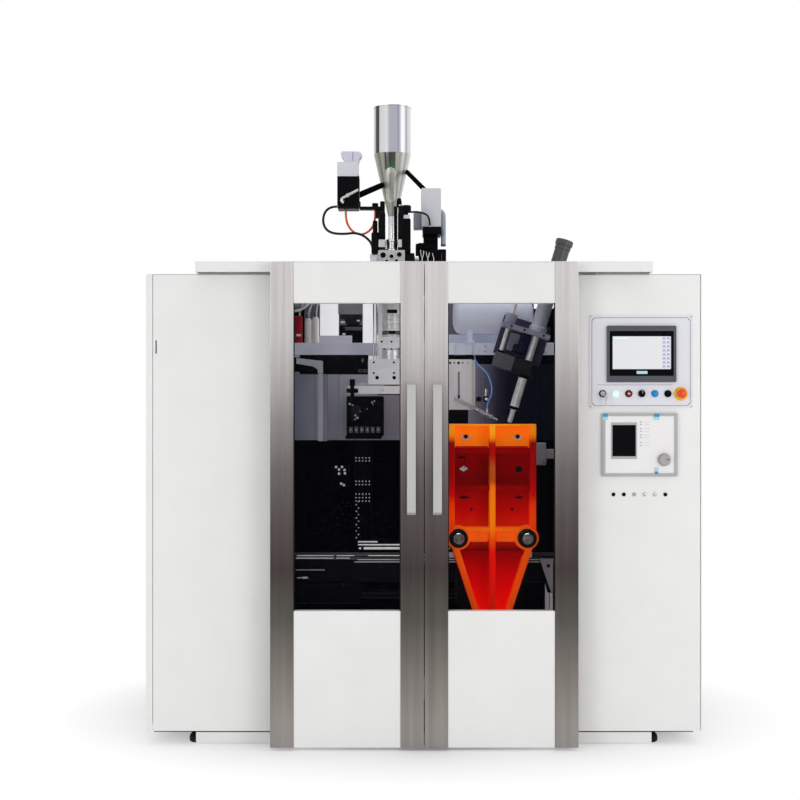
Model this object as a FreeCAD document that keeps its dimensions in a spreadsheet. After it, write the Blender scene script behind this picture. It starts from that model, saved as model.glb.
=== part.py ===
import FreeCAD, Part
import math
import os
import re

import Sketcher
from FreeCAD import Placement, Rotation, Vector

# A shuttle blow moulding machine: an enclosure with two sliding doors, an extruder and parison
# head on a platform, a clamp on a carriage that travels sideways, and a leaning blow cylinder.
# Origin: on the floor under the middle of the machine. +Z is up and the doors face -Y.

SIZES = {
    # enclosure
    "half_width": 1164,  # middle of the machine to the outer face of a side panel
    "front_face": 845,  # middle to the front face of the side cabinets
    "roof_height": 1974,
    "roof_opening_left": -420,
    "roof_opening_right": 720,
    "cabinet_bottom": 59,
    "cabinet_edge": 600,  # inner edge of a side cabinet
    "sheet": 2.5,
    "panel_fold": 30,
    "corner_strip": 29,  # front return of the left side panel
    "right_strip": 6,  # front return of the right side panel
    "panel_gap": 1.5,
    # welded frame, with a low cross bar and a gusseted post in the working bay
    "tube": 80,
    "frame_bottom": 50,
    "bay_bar_forward": 550,
    "bay_post_left": 535,
    "bay_post_width": 34,
    "gusset_height": 149,
    # skirt, feet and the beam over the doors
    "skirt_inset": 206,
    "skirt_depth": 20,
    "skirt_bottom": 4,
    "foot_radius": 45,
    "foot_reach": 36,  # how far a foot stands out past the skirt
    "foot_set_back": 63,
    "beam_inset": 213,
    "beam_above_roof": 3,
    "beam_height": 44,
    "beam_reach": 50,  # how far the beam stands out in front of the cabinets
    "beam_seat": 55,  # how far it reaches back over them
    "beam_lip": 23,
    # sliding doors
    "door_clearance": 60,
    "door_thickness": 45,
    "door_width": 633,
    "door_gap": 3,
    "door_bottom": 12,
    "door_over_beam": 33,
    "door_head": 167,
    "door_foot": 563,
    "stile_width": 96,
    "stile_proud": 3,
    "pane": 6,
    "pane_set_back": 14,
    "handle_bottom": 970,
    "handle_length": 547,
    "handle_width": 36,
    "handle_inset": 34,
    "handle_reach": 42,
    "handle_bar": 12,
    "wheel_radius": 11,
    "wheel_width": 9,
    "hanger_inner": 60,
    "hanger_width": 50,
    "hanger_outer": 470,
    "guide_from_middle": 590,
    "guide_radius": 14,
    "running_gap": 0.3,
    # control panel on the right cabinet
    "plate_inset": 38,
    "plate_width": 434,
    "plate_drop": 173,
    "plate_height": 390,
    "plate_thickness": 3,
    "screen_in": 73,
    "screen_above": 109,
    "screen_width": 290,
    "screen_height": 236,
    "screen_depth": 11,
    "glass_inset_side": 11,
    "glass_inset_top": 22,
    "glass_inset_bottom": 26,
    "glass_depth": 3,
    "switch_above": 61,
    "switch_in": 56,
    "switch_pitch": 54.6,
    "collar_radius": 15,
    "collar_height": 9,
    "press": 4,
    "switch_radius": 10.5,
    "switch_height": 12,
    "selector_radius": 13,
    "selector_height": 25,
    "stop_radius": 20,
    "stop_height": 32,
    "stop_ring_radius": 29,
    "key_length": 24,
    "programmer_in": 53,
    "programmer_below": 285,
    "programmer_width": 315,
    "programmer_height": 265,
    "programmer_depth": 14,
    "programmer_frame": 12,
    "programmer_recess": 3,
    "small_screen_in": 38,
    "small_screen_above": 74,
    "small_screen_width": 106,
    "small_screen_height": 150,
    "knob_in": 259,
    "knob_above": 70,
    "knob_radius": 27,
    "knob_height": 20,
    "plug_below": 76,
    "plug_in": 49,
    "plug_pitch": 43.4,
    "plug_radius": 8,
    "plug_height": 6,
    # platform and inner wall
    "platform_front": 250,
    "platform_drop": 309,  # roof to the underside of the platform's beams
    "platform_height": 56,
    "platform_rear": 600,
    "column_one": 468,  # left faces of the three columns on the platform
    "column_two": 271,
    "column_three": 70,
    "column_height": 184,
    "wide_column": 84,
    "narrow_column": 65,
    "saddle_plate": 12,
    "wall_back": 430,
    "wall_height": 396,
    "lamp_post_left": 477,
    "lamp_post_width": 23,
    "trunk_height": 87,
    "trunk_left": 562,
    "trunk_right": 246,
    "valve_box_left": 364,
    "valve_box_right": 181,
    "valve_box_above": 21,
    "valve_box_height": 197,
    "valve_box_depth": 190,
    "drive_box_left": 381,
    "drive_box_right": 273,
    "drive_box_height": 140,
    "side_box_left": 498,
    "side_box_width": 74,
    "side_box_height": 103,
    # extruder and head
    "extruder_across": -138,
    "axis_above_saddle": 80,
    "mould_plane": 360,  # middle of the machine to the plane where the moulds meet
    "die_drop": 142,
    "die_block": 208,
    "die_block_height": 113,
    "head_radius": 50,
    "head_pipe_out": 55,
    "head_pipe_radius": 7,
    "head_plate": 124,
    "head_plate_rise": 164,
    "head_plate_thickness": 50,
    "elbow_half": 70,
    "elbow_rise": 72,
    "barrel_radius": 48,
    "barrel_flange": 70,
    "barrel_front": 285,
    "barrel_length": 560,
    "band_radius": 62,
    "band_first": 125,
    "band_space": 15,
    "throat_size": 150,
    "throat_rise": 135,
    "screw_radius": 25,
    "screw_tail": 60,
    "gearbox_half": 130,
    "gearbox_length": 250,
    "gearbox_below": 170,
    "gearbox_above": 140,
    "motor_radius": 105,
    "motor_length": 190,
    "motor_clearance": 15,  # motor to the rear tubes of the frame
    # hopper
    "bin_height": 234,
    "cone_height": 309,
    "pipe_height": 132,
    "neck_height": 136,
    "hopper_radius": 92.5,
    "pipe_radius": 22,
    "hopper_wall": 2,
    "rim": 3,
    "flange_radius": 45,
    "flange_height": 8,
    # units on top
    "manifold_half": 60,
    "manifold_height": 70,
    "valve_radius": 45,
    "valve_length": 150,
    "valve_cap": 50,
    "valve_stem": 40,
    "servo_left": 382,
    "servo_right": 283,
    "servo_rise": 329,
    "servo_height": 151,
    "servo_cap": 60,
    "servo_lid": 48,
    "air_left": -2,
    "air_right": 88,
    "air_rise": 262,
    "air_height": 181,
    "duct_radius": 12,
    "duct_length": 160,
    "tank_left": 158,
    "tank_rise": 128,
    "tank_radius": 86,
    "tank_length": 340,
    # clamp and carriage
    "clamp_across": 297,
    "platen_depth": 90,
    "platen_half": 188,
    "platen_over_mould": 11,
    "platen_foot_half": 46,
    "platen_web": 22,
    "platen_rib": 26,
    "top_pocket": 103,
    "middle_cell": 181,
    "tie_half": 146.7,
    "tie_above_bed": 45,
    "low_bar_drop": 170,
    "tie_radius": 24,
    "tie_nut_radius": 40,
    "tie_nut_depth": 42,
    "tie_cap_depth": 20,
    "tie_end": 14,
    "boss_radius": 52,
    "low_boss_radius": 42,
    "mould_opening": 200,
    "mould_depth": 150,
    "mould_half": 150,
    "mould_above_bars": 63,
    "mould_height": 415,
    "cavity_half": 105,
    "cavity_depth": 60,
    "cylinder_radius": 95,
    "cylinder_length": 270,
    "rod_radius": 45,
    "cross_plate": 60,
    "clamp_drop": 783,  # die to the top of the carriage beam
    "carriage_beam_height": 100,
    "carriage_beam_half": 70,
    "rail_height": 22,
    "rail_width": 23,
    "shuttle_drop": 60,
    "shuttle_radius": 40,
    "shuttle_rod_radius": 18,
    "shuttle_length": 620,
    "shuttle_start": 900,
    "rail_half_length": 620,
    "shoe_spacing": 150,
    "shoe_half": 45,
    "bed_rise": 35,
    "bed_thickness": 37,
    "bed_half": 205,
    "bed_depth_half": 90,
    "apron": 14,
    # leaning blow unit, measured along its own axis from the low end of the pin
    "lean": 17,
    "pin_across": 393,
    "pin_drop": 372,  # platform's top to the low end of the pin
    "pin_radius": 11,
    "pin_length": 70,
    "holder_radius": 20,
    "holder_top": 226,
    "crosshead_height": 70,
    "guide_rod_offset": 131,
    "guide_rod_radius": 10,
    "guide_rod_rise": 160,
    "blow_rod_radius": 16,
    "blow_rod_rise": 100,
    "mount_plate_rise": 21,
    "mount_plate_thickness": 22,
    "bush_radius": 26,
    "bush_height": 46,
    "blow_cylinder_radius": 36,
    "blow_cylinder_length": 408,
    "blow_cap": 26,
    "slotted_left": 121,
    "slotted_right": 231,
    "slotted_below": 23,
    "slotted_height": 228,
    "slotted_thickness": 12,
    "air_pipe_radius": 5,
    "air_pipe_left": 150,
    "air_pipe_right": 345,
    "air_pipe_low": 1365,
    "branch_across": 300,
    "branch_half": 8,
    "branch_height": 30,
    # stays of the hopper, and the free hoses
    "left_stay_radius": 11,
    "right_stay_radius": 8,
    "servo_hose_radius": 5.5,
    "orange_hose_radius": 5,
    "blue_hose_radius": 4,
    "valve_hose_radius": 4.5,
    # cutter below the die
    "cutter_out": 174,
    "cutter_forward": 100,
    "cutter_length": 240,
    "cutter_width": 40,
    "cutter_gap": 7,
    "cutter_thickness": 36,
    "cutter_pin_radius": 9,
    "cutter_pin_length": 30,
}

# Places that follow from the sizes: each is where one piece meets the next
PLACES = {
    "rear_face": "drive_front+gearbox_length+motor_length+motor_clearance+tube+panel_fold",
    "carriage_beam_top": "die_bottom-clamp_drop",
    "inner_post": "cabinet_edge+tube/2",
    "bay_post_top": "carriage_beam_top+18",
    "skirt_half": "half_width-skirt_inset",
    "foot_out": "skirt_half+foot_reach",
    "beam_half": "half_width-beam_inset",
    "beam_bottom": "roof_height+beam_above_roof",
    "beam_top": "beam_bottom+beam_height",
    "beam_front": "front_face+beam_reach",
    "beam_back": "front_face-beam_seat",
    "door_front": "front_face+door_clearance+door_thickness",
    "door_top": "beam_bottom+door_over_beam",
    "window_bottom": "door_bottom+door_foot",
    "window_top": "door_top-door_head",
    "plate_right": "half_width-plate_inset",
    "plate_left": "plate_right-plate_width",
    "plate_top": "roof_height-plate_drop",
    "plate_bottom": "plate_top-plate_height",
    "screen_left": "plate_left+screen_in",
    "screen_bottom": "plate_bottom+screen_above",
    "switch_first": "plate_left+switch_in",
    "switch_row": "plate_bottom+switch_above",
    "programmer_left": "plate_left+programmer_in",
    "programmer_bottom": "plate_bottom-programmer_below",
    "small_screen_left": "programmer_left+small_screen_in",
    "small_screen_bottom": "programmer_bottom+small_screen_above",
    "knob_across": "programmer_left+knob_in",
    "knob_up": "programmer_bottom+knob_above",
    "plug_first": "programmer_left+plug_in",
    "plug_row": "programmer_bottom-plug_below",
    "platform_bottom": "roof_height-platform_drop",
    "platform_top": "platform_bottom+platform_height",
    "saddle_top": "platform_top+column_height",
    "wall_bottom": "platform_bottom-wall_height",
    "trunk_bottom": "platform_bottom-trunk_height",
    "valve_box_bottom": "wall_bottom+valve_box_above",
    "valve_box_top": "valve_box_bottom+valve_box_height",
    "side_box_top": "wall_bottom-8",
    "extruder_up": "saddle_top+axis_above_saddle",
    "die_bottom": "platform_bottom-die_drop",
    "block_top": "die_bottom+die_block_height",
    "head_plate_bottom": "die_bottom+head_plate_rise",
    "throat_front": "barrel_length-barrel_front",
    "throat_top": "extruder_up+throat_rise",
    "band_pitch": "(barrel_length-band_first)/3",
    "band_length": "band_pitch-band_space",
    "screw_length": "barrel_length+throat_size+screw_tail",
    "drive_front": "throat_front+throat_size",
    "hopper_foot": "throat_top+neck_height",
    "hopper_cone_end": "hopper_foot+pipe_height",
    "hopper_shoulder": "hopper_cone_end+cone_height",
    "hopper_top": "hopper_shoulder+bin_height",
    "valves_bottom": "extruder_up+elbow_rise",
    "valve_bottom": "valves_bottom+manifold_height",
    "valve_top": "valve_bottom+valve_length",
    "valve_cap_top": "valve_top+valve_cap",
    "servo_bottom": "extruder_up+servo_rise",
    "servo_top": "servo_bottom+servo_height",
    "air_bottom": "extruder_up+air_rise",
    "air_top": "air_bottom+air_height",
    "tank_up": "platform_top+tank_rise",
    "carriage_beam_bottom": "carriage_beam_top-carriage_beam_height",
    "shuttle_up": "carriage_beam_bottom-shuttle_drop",
    "bed_bottom": "carriage_beam_top+bed_rise",
    "bed_top": "bed_bottom+bed_thickness",
    "tie_up": "bed_top+tie_above_bed",
    "tie_low": "carriage_beam_bottom-low_bar_drop",
    "mould_bottom": "tie_up+mould_above_bars",
    "mould_top": "mould_bottom+mould_height",
    "platen_front": "mould_plane+mould_opening/2+mould_depth+platen_depth",
    "platen_top": "mould_top+platen_over_mould",
    "platen_shoulder": "tie_up-7",
    "platen_foot": "tie_low-40",
    "lower_rib": "tie_up+46",
    "middle_rib": "lower_rib+middle_cell",
    "pin_up": "platform_top-pin_drop",
    "crosshead_low": "holder_top",
    "crosshead_high": "crosshead_low+crosshead_height",
    "mount_plate_low": "pin_drop/cos(lean)+mount_plate_rise",
    "mount_plate_high": "mount_plate_low+mount_plate_thickness",
    "bush_top": "mount_plate_high+bush_height",
    "guide_rod_top": "mount_plate_high+guide_rod_rise",
    "blow_cylinder_top": "mount_plate_high+blow_cylinder_length",
    "slotted_top": "platform_bottom-slotted_below",
    "slotted_bottom": "slotted_top-slotted_height",
    "cutter_pivot": "cutter_out-extruder_across",
    "cutter_plane": "mould_plane+cutter_forward",
    "cutter_top": "die_bottom-cutter_gap",
    "air_pipe_high": "air_pipe_low+(air_pipe_right-air_pipe_left)/2",
    "air_pipe_back": "platform_front+slotted_thickness+air_pipe_radius+0.2",
    "branch_up": "air_pipe_low+(air_pipe_right-branch_across)/2",
}

ROUND_SIDES = 16  # sides of a round piece that is small, repeated or hidden
FEW_SIDES = 12
PLUG_SIDES = 8
CONE_SIDES = 24
PLANES = {"XY": "XY_Plane", "XZ": "XZ_Plane", "YZ": "YZ_Plane"}
TURNS = {
    "X": Rotation(Vector(0, 1, 0), 90),
    "Y": Rotation(Vector(1, 0, 0), -90),
    "-Y": Rotation(Vector(1, 0, 0), 90),
    "Z": Rotation(),
}

document = FreeCAD.newDocument("blow_moulding_machine")
sheet = document.addObject("Spreadsheet::Sheet", "sizes")
for row, (alias, size) in enumerate(SIZES.items(), start=1):
    sheet.set("A%d" % row, alias.replace("_", " "))
    sheet.set("B%d" % row, str(size))
    sheet.setAlias("B%d" % row, alias)
document.recompute()
nodes = {}


# Helpers: every size is an expression over the sheet


def bound(text):
    """The expression with places written out and the sheet's name in front of each size."""
    def written(found):
        name = found.group()
        if name in PLACES:
            return "(%s)" % bound(PLACES[name])
        return "sizes." + name if name in SIZES else name
    return re.sub(r"(?<!sizes\.)\b[a-z][a-z_0-9]*", written, str(text))


def value(text):
    """What an expression over the sheet comes to."""
    result = sheet.evalExpression(bound(text))
    return float(getattr(result, "Value", result))


def bind(item, **sizes):
    """Bind properties of one object to expressions."""
    for name, text in sizes.items():
        item.setExpression(name, bound(text))
    return item


def put(item, x=0, y=0, z=0, turn=None):
    """Place an object at three expressions, turned first."""
    item.Placement = Placement(Vector(value(x), value(y), value(z)), turn or Rotation())
    for axis, text in zip("xyz", (x, y, z)):
        item.setExpression(".Placement.Base." + axis, bound(text))
    return item


def box(x, y, z):
    """A block between two expressions along each axis."""
    item = document.addObject("Part::Box", "block")
    bind(item, Length="(%s)-(%s)" % (x[1], x[0]), Width="(%s)-(%s)" % (y[1], y[0]))
    bind(item, Height="(%s)-(%s)" % (z[1], z[0]))
    return put(item, x[0], y[0], z[0])


def rod(x, y, z, radius, length, axis="Z"):
    """A true cylinder that starts at a point and runs along an axis."""
    item = document.addObject("Part::Cylinder", "rod")
    bind(item, Radius=radius, Height=length)
    return put(item, x, y, z, TURNS[axis])


def small_round(x, y, z, radius, length, axis="Z", around=False, sides=ROUND_SIDES):
    """A round piece with few faces, inside its circle or around it."""
    item = document.addObject("Part::Prism", "small_round")
    item.Polygon = sides
    reach = "/cos(180/%d)" % sides if around else ""
    bind(item, Circumradius="(%s)%s" % (radius, reach), Height=length)
    return put(item, x, y, z, TURNS[axis])


def many_sided(x, y, z, radius, length):
    """An upright round of the hopper, its sides in line with the cone's."""
    item = small_round(x, y, z, radius, length, sides=CONE_SIDES)
    return put(item, x, y, z, Rotation(Vector(0, 0, 1), 180.0 / CONE_SIDES))


def between(start, end, radius, sides=FEW_SIDES):
    """A round piece from one point to another, each three expressions."""
    low, high = (Vector(*[value(text) for text in point]) for point in (start, end))
    item = small_round(0, 0, 0, radius, (high - low).Length, sides=sides)
    return put(item, *start, Rotation(Vector(0, 0, 1), high - low))


def cone(x, y, z, low, high, height):
    """A many-sided cone between two radii: what square tapers turned about one axis share."""
    tapers = []
    for step in range(CONE_SIDES // 4):
        item = document.addObject("Part::Wedge", "taper")
        for end, radius in (("", low), ("2", high)):
            flat = "(%s)*cos(180/%d)" % (radius, CONE_SIDES)
            for side in "XZ":
                bind(item, **{side + end + "min": "-" + flat, side + end + "max": flat})
        bind(item, Ymin="0", Ymax=height)
        turn = Rotation(Vector(0, 0, 1), 360.0 / CONE_SIDES * step)
        tapers.append(put(item, x, y, z, turn.multiply(TURNS["-Y"])))
    item = document.addObject("Part::MultiCommon", "cone")
    item.Shapes = tapers
    item.Refine = True
    return item


def fuse(*items):
    """Several objects joined into one solid."""
    item = document.addObject("Part::MultiFuse", "joined")
    item.Shapes = list(items)
    item.Refine = True
    return item


def cut(base, *tools):
    """One object with others cut out of it."""
    item = document.addObject("Part::Cut", "cut")
    item.Base = base
    item.Tool = tools[0] if len(tools) == 1 else fuse(*tools)
    return item


def group(*items):
    """Separate solids kept together."""
    item = document.addObject("Part::Compound", "set")
    item.Links = list(items)
    return item


def leaning(item):
    """Put an object made along the blow axis into the leaning frame of the blow unit."""
    put(item, "pin_across", "-mould_plane", "pin_up", Rotation(Vector(0, 1, 0), value("lean")))
    item.setExpression(".Placement.Rotation.Angle", bound("lean"))
    return item


def node(label, item):
    """Name a finished sub-part."""
    item.Label = label
    nodes[label] = item
    return item


# Helpers for pieces made from sketches


def new_body():
    return document.addObject("PartDesign::Body", "body")


def flat_on(body, plane):
    """A sketch on one of the body's own planes."""
    item = body.newObject("Sketcher::SketchObject", "outline")
    origin = [f for f in body.Origin.OriginFeatures if f.Role == PLANES[plane]][0]
    item.AttachmentSupport = (origin, [""])
    item.MapMode = "FlatFace"
    return item


def pin_down(item, which, point, across, up):
    """Hold one point of a sketch at two expressions."""
    for kind, text in (("DistanceX", across), ("DistanceY", up)):
        rule = item.addConstraint(Sketcher.Constraint(kind, -1, 1, which, point, value(text)))
        item.setExpression("Constraints[%d]" % rule, bound(text))


def outline(body, plane, corners, circles=()):
    """A sketch with one closed outline and any round holes, each (across, up, radius)."""
    item = flat_on(body, plane)
    spots = [Vector(value(a), value(b), 0) for a, b in corners]
    count = len(spots)
    lines = [Part.LineSegment(spots[i], spots[(i + 1) % count]) for i in range(count)]
    if lines:
        item.addGeometry(lines, False)
    for i in range(count):
        item.addConstraint(Sketcher.Constraint("Coincident", i, 2, (i + 1) % count, 1))
    for i, (across, up) in enumerate(corners):
        pin_down(item, i, 1, across, up)
    for across, up, radius in circles:
        middle = Vector(value(across), value(up), 0)
        which = item.addGeometry(Part.Circle(middle, Vector(0, 0, 1), value(radius)), False)
        pin_down(item, which, 3, across, up)
        rule = item.addConstraint(Sketcher.Constraint("Radius", which, value(radius)))
        item.setExpression("Constraints[%d]" % rule, bound(radius))
    return item


def lift(sketch, offset):
    """Move a sketch off its plane by an expression."""
    sketch.setExpression(".AttachmentOffset.Base.z", bound(offset))
    return sketch


def pad(body, sketch, length, back=False):
    """Material along the sketch's normal, or against it."""
    item = body.newObject("PartDesign::Pad", "pad")
    item.Profile = sketch
    item.Reversed = back
    return bind(item, Length=length)


def pocket(body, sketch, depth, back=False):
    """A recess; the default direction is against the sketch's normal."""
    item = body.newObject("PartDesign::Pocket", "pocket")
    item.Profile = sketch
    item.Reversed = back
    return bind(item, Length=depth)


def rectangle(low, high):
    """The four corners between two (across, up) pairs of expressions."""
    return [(low[0], low[1]), (high[0], low[1]), (high[0], high[1]), (low[0], high[1])]


# Frame, skirts and feet


def make_frame():
    """The welded frame of square tube: two rings, outer posts, inner posts and a bay post."""
    edge = "(half_width-panel_fold)"
    front = ("-front_face+panel_fold", "-front_face+panel_fold+tube")
    rear = ("rear_face-panel_fold-tube", "rear_face-panel_fold")
    between = (front[1], rear[0])
    low = ("frame_bottom", "frame_bottom+tube")
    high = ("roof_height-sheet-tube", "roof_height-sheet")
    upright = (low[1], high[0])
    left = ("-%s" % edge, "-%s+tube" % edge)
    right = ("%s-tube" % edge, edge)
    bars = []
    for level in (low, high):
        for run in (front, rear):
            bars.append(box(("-%s" % edge, edge), run, level))
        for side in (left, right):
            bars.append(box(side, between, level))
    for run in (front, rear):
        for side in (left, right):
            bars.append(box(side, run, upright))
        bars.append(box(("-inner_post-tube/2", "-inner_post+tube/2"), run, upright))
        bars.append(box(("inner_post-tube/2", "inner_post+tube/2"), run, upright))
    for run in ("-platform_front", "platform_rear", "-mould_plane-tube/2"):
        for side in (left, right):
            bars.append(box(side, (run, run + "+tube"), upright))
    bay = ("-bay_bar_forward-tube/2", "-bay_bar_forward+tube/2")
    bars.append(box((left[1], right[0]), bay, low))
    bars.append(make_bay_post(low[1]))
    node("machine_frame", group(*bars))


def make_bay_post(bottom):
    """A slim post on the low cross bar, with a gusset plate at its head."""
    left, right = "bay_post_left", "bay_post_left+bay_post_width"
    run = ("-bay_bar_forward-bay_post_width/2", "-bay_bar_forward+bay_post_width/2")
    post = box((left, right), run, (bottom, "bay_post_top"))
    body = new_body()
    corners = [
        (left + "-25", "bay_post_top"),
        (left + "-25", "bay_post_top-12"),
        (left + "+10", "bay_post_top-gusset_height"),
        (right, "bay_post_top-gusset_height"),
        (right, "bay_post_top"),
    ]
    pad(body, outline(body, "XZ", corners), 8)
    return fuse(post, put(body, 0, run[0]))


def make_skirts_and_feet():
    """Kick plates under the frame, and round rubber machine feet."""
    back = "-front_face+panel_fold-5+skirt_depth"
    front_skirt = box(
        ("-skirt_half", "skirt_half"), ("-front_face+panel_fold-5", back), ("skirt_bottom", "frame_bottom")
    )
    rear_skirt = box(
        ("-skirt_half", "skirt_half"),
        ("rear_face-panel_fold-skirt_depth", "rear_face-panel_fold"),
        ("skirt_bottom", "frame_bottom"),
    )
    node("plinth_skirts", group(front_skirt, rear_skirt, *make_door_guides()))
    feet = []
    for across in ("-foot_out+foot_radius", "0", "foot_out-foot_radius"):
        for run in ("-front_face+panel_fold+foot_set_back", "rear_face-panel_fold-skirt_depth-foot_radius-2"):
            feet.append(small_round(across, run, 0, "foot_radius", "frame_bottom", sides=FEW_SIDES))
    node("levelling_feet", group(*feet))


def make_door_guides():
    """Floor guides: a bracket on the skirt with a roller behind each door."""
    guides = []
    back = "-door_front+door_thickness"
    for side in (-1, 1):
        middle = signed(side, "guide_from_middle")
        middle_run = back + "+running_gap+guide_radius"
        guides.append(
            box(
                (middle + "-20", middle + "+20"),
                (middle_run + "-6", "-front_face+panel_fold-5"),
                ("door_bottom+4", "door_bottom+9"),
            )
        )
        guides.append(
            small_round(middle, middle_run, "door_bottom+9", "guide_radius", 24, sides=FEW_SIDES)
        )
    return guides


def make_beam():
    """The folded beam over the doors; its front lip is the rail for the door wheels."""
    body = new_body()
    corners = [
        ("-beam_front", "beam_bottom"),
        ("-beam_front+beam_lip", "beam_bottom"),
        ("-beam_front+beam_lip", "beam_bottom+3"),
        ("-beam_front+3", "beam_bottom+3"),
        ("-beam_front+3", "beam_top-3"),
        ("-beam_back-3", "beam_top-3"),
        ("-beam_back-3", "roof_height"),
        ("-beam_back", "roof_height"),
        ("-beam_back", "beam_top"),
        ("-beam_front", "beam_top"),
    ]
    pad(body, outline(body, "YZ", corners), "2*beam_half")
    node("top_front_beam", put(body, "-beam_half"))


# Panels


def tray(x_from, x_to, z_from, z_to):
    """A folded front panel: a sheet with a return on every edge, open at the back."""
    body = new_body()
    pad(body, outline(body, "XZ", rectangle((x_from, z_from), (x_to, z_to))), "panel_fold", back=True)
    inner = rectangle(
        ("%s+sheet" % x_from, "%s+sheet" % z_from), ("%s-sheet" % x_to, "%s-sheet" % z_to)
    )
    hollow = lift(outline(body, "XZ", inner), "-panel_fold")
    pocket(body, hollow, "panel_fold-sheet", back=True)
    return body


def make_cabinet_fronts():
    left = tray("-half_width+corner_strip", "-cabinet_edge", "cabinet_bottom", "roof_height-sheet-1")
    node("left_front_panel", put(left, 0, "-front_face"))
    right = tray("cabinet_edge", "half_width-right_strip", "cabinet_bottom", "roof_height-sheet-1")
    node("right_front_panel", put(right, 0, "-front_face"))


def side_sheet(strip):
    """A side panel seen from above: a long sheet with a front and a rear return."""
    body = new_body()
    corners = [
        (0, "-front_face"),
        ("%s-panel_gap" % strip, "-front_face"),
        ("%s-panel_gap" % strip, "-front_face+sheet"),
        ("sheet", "-front_face+sheet"),
        ("sheet", "rear_face-sheet"),
        ("corner_strip-panel_gap", "rear_face-sheet"),
        ("corner_strip-panel_gap", "rear_face"),
        (0, "rear_face"),
    ]
    pad(body, outline(body, "XY", corners), "roof_height-cabinet_bottom")
    return body


def make_side_panels():
    left = put(side_sheet("corner_strip"), "-half_width", 0, "cabinet_bottom")
    mirror = document.addObject("Part::Mirroring", "mirrored")
    mirror.Source = put(side_sheet("right_strip"), "-half_width", 0, "cabinet_bottom")
    mirror.Normal = Vector(1, 0, 0)
    node("side_panels", group(left, mirror))


def make_rear_and_roof():
    """Rear panels beside and under the rear window of the drive, and two roof sheets."""
    edge = "(half_width-corner_strip)"
    half_turn = Rotation(Vector(0, 0, 1), 180)
    panels = []
    for low, high, top in (
        ("-" + edge, "-cabinet_edge", "roof_height-sheet-1"),
        ("cabinet_edge", edge, "roof_height-sheet-1"),
        ("-cabinet_edge+panel_gap", "cabinet_edge-panel_gap", "platform_bottom"),
    ):
        panels.append(put(tray(low, high, "cabinet_bottom", top), 0, "rear_face", 0, half_turn))
    node("rear_panels", group(*panels))
    run = ("-front_face+sheet", "rear_face-sheet")
    sheets = [
        box(("-half_width+sheet", "roof_opening_left"), run, ("roof_height-sheet", "roof_height")),
        box(("roof_opening_right", "half_width-sheet"), run, ("roof_height-sheet", "roof_height")),
    ]
    node("roof_panels", group(*sheets))


def make_enclosure():
    make_frame()
    make_skirts_and_feet()
    make_beam()
    make_cabinet_fronts()
    make_side_panels()
    make_rear_and_roof()


# Sliding doors


def signed(side, text):
    """An expression on the left (-1) or right (1) of the middle."""
    return text if side > 0 else "-(%s)" % text


def ordered(side, near, far):
    """A pair of expressions in rising order on either side of the middle."""
    return (near, far) if side > 0 else ("-(%s)" % far, "-(%s)" % near)


def make_door(side, name):
    """One door: two white panels, a clear pane, two steel stiles with hangers, and a handle."""
    inner = "door_gap/2"
    outer = "door_gap/2+door_width"
    front = "-door_front"
    back = "-door_front+door_thickness"
    span = ordered(side, inner + "+stile_width", outer + "-stile_width")
    panels = [
        box(span, (front, back), ("door_bottom", "window_bottom")),
        box(span, (front, back), ("window_top", "door_top")),
    ]
    node(name + "_door_panels", group(*panels))
    pane_front = "-door_front+pane_set_back"
    pane = box(span, (pane_front, pane_front + "+pane"), ("window_bottom", "window_top"))
    node(name + "_door_window", pane)
    steel = []
    for near, far in ((inner, inner + "+stile_width"), (outer + "-stile_width", outer)):
        steel.append(
            box(ordered(side, near, far), (front + "-stile_proud", back), ("door_bottom", "door_top"))
        )
    for place in ("hanger_inner", "hanger_outer"):
        steel.extend(make_hanger(side, place))
    node(name + "_door_stiles", group(*steel))
    make_handle(side, name)


def make_hanger(side, place):
    """A cranked plate on the back of a door and its wheel on the beam's lip."""
    back = "-door_front+door_thickness"
    crank = "-beam_front+beam_lip+2"
    middle = signed(side, place)
    body = new_body()
    corners = [
        (back, "beam_bottom-60"),
        (back + "+4", "beam_bottom-60"),
        (back + "+4", "beam_bottom-9"),
        (crank + "+5", "beam_bottom-9"),
        (crank + "+5", "beam_bottom+30"),
        (crank, "beam_bottom+30"),
        (crank, "beam_bottom-5"),
        (back, "beam_bottom-5"),
    ]
    pad(body, outline(body, "YZ", corners), "hanger_width")
    plate = put(body, middle + "-hanger_width/2")
    wheel_up = "beam_bottom+3+running_gap+wheel_radius"
    wheel = small_round(middle, crank, wheel_up, "wheel_radius", "wheel_width", "-Y", sides=FEW_SIDES)
    return [plate, wheel]


def make_handle(side, name):
    """A flat bow handle: a bar on two tapered feet, with a finger gap behind it."""
    front = "-door_front-stile_proud"
    body = new_body()
    corners = [
        (front, 0),
        (front + "-handle_reach+6", 12),
        (front + "-handle_reach", 24),
        (front + "-handle_reach", "handle_length-24"),
        (front + "-handle_reach+6", "handle_length-12"),
        (front, "handle_length"),
        (front, "handle_length-34"),
        (front + "-handle_reach+handle_bar", "handle_length-44"),
        (front + "-handle_reach+handle_bar", 44),
        (front, 34),
    ]
    pad(body, outline(body, "YZ", corners), "handle_width")
    near = ordered(side, "door_gap/2+handle_inset", "door_gap/2+handle_inset+handle_width")[0]
    node(name + "_door_handle", put(body, near, 0, "handle_bottom"))


# Control panel


TURNING_SWITCHES = (0, 3)


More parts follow.
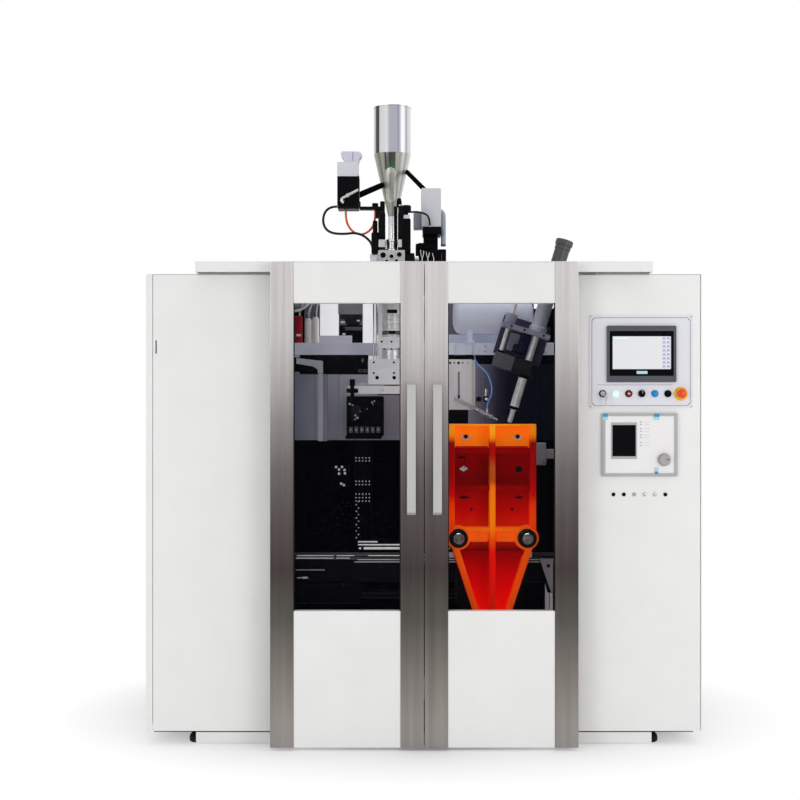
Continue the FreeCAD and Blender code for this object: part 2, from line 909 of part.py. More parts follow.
def make_controls():
    face = "-front_face"
    plate_face = "-front_face-plate_thickness"
    body = new_body()
    corners = [
        ("plate_left+8", "plate_bottom"),
        ("plate_right-8", "plate_bottom"),
        ("plate_right", "plate_bottom+8"),
        ("plate_right", "plate_top-8"),
        ("plate_right-8", "plate_top"),
        ("plate_left+8", "plate_top"),
        ("plate_left", "plate_top-8"),
        ("plate_left", "plate_bottom+8"),
    ]
    pad(body, outline(body, "XZ", corners), "plate_thickness")
    node("control_plate", put(body, 0, face))
    node("display_screens", group(make_screen(plate_face), make_programmer(face)))
    collars = []
    for place in range(6):
        turns = place in TURNING_SWITCHES
        collars.append(make_collar("switch_first+%d*switch_pitch" % place, plate_face, solid=turns))
    collars.append(make_collar("switch_first+6*switch_pitch", plate_face, "stop_ring_radius"))
    node("switch_collars", group(*collars))
    plugs = []
    for place in range(6):
        across = "plug_first+%d*plug_pitch" % place
        plugs.append(
            small_round(across, face, "plug_row", "plug_radius", "plug_height", "-Y", sides=PLUG_SIDES)
        )
    node("panel_plugs", group(*plugs))
    make_switches(plate_face)


def make_screen(face):
    """The touch screen: a chamfered bezel with the glass let into it."""
    body = new_body()
    frame = rectangle((0, 0), ("screen_width", "screen_height"))
    pad(body, outline(body, "XZ", frame), "screen_depth-4")
    inner = rectangle((5, 5), ("screen_width-5", "screen_height-5"))
    pad(body, lift(outline(body, "XZ", inner), "screen_depth-4"), 4)
    glass = rectangle(
        ("glass_inset_side", "glass_inset_bottom"),
        ("screen_width-glass_inset_side", "screen_height-glass_inset_top"),
    )
    pocket(body, lift(outline(body, "XZ", glass), "screen_depth"), "glass_depth")
    node("screen_bezel", put(body, "screen_left", face, "screen_bottom"))
    span = ("screen_left+glass_inset_side", "screen_left+screen_width-glass_inset_side")
    rise = ("screen_bottom+glass_inset_bottom", "screen_bottom+screen_height-glass_inset_top")
    depth = (face + "-screen_depth+0.5", face + "-screen_depth+glass_depth")
    return box(span, depth, rise)


def make_programmer(face):
    """The parison programmer: a framed case with a small screen and a turning knob."""
    body = new_body()
    frame = rectangle((0, 0), ("programmer_width", "programmer_height"))
    pad(body, outline(body, "XZ", frame), "programmer_depth")
    inner = rectangle(
        ("programmer_frame", "programmer_frame"),
        ("programmer_width-programmer_frame", "programmer_height-programmer_frame"),
    )
    pocket(body, lift(outline(body, "XZ", inner), "programmer_depth"), "programmer_recess")
    screen_low = ("small_screen_left-programmer_left", "small_screen_bottom-programmer_bottom")
    screen = rectangle(
        screen_low, (screen_low[0] + "+small_screen_width", screen_low[1] + "+small_screen_height")
    )
    seat = "programmer_depth-programmer_recess"
    pocket(body, lift(outline(body, "XZ", screen), seat), 3)
    node("programmer_case", put(body, "programmer_left", face, "programmer_bottom"))
    front = face + "-(%s)" % seat
    skirt = small_round("knob_across", front, "knob_up", "knob_radius", 5, "-Y")
    grip = small_round("knob_across", front + "-5", "knob_up", "knob_radius-5", "knob_height-5", "-Y")
    node("programmer_knob", fuse(skirt, grip))
    return box(
        ("small_screen_left", "small_screen_left+small_screen_width"),
        (front, front + "+3"),
        ("small_screen_bottom", "small_screen_bottom+small_screen_height"),
    )


def make_collar(across, face, radius="collar_radius", solid=False):
    """A collar: solid under a switch that turns, with a running hole for one that is pressed."""
    outer = small_round(across, face, "switch_row", radius, "collar_height", "-Y", sides=FEW_SIDES)
    if solid:
        return outer
    hole = small_round(across, face, "switch_row", "switch_radius+running_gap", "collar_height", "-Y",
                       sides=FEW_SIDES)
    return cut(outer, hole)


def make_switches(face):
    """Key switch, four push buttons, selector and the emergency stop, from left to right."""
    places = ["switch_first+%d*switch_pitch" % place for place in range(7)]

    def round_at(place, start, radius, length):
        return small_round(places[place], start, "switch_row", radius, length, "-Y", sides=FEW_SIDES)

    seat = face + "-collar_height"
    key = box(
        (places[0] + "-1.5", places[0] + "+1.5"),
        (face + "-switch_height-key_length", face + "-switch_height+2"),
        ("switch_row-8", "switch_row+8"),
    )
    node("key_switch", fuse(round_at(0, seat, "switch_radius", "switch_height-collar_height"), key))
    rest = face + "-press-0.3"
    for name, place in (("start_button", 1), ("stop_button", 2), ("reset_button", 4), ("lamp_button", 5)):
        node(name, round_at(place, rest, "switch_radius", "switch_height-press"))
    node("selector_knob", round_at(3, seat, "selector_radius", "selector_height-collar_height"))
    shaft = round_at(6, rest, "switch_radius", "stop_height-14-press")
    node("emergency_stop", fuse(shaft, round_at(6, face + "-stop_height+14", "stop_radius", 14)))


# Platform, extruder and head


def make_platform():
    """Cross beams between the posts, legs and rails for the extruder, and the inner wall."""
    edge = "(half_width-panel_fold-tube)"
    across = ("-%s" % edge, edge)
    rise = ("platform_bottom", "platform_top")
    front = ("-platform_front", "-platform_front+tube")
    rear = ("platform_rear", "platform_rear+tube")
    bars = [box(across, front, rise), box(across, rear, rise)]
    between = (front[1], rear[0])
    columns = (("column_one", "wide_column"), ("column_two", "narrow_column"), ("column_three", "narrow_column"))
    for start, width in columns:
        span = ("-" + start, "-%s+%s" % (start, width))
        bars.append(box(span, between, rise))
        bars.append(box(span, front, ("platform_top", "saddle_top")))
    saddle = ("saddle_top", "saddle_top+saddle_plate")
    bars.append(box(("-column_one", "-column_three+narrow_column"), front, saddle))
    cradle = box(
        ("extruder_across-barrel_radius-6", "extruder_across+barrel_radius+6"),
        ("-platform_front+20", "-platform_front+60"), (saddle[1], "extruder_up-10"),
    )
    bars.append(cut(cradle, on_axis("-platform_front+20", "barrel_radius", 40)))
    post = ("-lamp_post_left", "-lamp_post_left+lamp_post_width")
    bars.append(box(post, front, ("wall_bottom", "trunk_bottom")))
    bars.append(box(across, ("wall_back", "wall_back+3"), ("wall_bottom", "platform_bottom")))
    side_box = box(
        ("side_box_left", "side_box_left+side_box_width"), front,
        ("side_box_top-side_box_height", "side_box_top"),
    )
    arm = box(
        ("side_box_left+side_box_width", edge),
        ("-platform_front+tube/2-20", "-platform_front+tube/2+20"),
        ("side_box_top-side_box_height+30", "side_box_top-30"),
    )
    bars.append(fuse(side_box, arm))
    node("platform_frame", group(*bars))


def make_cable_trunk():
    """Black housings on the inside: trunk under the beam, valve box on the wall, drive box."""
    front = "-platform_front"
    trunk = box(("-trunk_left", "-trunk_right"), (front, front + "+tube"), ("trunk_bottom", "platform_bottom"))
    valve_box = box(
        ("-valve_box_left", "-valve_box_right"),
        ("wall_back-valve_box_depth", "wall_back"),
        ("valve_box_bottom", "valve_box_top"),
    )
    drive_box = box(
        ("-drive_box_left", "-drive_box_right"),
        (front + "+tube/2", front + "+tube"),
        ("platform_top", "platform_top+drive_box_height"),
    )
    node("cable_trunk", group(trunk, valve_box, drive_box))


def on_axis(start, radius, length, around=False):
    """A round piece along the extruder's axis."""
    return small_round("extruder_across", start, "extruder_up", radius, length, "Y", around)


def make_extruder():
    """Barrel with heater bands, feed throat, screw, gearbox and motor along one axis."""
    front = "-barrel_front"
    tube = on_axis(front, "barrel_radius", "barrel_length")
    flange = on_axis(front, "barrel_flange", 24)
    bore = on_axis(front, "screw_radius+running_gap", "barrel_length", True)
    bands = [
        on_axis(front + "+band_first+%d*band_pitch" % place, "band_radius", "band_length")
        for place in range(3)
    ]
    barrel = cut(fuse(tube, flange, *bands), bore)
    node("extruder_screw", on_axis(front + "+6", "screw_radius", "screw_length"))
    x, y = "extruder_across", "throat_front+throat_size/2"
    half = "throat_size/2"
    block = box(
        (x + "-" + half, x + "+" + half), ("throat_front", "drive_front"), ("extruder_up-" + half, "throat_top")
    )
    bore = on_axis("throat_front", "screw_radius+running_gap", "throat_size", True)
    chute = box(
        (x + "-pipe_radius*0.75", x + "+pipe_radius*0.75"),
        (y + "-pipe_radius*0.75", y + "+pipe_radius*0.75"),
        ("extruder_up", "hopper_foot"),
    )
    neck = small_round(x, y, "throat_top", "flange_radius", "neck_height")
    node("extruder_barrel", group(barrel, cut(fuse(block, neck), bore, chute)))
    span = (x + "-gearbox_half", x + "+gearbox_half")
    case = box(
        span, ("drive_front", "drive_front+gearbox_length"),
        ("extruder_up-gearbox_below", "extruder_up+gearbox_above"),
    )
    shaft_hole = on_axis("drive_front", "screw_radius+running_gap", "gearbox_length-20", True)
    motor = on_axis("drive_front+gearbox_length", "motor_radius", "motor_length")
    feet = box(span, ("drive_front", "platform_rear+tube"), ("platform_top", "extruder_up-gearbox_below"))
    node("extruder_drive", fuse(cut(case, shaft_hole), motor, feet))


def make_die_head():
    """The parison head: die block, stem, clamp plate, body and the elbow to the barrel."""
    half = "die_block/2"
    x, y = "extruder_across", "-mould_plane"
    block = box((x + "-" + half, x + "+" + half), (y + "-" + half, y + "+" + half), ("die_bottom", "block_top"))
    stem = small_round(x, y, "block_top", "head_radius", "saddle_top-block_top")
    pipe = small_round(x + "-head_pipe_out", y, "block_top", "head_pipe_radius", "saddle_top-block_top",
                       sides=PLUG_SIDES)
    plate = box(
        (x + "-head_plate/2", x + "+head_plate/2"), (y + "-head_plate/2", y + "+head_plate/2"),
        ("head_plate_bottom", "head_plate_bottom+head_plate_thickness"),
    )
    top = box(
        (x + "-elbow_half", x + "+elbow_half"), (y + "-elbow_half", "-barrel_front"),
        ("saddle_top", "valves_bottom"),
    )
    node("die_head", group(fuse(block, stem, pipe, plate, top), make_cutter()))


def hopper_cone(bottom, top):
    """The hopper's cone between two radii."""
    x, y = "extruder_across", "throat_front+throat_size/2"
    return cone(x, y, "hopper_cone_end", bottom, top, "cone_height")


def make_hopper():
    """The hopper: a straight open bin, a long cone and an outlet pipe with a flange."""
    x, y = "extruder_across", "throat_front+throat_size/2"
    bore = "hopper_radius-hopper_wall"
    shell = fuse(
        small_round(x, y, "hopper_foot", "flange_radius", "flange_height"),
        many_sided(x, y, "hopper_foot", "pipe_radius", "pipe_height"),
        hopper_cone("pipe_radius", "hopper_radius"),
        many_sided(x, y, "hopper_shoulder", "hopper_radius", "bin_height"),
        many_sided(x, y, "hopper_top-4", "hopper_radius+rim", 4),
    )
    inside = fuse(
        many_sided(x, y, "hopper_foot", "pipe_radius-hopper_wall", "pipe_height"),
        hopper_cone("pipe_radius-hopper_wall", bore),
        rod(x, y, "hopper_shoulder", bore, "bin_height"),
    )
    node("hopper", cut(shell, inside))


def make_top_units():
    """Valves over the head, the parison servo on its arm and the air unit on its post."""
    make_head_valves()
    y = "-mould_plane"
    body = box(("-servo_left", "-servo_right"), (y + "-50", y + "+50"), ("servo_bottom", "servo_top"))
    head = box(("-servo_left", "-servo_right-4"), (y + "-50", y + "+50"), ("servo_top", "servo_top+servo_cap"))
    cap = box(("-servo_left+14", "-servo_right-4"), (y + "-40", y + "+40"),
              ("servo_top+servo_cap", "servo_top+servo_cap+servo_lid"))
    stay = between(
        ("-servo_right-17", y + "+30", "servo_bottom+70"),
        ("extruder_across-52", "throat_front+throat_size/2-5", "hopper_cone_end+157"),
        "left_stay_radius",
    )
    stay = cut(stay, body, hopper_cone("pipe_radius", "hopper_radius"))
    node("parison_servo", group(body, head, cap, stay))
    front = "-platform_front"
    case = box(("air_left", "air_right"), (front + "-30", front + "+90"), ("air_bottom", "air_top"))
    stay = between(
        ("air_left+27", front + "+45", "air_top-8"),
        ("extruder_across+72", "throat_front+throat_size/2-5", "hopper_cone_end+224"),
        "right_stay_radius",
    )
    unit = [
        box(("air_left+14", "air_right-14"), (front, front + "+60"), ("platform_top", "air_bottom-34")),
        box(("air_left+6", "air_right"), (front + "-60", front + "+80"), ("air_bottom-34", "air_bottom")),
        case,
        cut(stay, case, hopper_cone("pipe_radius", "hopper_radius")),
        small_round("air_right+duct_radius", front + "+30", "air_top-duct_length-100", "duct_radius",
                    "duct_length", sides=FEW_SIDES),
    ]
    node("air_unit", group(*unit))
    middle = front + "+tube/2"
    tank = small_round("tank_left", middle, "tank_up", "tank_radius", "tank_length", "X")
    ends = small_round("tank_left-14", middle, "tank_up", "tank_radius-14", "tank_length+28", "X")
    saddles = [
        box((place, place + "+30"), (front + "+10", front + "+tube-10"),
            ("platform_top", "tank_up-tank_radius+8"))
        for place in ("tank_left+40", "tank_left+tank_length-70")
    ]
    node("air_receiver", fuse(tank, ends, *saddles))


def make_head_valves():
    """The valve column over the head, with the arm that carries the servo."""
    x, y = "extruder_across", "-mould_plane"
    base = "valves_bottom"
    left, right = x + "-manifold_half", x + "+manifold_half"
    run = (y + "-manifold_half", y + "+manifold_half")
    manifold = box((left, right), run, (base, "valve_bottom"))
    cylinder = small_round(x, y, "valve_bottom", "valve_radius", "valve_length")
    cap = box((x + "-50", x + "+50"), (y + "-50", y + "+50"), ("valve_top", "valve_cap_top"))
    stem = small_round(x, y, "valve_cap_top", 14, "valve_stem", sides=FEW_SIDES)
    side_valve = box((right, right + "+43"), (y + "-30", y + "+30"), (base + "+10", base + "+60"))
    side_knob = small_round(right + "+43", y, base + "+35", 14, 20, "X", sides=FEW_SIDES)
    left_valve = box((left + "-40", left), (y + "-25", y + "+25"), (base + "+16", base + "+56"))
    arm = box(("-servo_right", x + "-50"), (y + "-20", y + "+20"), ("servo_bottom", "servo_bottom+14"))
    node("head_valves", fuse(manifold, cylinder, cap, stem, side_valve, side_knob, left_valve, arm))


# Cutter below the die


def make_cutter():
    """The hot cutter arm, which swings under the die on a pin in its bracket."""
    pivot = "-cutter_pivot"
    plane = "-cutter_plane"
    arm = box(
        (pivot + "-30", pivot + "+cutter_length"),
        (plane + "-cutter_width/2", plane + "+cutter_width/2"),
        ("cutter_top-cutter_thickness", "cutter_top"),
    )
    pin = small_round(pivot, plane, "cutter_top", "cutter_pin_radius", "cutter_pin_length")
    node("hot_cutter", fuse(arm, pin))
    housing = box(
        (pivot + "-27", "extruder_across-die_block/2"),
        (plane + "-cutter_width/2", plane + "+cutter_width/2"),
        ("cutter_top+1", "cutter_top+40"),
    )
    hole = small_round(pivot, plane, "cutter_top+1", "cutter_pin_radius+0.05", "cutter_pin_length+9", "Z", True)
    return cut(housing, hole)


# Clamp: platens, bars, moulds, cylinder


def platen_outline():
    """The platen from the front: square shoulders above, tapering to a foot below."""
    return [
        ("-platen_foot_half", "platen_foot"),
        ("platen_foot_half", "platen_foot"),
        ("platen_half", "platen_shoulder"),
        ("platen_half", "platen_top"),
        ("-platen_half", "platen_top"),
        ("-platen_half", "platen_shoulder"),
    ]


TIE_BARS = (("-tie_half", "tie_up"), ("tie_half", "tie_up"), ("0", "tie_low"))


def on_bars(start, radius, length, which=TIE_BARS):
    """The same round piece on the line of each tie bar."""
    return [small_round("clamp_across+(%s)" % across, start, up, radius, length, "Y") for across, up in which]


def make_platen(label, front, ribs_forward):
    """A ribbed cast platen: a web, a rim, one upright rib, three cross ribs and three bosses."""
    body = new_body()
    pad(body, outline(body, "XZ", platen_outline()), "platen_depth", back=True)
    recess = "platen_depth-platen_web"
    inner, edge = "platen_rib/2", "platen_half-platen_rib"
    levels = (
        ("platen_top-top_pocket", "platen_top-8"),
        ("middle_rib", "platen_top-top_pocket-platen_rib"),
        ("lower_rib", "middle_rib-platen_rib"),
    )
    for low, high in levels:
        for side in (-1, 1):
            near, far = ordered(side, inner, edge)
            cell = outline(body, "XZ", rectangle((near, low), (far, high)))
            open_cell(body, cell, recess, ribs_forward)
    for side in (-1, 1):
        corners = [
            (signed(side, inner), "platen_shoulder-70"),
            (signed(side, "platen_half-platen_rib-60"), "platen_shoulder-70"),
            (signed(side, "platen_foot_half+26"), "platen_foot+150"),
            (signed(side, inner), "platen_foot+150"),
        ]
        cell = outline(body, "XZ", corners)
        open_cell(body, cell, recess, ribs_forward)
    casting = put(body, "clamp_across", front)
    bosses = on_bars(front, "boss_radius", "platen_depth", TIE_BARS[:2])
    bosses += on_bars(front, "low_boss_radius", "platen_depth", TIE_BARS[2:])
    holes = on_bars(front, "tie_radius+running_gap", "platen_depth")
    node(label, cut(fuse(casting, *bosses), *holes))


def open_cell(body, sketch, recess, forward):
    """A pocket between the ribs, from the front face or from the back face."""
    if not forward:
        lift(sketch, "-platen_depth")
        pocket(body, sketch, recess, back=True)
    else:
        pocket(body, sketch, recess)


def make_mould(label, front, cavity_at_back):
    """One mould half: a block with half of the can's cavity and half of the neck bore."""
    x = "clamp_across"
    block = box(
        (x + "-mould_half", x + "+mould_half"), (front, front + "+mould_depth"), ("mould_bottom", "mould_top")
    )
    parting = front + "+mould_depth" if cavity_at_back else front
    depth = (parting + "-cavity_depth", parting) if cavity_at_back else (parting, parting + "+cavity_depth")
    cavity = box((x + "-cavity_half", x + "+cavity_half"), depth, ("mould_bottom+60", "mould_top-75"))
    tools = [cavity]
    for radius, length, along in (("pin_radius+3", 160, -130), ("holder_radius+8", 60, -32)):
        place = ("pin_across+%d*sin(lean)" % along, parting, "pin_up+%d*cos(lean)" % along)
        tool = small_round(*place, radius, length, sides=FEW_SIDES)
        put(tool, *place, Rotation(Vector(0, 1, 0), value("lean")))
        tool.setExpression(".Placement.Rotation.Angle", bound("lean"))
        tools.append(tool)
    node(label, cut(block, *tools))


def make_clamp():
    """Two platens, two mould halves, three tie bars, and the cross plate with its cylinder."""
    front = "-platen_front"
    make_platen("front_platen", front, True)
    rear = "-mould_plane+mould_opening/2+mould_depth"
    make_platen("rear_platen", rear, False)
    make_mould("front_mould", front + "+platen_depth", True)
    make_mould("rear_mould", "-mould_plane+mould_opening/2", False)
    plate_front = rear + "+platen_depth+cylinder_length"
    bar_start = front + "-tie_nut_depth-tie_end"
    node("tie_bars", group(*on_bars(bar_start, "tie_radius", "%s+cross_plate-(%s)" % (plate_front, bar_start))))
    rings = on_bars(front + "-tie_nut_depth", "tie_nut_radius", "tie_nut_depth")
    holes = on_bars(front + "-tie_nut_depth", "tie_radius", "tie_nut_depth")
    caps = on_bars(plate_front + "+cross_plate", "tie_nut_radius", "tie_cap_depth")
    node("tie_bar_nuts", group(*[cut(ring, hole) for ring, hole in zip(rings, holes)], *caps))
    body = new_body()
    corners = [
        ("-platen_foot_half", "platen_foot"),
        ("platen_foot_half", "platen_foot"),
        ("platen_half", "tie_up-60"),
        ("platen_half", "tie_up+60"),
        ("-platen_half", "tie_up+60"),
        ("-platen_half", "tie_up-60"),
    ]
    pad(body, outline(body, "XZ", corners), "cross_plate", back=True)
    plate = cut(put(body, "clamp_across", plate_front), *on_bars(plate_front, "tie_radius", "cross_plate"))
    level = "tie_up-130"
    tube_start = plate_front + "-cylinder_length+20"
    tube = small_round("clamp_across", tube_start, level, "cylinder_radius", "cylinder_length-20", "Y")
    bore = small_round("clamp_across", tube_start, level, "rod_radius+running_gap", "cylinder_length-40", "Y")
    node("clamp_cylinder", group(plate, cut(tube, bore)))
    ram = small_round("clamp_across", rear + "+platen_depth", level, "rod_radius", "cylinder_length-30", "Y")
    node("clamp_rod", ram)


def make_carriage():
    """The carriage that straddles its beam, the rails it runs on and the shuttle cylinder."""
    middle = "-mould_plane"
    edge = "(half_width-panel_fold-tube)"
    beam = box(
        ("-%s" % edge, edge), (middle + "-carriage_beam_half", middle + "+carriage_beam_half"),
        ("carriage_beam_bottom", "carriage_beam_top"),
    )
    rails = [beam]
    shoes = []
    for side in (-1, 1):
        run = middle + ("+" if side > 0 else "-") + "carriage_beam_half*0.68"
        rails.append(
            box(("-rail_half_length", "rail_half_length"), (run + "-rail_width/2", run + "+rail_width/2"),
                ("carriage_beam_top", "carriage_beam_top+rail_height"))
        )
        for place in ("clamp_across-shoe_spacing", "clamp_across+shoe_spacing"):
            span = (place + "-shoe_half", place + "+shoe_half")
            shoe = box(span, (run + "-24", run + "+24"), ("carriage_beam_top+8", "bed_bottom"))
            groove = box(
                span,
                (run + "-rail_width/2-0.5", run + "+rail_width/2+0.5"),
                ("carriage_beam_top+8", "carriage_beam_top+rail_height+0.5"),
            )
            shoes.append(cut(shoe, groove))
    start = "-shuttle_start"
    barrel = small_round(start, middle, "shuttle_up", "shuttle_radius", "shuttle_length", "X")
    bore = small_round(start + "+60", middle, "shuttle_up", "shuttle_rod_radius+running_gap",
                       "shuttle_length-60", "X")
    foot = box(
        (start, start + "+40"), (middle + "-30", middle + "+30"), ("shuttle_up", "carriage_beam_bottom")
    )
    rails.append(cut(fuse(barrel, foot), bore))
    node("carriage_rails", group(*rails))
    run = (middle + "-bed_depth_half", middle + "+bed_depth_half")
    pieces = [box(("clamp_across-bed_half", "clamp_across+bed_half"), run, ("bed_bottom", "bed_top"))]
    holes = on_bars(run[0], "tie_radius+running_gap", "2*bed_depth_half")
    for (across, up), hole in zip(TIE_BARS[:2], holes):
        place = "clamp_across+(%s)" % across
        pieces.append(cut(box((place + "-46", place + "+46"), run, ("bed_top", "tie_up+46")), hole))
    for start in (run[0], run[1] + "-apron"):
        body = new_body()
        corners = [
            ("-48", "tie_low-48"),
            ("48", "tie_low-48"),
            ("tie_half", "bed_bottom"),
            ("-tie_half", "bed_bottom"),
        ]
        pad(body, outline(body, "XZ", corners), "apron", back=True)
        pieces.append(cut(put(body, "clamp_across", start), on_bars(start, "tie_radius+running_gap", "apron")[2]))
    link = box(
        ("clamp_across-40", "clamp_across+40"), (run[0] + "+apron", run[1] + "-apron"),
        ("shuttle_up-26", "shuttle_up+26"),
    )
    rod_start = "shuttle_length-shuttle_start-40"
    shuttle_rod = small_round(rod_start, middle, "shuttle_up", "shuttle_rod_radius",
                              "clamp_across-(%s)-20" % rod_start, "X")
    node("carriage", group(*pieces, *shoes, fuse(link, shuttle_rod)))


# Leaning blow unit


def make_blow_unit():
    """The pin, its holder and crosshead below, and the mount plate and cylinder above."""
    def up(low, high, radius, across="0"):
        return small_round(across, 0, low, radius, "(%s)-(%s)" % (high, low))

    guide = "-guide_rod_offset"
    rod_top = "mount_plate_high+blow_rod_rise"
    pieces = [
        up("5", "pin_length+8", "pin_radius"),
        up("pin_length-6", "pin_length+8", "holder_radius+2"),
        up("pin_length+8", "holder_top", "holder_radius"),
        box((guide + "-22", "26"), ("-38", "38"), ("crosshead_low", "crosshead_high")),
        up("crosshead_high", "guide_rod_top", "guide_rod_radius", guide),
        up("crosshead_high", rod_top, "blow_rod_radius"),
    ]
    node("blow_pin_carrier", leaning(fuse(*pieces)))
    across = (guide + "-30", "60")
    plate = box(across, ("-46", "46"), ("mount_plate_low", "mount_plate_high"))
    bush = up("mount_plate_high", "bush_top", "bush_radius", guide)
    holes = [
        up("mount_plate_low", "bush_top", "guide_rod_radius+running_gap", guide),
        up("mount_plate_low", "mount_plate_high", "blow_rod_radius+running_gap"),
    ]
    back = box(across, ("46", "62"), ("mount_plate_low-120", "mount_plate_high+40"))
    frame = leaning(cut(fuse(plate, bush, back), *holes))
    spacer = box(
        ("pin_across+20", "pin_across+140"), ("-mould_plane+62", "-platform_front"),
        ("platform_bottom+4", "platform_top-4"),
    )
    node("blow_mount", group(frame, spacer, make_slotted_plate(), make_air_pipe()))
    tube = up("mount_plate_high", "blow_cylinder_top", "blow_cylinder_radius")
    bore = up("mount_plate_high", "blow_cylinder_top-20", "blow_rod_radius+running_gap")
    cap = up("blow_cylinder_top", "blow_cylinder_top+blow_cap", "blow_cylinder_radius+4")
    node("blow_cylinder", leaning(fuse(cut(tube, bore), cap)))


def make_slotted_plate():
    """The white adjusting plate beside the blow unit, with a long slot, on the platform beam."""
    body = new_body()
    corners = [
        ("slotted_left", "slotted_bottom"),
        ("slotted_right", "slotted_bottom"),
        ("slotted_right", "slotted_top"),
        ("slotted_right-30", "slotted_top"),
        ("slotted_right-30", "platform_top-10"),
        ("slotted_left+30", "platform_top-10"),
        ("slotted_left+30", "slotted_top"),
        ("slotted_left", "slotted_top"),
    ]
    pad(body, outline(body, "XZ", corners), "slotted_thickness")
    slot = rectangle(("slotted_left+44", "slotted_bottom+46"), ("slotted_left+54", "slotted_top-54"))
    pocket(body, lift(outline(body, "XZ", slot), "slotted_thickness"), "slotted_thickness")
    return put(body, 0, "-platform_front")


def make_air_pipe():
    """The slanting air pipe across the slotted plate, with the branch for its hose."""
    run = "-air_pipe_back"
    pipe = between(
        ("air_pipe_left", run, "air_pipe_high"), ("air_pipe_right", run, "air_pipe_low"), "air_pipe_radius"
    )
    branch = box(
        ("branch_across-branch_half", "branch_across+branch_half"),
        (run + "-branch_half", run + "+branch_half"),
        ("branch_up-branch_half", "branch_up+branch_height"),
    )
    return fuse(pipe, branch)


# Free hoses: each route is chosen by hand, and the pipe's arcs are as large as their runs allow

HOSE_SIDES = 6
ARC_SHARE = 0.45
HOSES = {
    "servo_hose": [
        (-382, -360, 2330), (-408, -360, 2330), (-436, -360, 2312), (-448, -360, 2280), (-446, -360, 2246),
        (-428, -360, 2220), (-398, -360, 2208), (-350, -360, 2206), (-300, -360, 2212), (-258, -360, 2196),
        (-222, -360, 2158), (-222, -360, 2113),
    ],
    "orange_hose": [
        (-346, -340, 2314), (-346, -340, 2282), (-336, -340, 2246), (-312, -340, 2216), (-276, -341, 2204),
        (-242, -343, 2218), (-220, -346, 2246), (-212, -350, 2280), (-212, -350, 2314),
    ],
    "blue_hose": [
        (243, -238, 1665), (243, -238, 1643), (264, -247, 1614), (300, -258, 1584), (321, -264, 1530),
        (321, -267.2, 1480), (300, -267.2, 1446), (300, -267.2, 1417.5),
    ],
    "valve_hose": [
        (-88, -352, 2306), (-58, -352, 2306), (-24, -346, 2309), (8, -330, 2305), (28, -308, 2296),
        (36, -297, 2273), (36, -297, 2247),
    ],
}


def make_route(points):
    """Straight runs joined by tangent arcs, with the least radius."""
    edges = []
    at = points[0]
    least = 1000.0
    for before, corner, after in zip(points, points[1:], points[2:]):
        arriving, leaving = (corner - before).normalize(), (after - corner).normalize()
        half = arriving.getAngle(leaving) / 2
        reach = ARC_SHARE * min((corner - before).Length, (after - corner).Length)
        radius = reach / math.tan(half)
        least = min(least, radius)
        inward = (leaving - arriving).normalize()
        start, end = corner - arriving * reach, corner + leaving * reach
        edges.append(Part.LineSegment(at, start).toShape())
        edges.append(Part.Arc(start, corner + inward * (radius / math.cos(half) - radius), end).toShape())
        at = end
    edges.append(Part.LineSegment(at, points[-1]).toShape())
    return Part.Wire(edges), least


def make_hose(label, corners):
    """A free hose as a plain many-sided tube along its route."""
    points = [Vector(*corner) for corner in corners]
    radius = value(label + "_radius")
    route, least = make_route(points)
    ahead = (points[1] - points[0]).normalize()
    across = ahead.cross(Vector(0, 1, 0) if abs(ahead.y) < 0.9 else Vector(1, 0, 0)).normalize()
    turns = [Rotation(ahead, 360.0 * step / HOSE_SIDES) for step in range(HOSE_SIDES)]
    ring = [points[0] + turn.multVec(across) * radius for turn in turns]
    section = Part.makePolygon(ring + ring[:1])
    tube = route.makePipeShell([section], True, False)
    share = tube.Volume / (Part.Face(section).Area * route.Length)
    if abs(share - 1) > 0.01:
        raise RuntimeError("%s has %.3f of its section times its length" % (label, share))
    print("%s: %.0f mm long, least radius %.1f mm, %.1f diameters" % (
        label, route.Length, least, least / (2 * radius)))
    item = document.addObject("Part::Feature", label)
    item.Shape = tube
    item.Placement = Placement()
    node(label, item)


make_enclosure()
make_door(-1, "left")
make_door(1, "right")
make_controls()
make_platform()
make_cable_trunk()
make_extruder()
make_die_head()
make_hopper()
make_top_units()
make_clamp()
make_carriage()
make_blow_unit()
for hose, corners in HOSES.items():
    make_hose(hose, corners)
document.recompute()


# Checks and export


def check_document():
    """Stop if any object failed or a sub-part has no valid solid."""
    for item in document.Objects:
        for fault in ("Invalid", "Error"):
            if fault in item.State:
                raise RuntimeError("%s (%s) is %s" % (item.Name, item.Label, fault))
    for label, item in nodes.items():
        shape = item.Shape
        if shape.isNull() or not shape.isValid() or not shape.Solids:
            raise RuntimeError("%s has no valid solid" % label)


check_document()
os.makedirs("parts", exist_ok=True)
for label, item in nodes.items():
    item.Shape.exportStep(os.path.join("parts", label + ".step"))
print("%d sub-parts" % len(nodes))
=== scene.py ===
"""Dresses the blow moulding machine's frame with its detailed pieces, finishes, lights and camera.

Lengths in the classes below are millimetres in the machine's own frame: the origin on the floor
under the middle of the machine, +X to the right and -Y towards the operator, +Z up.
"""

from __future__ import annotations

import logging
import math
from dataclasses import dataclass
from enum import Enum
from typing import Sequence

import bmesh
import bpy
from mathutils import Matrix, Vector
from mathutils.geometry import tessellate_polygon

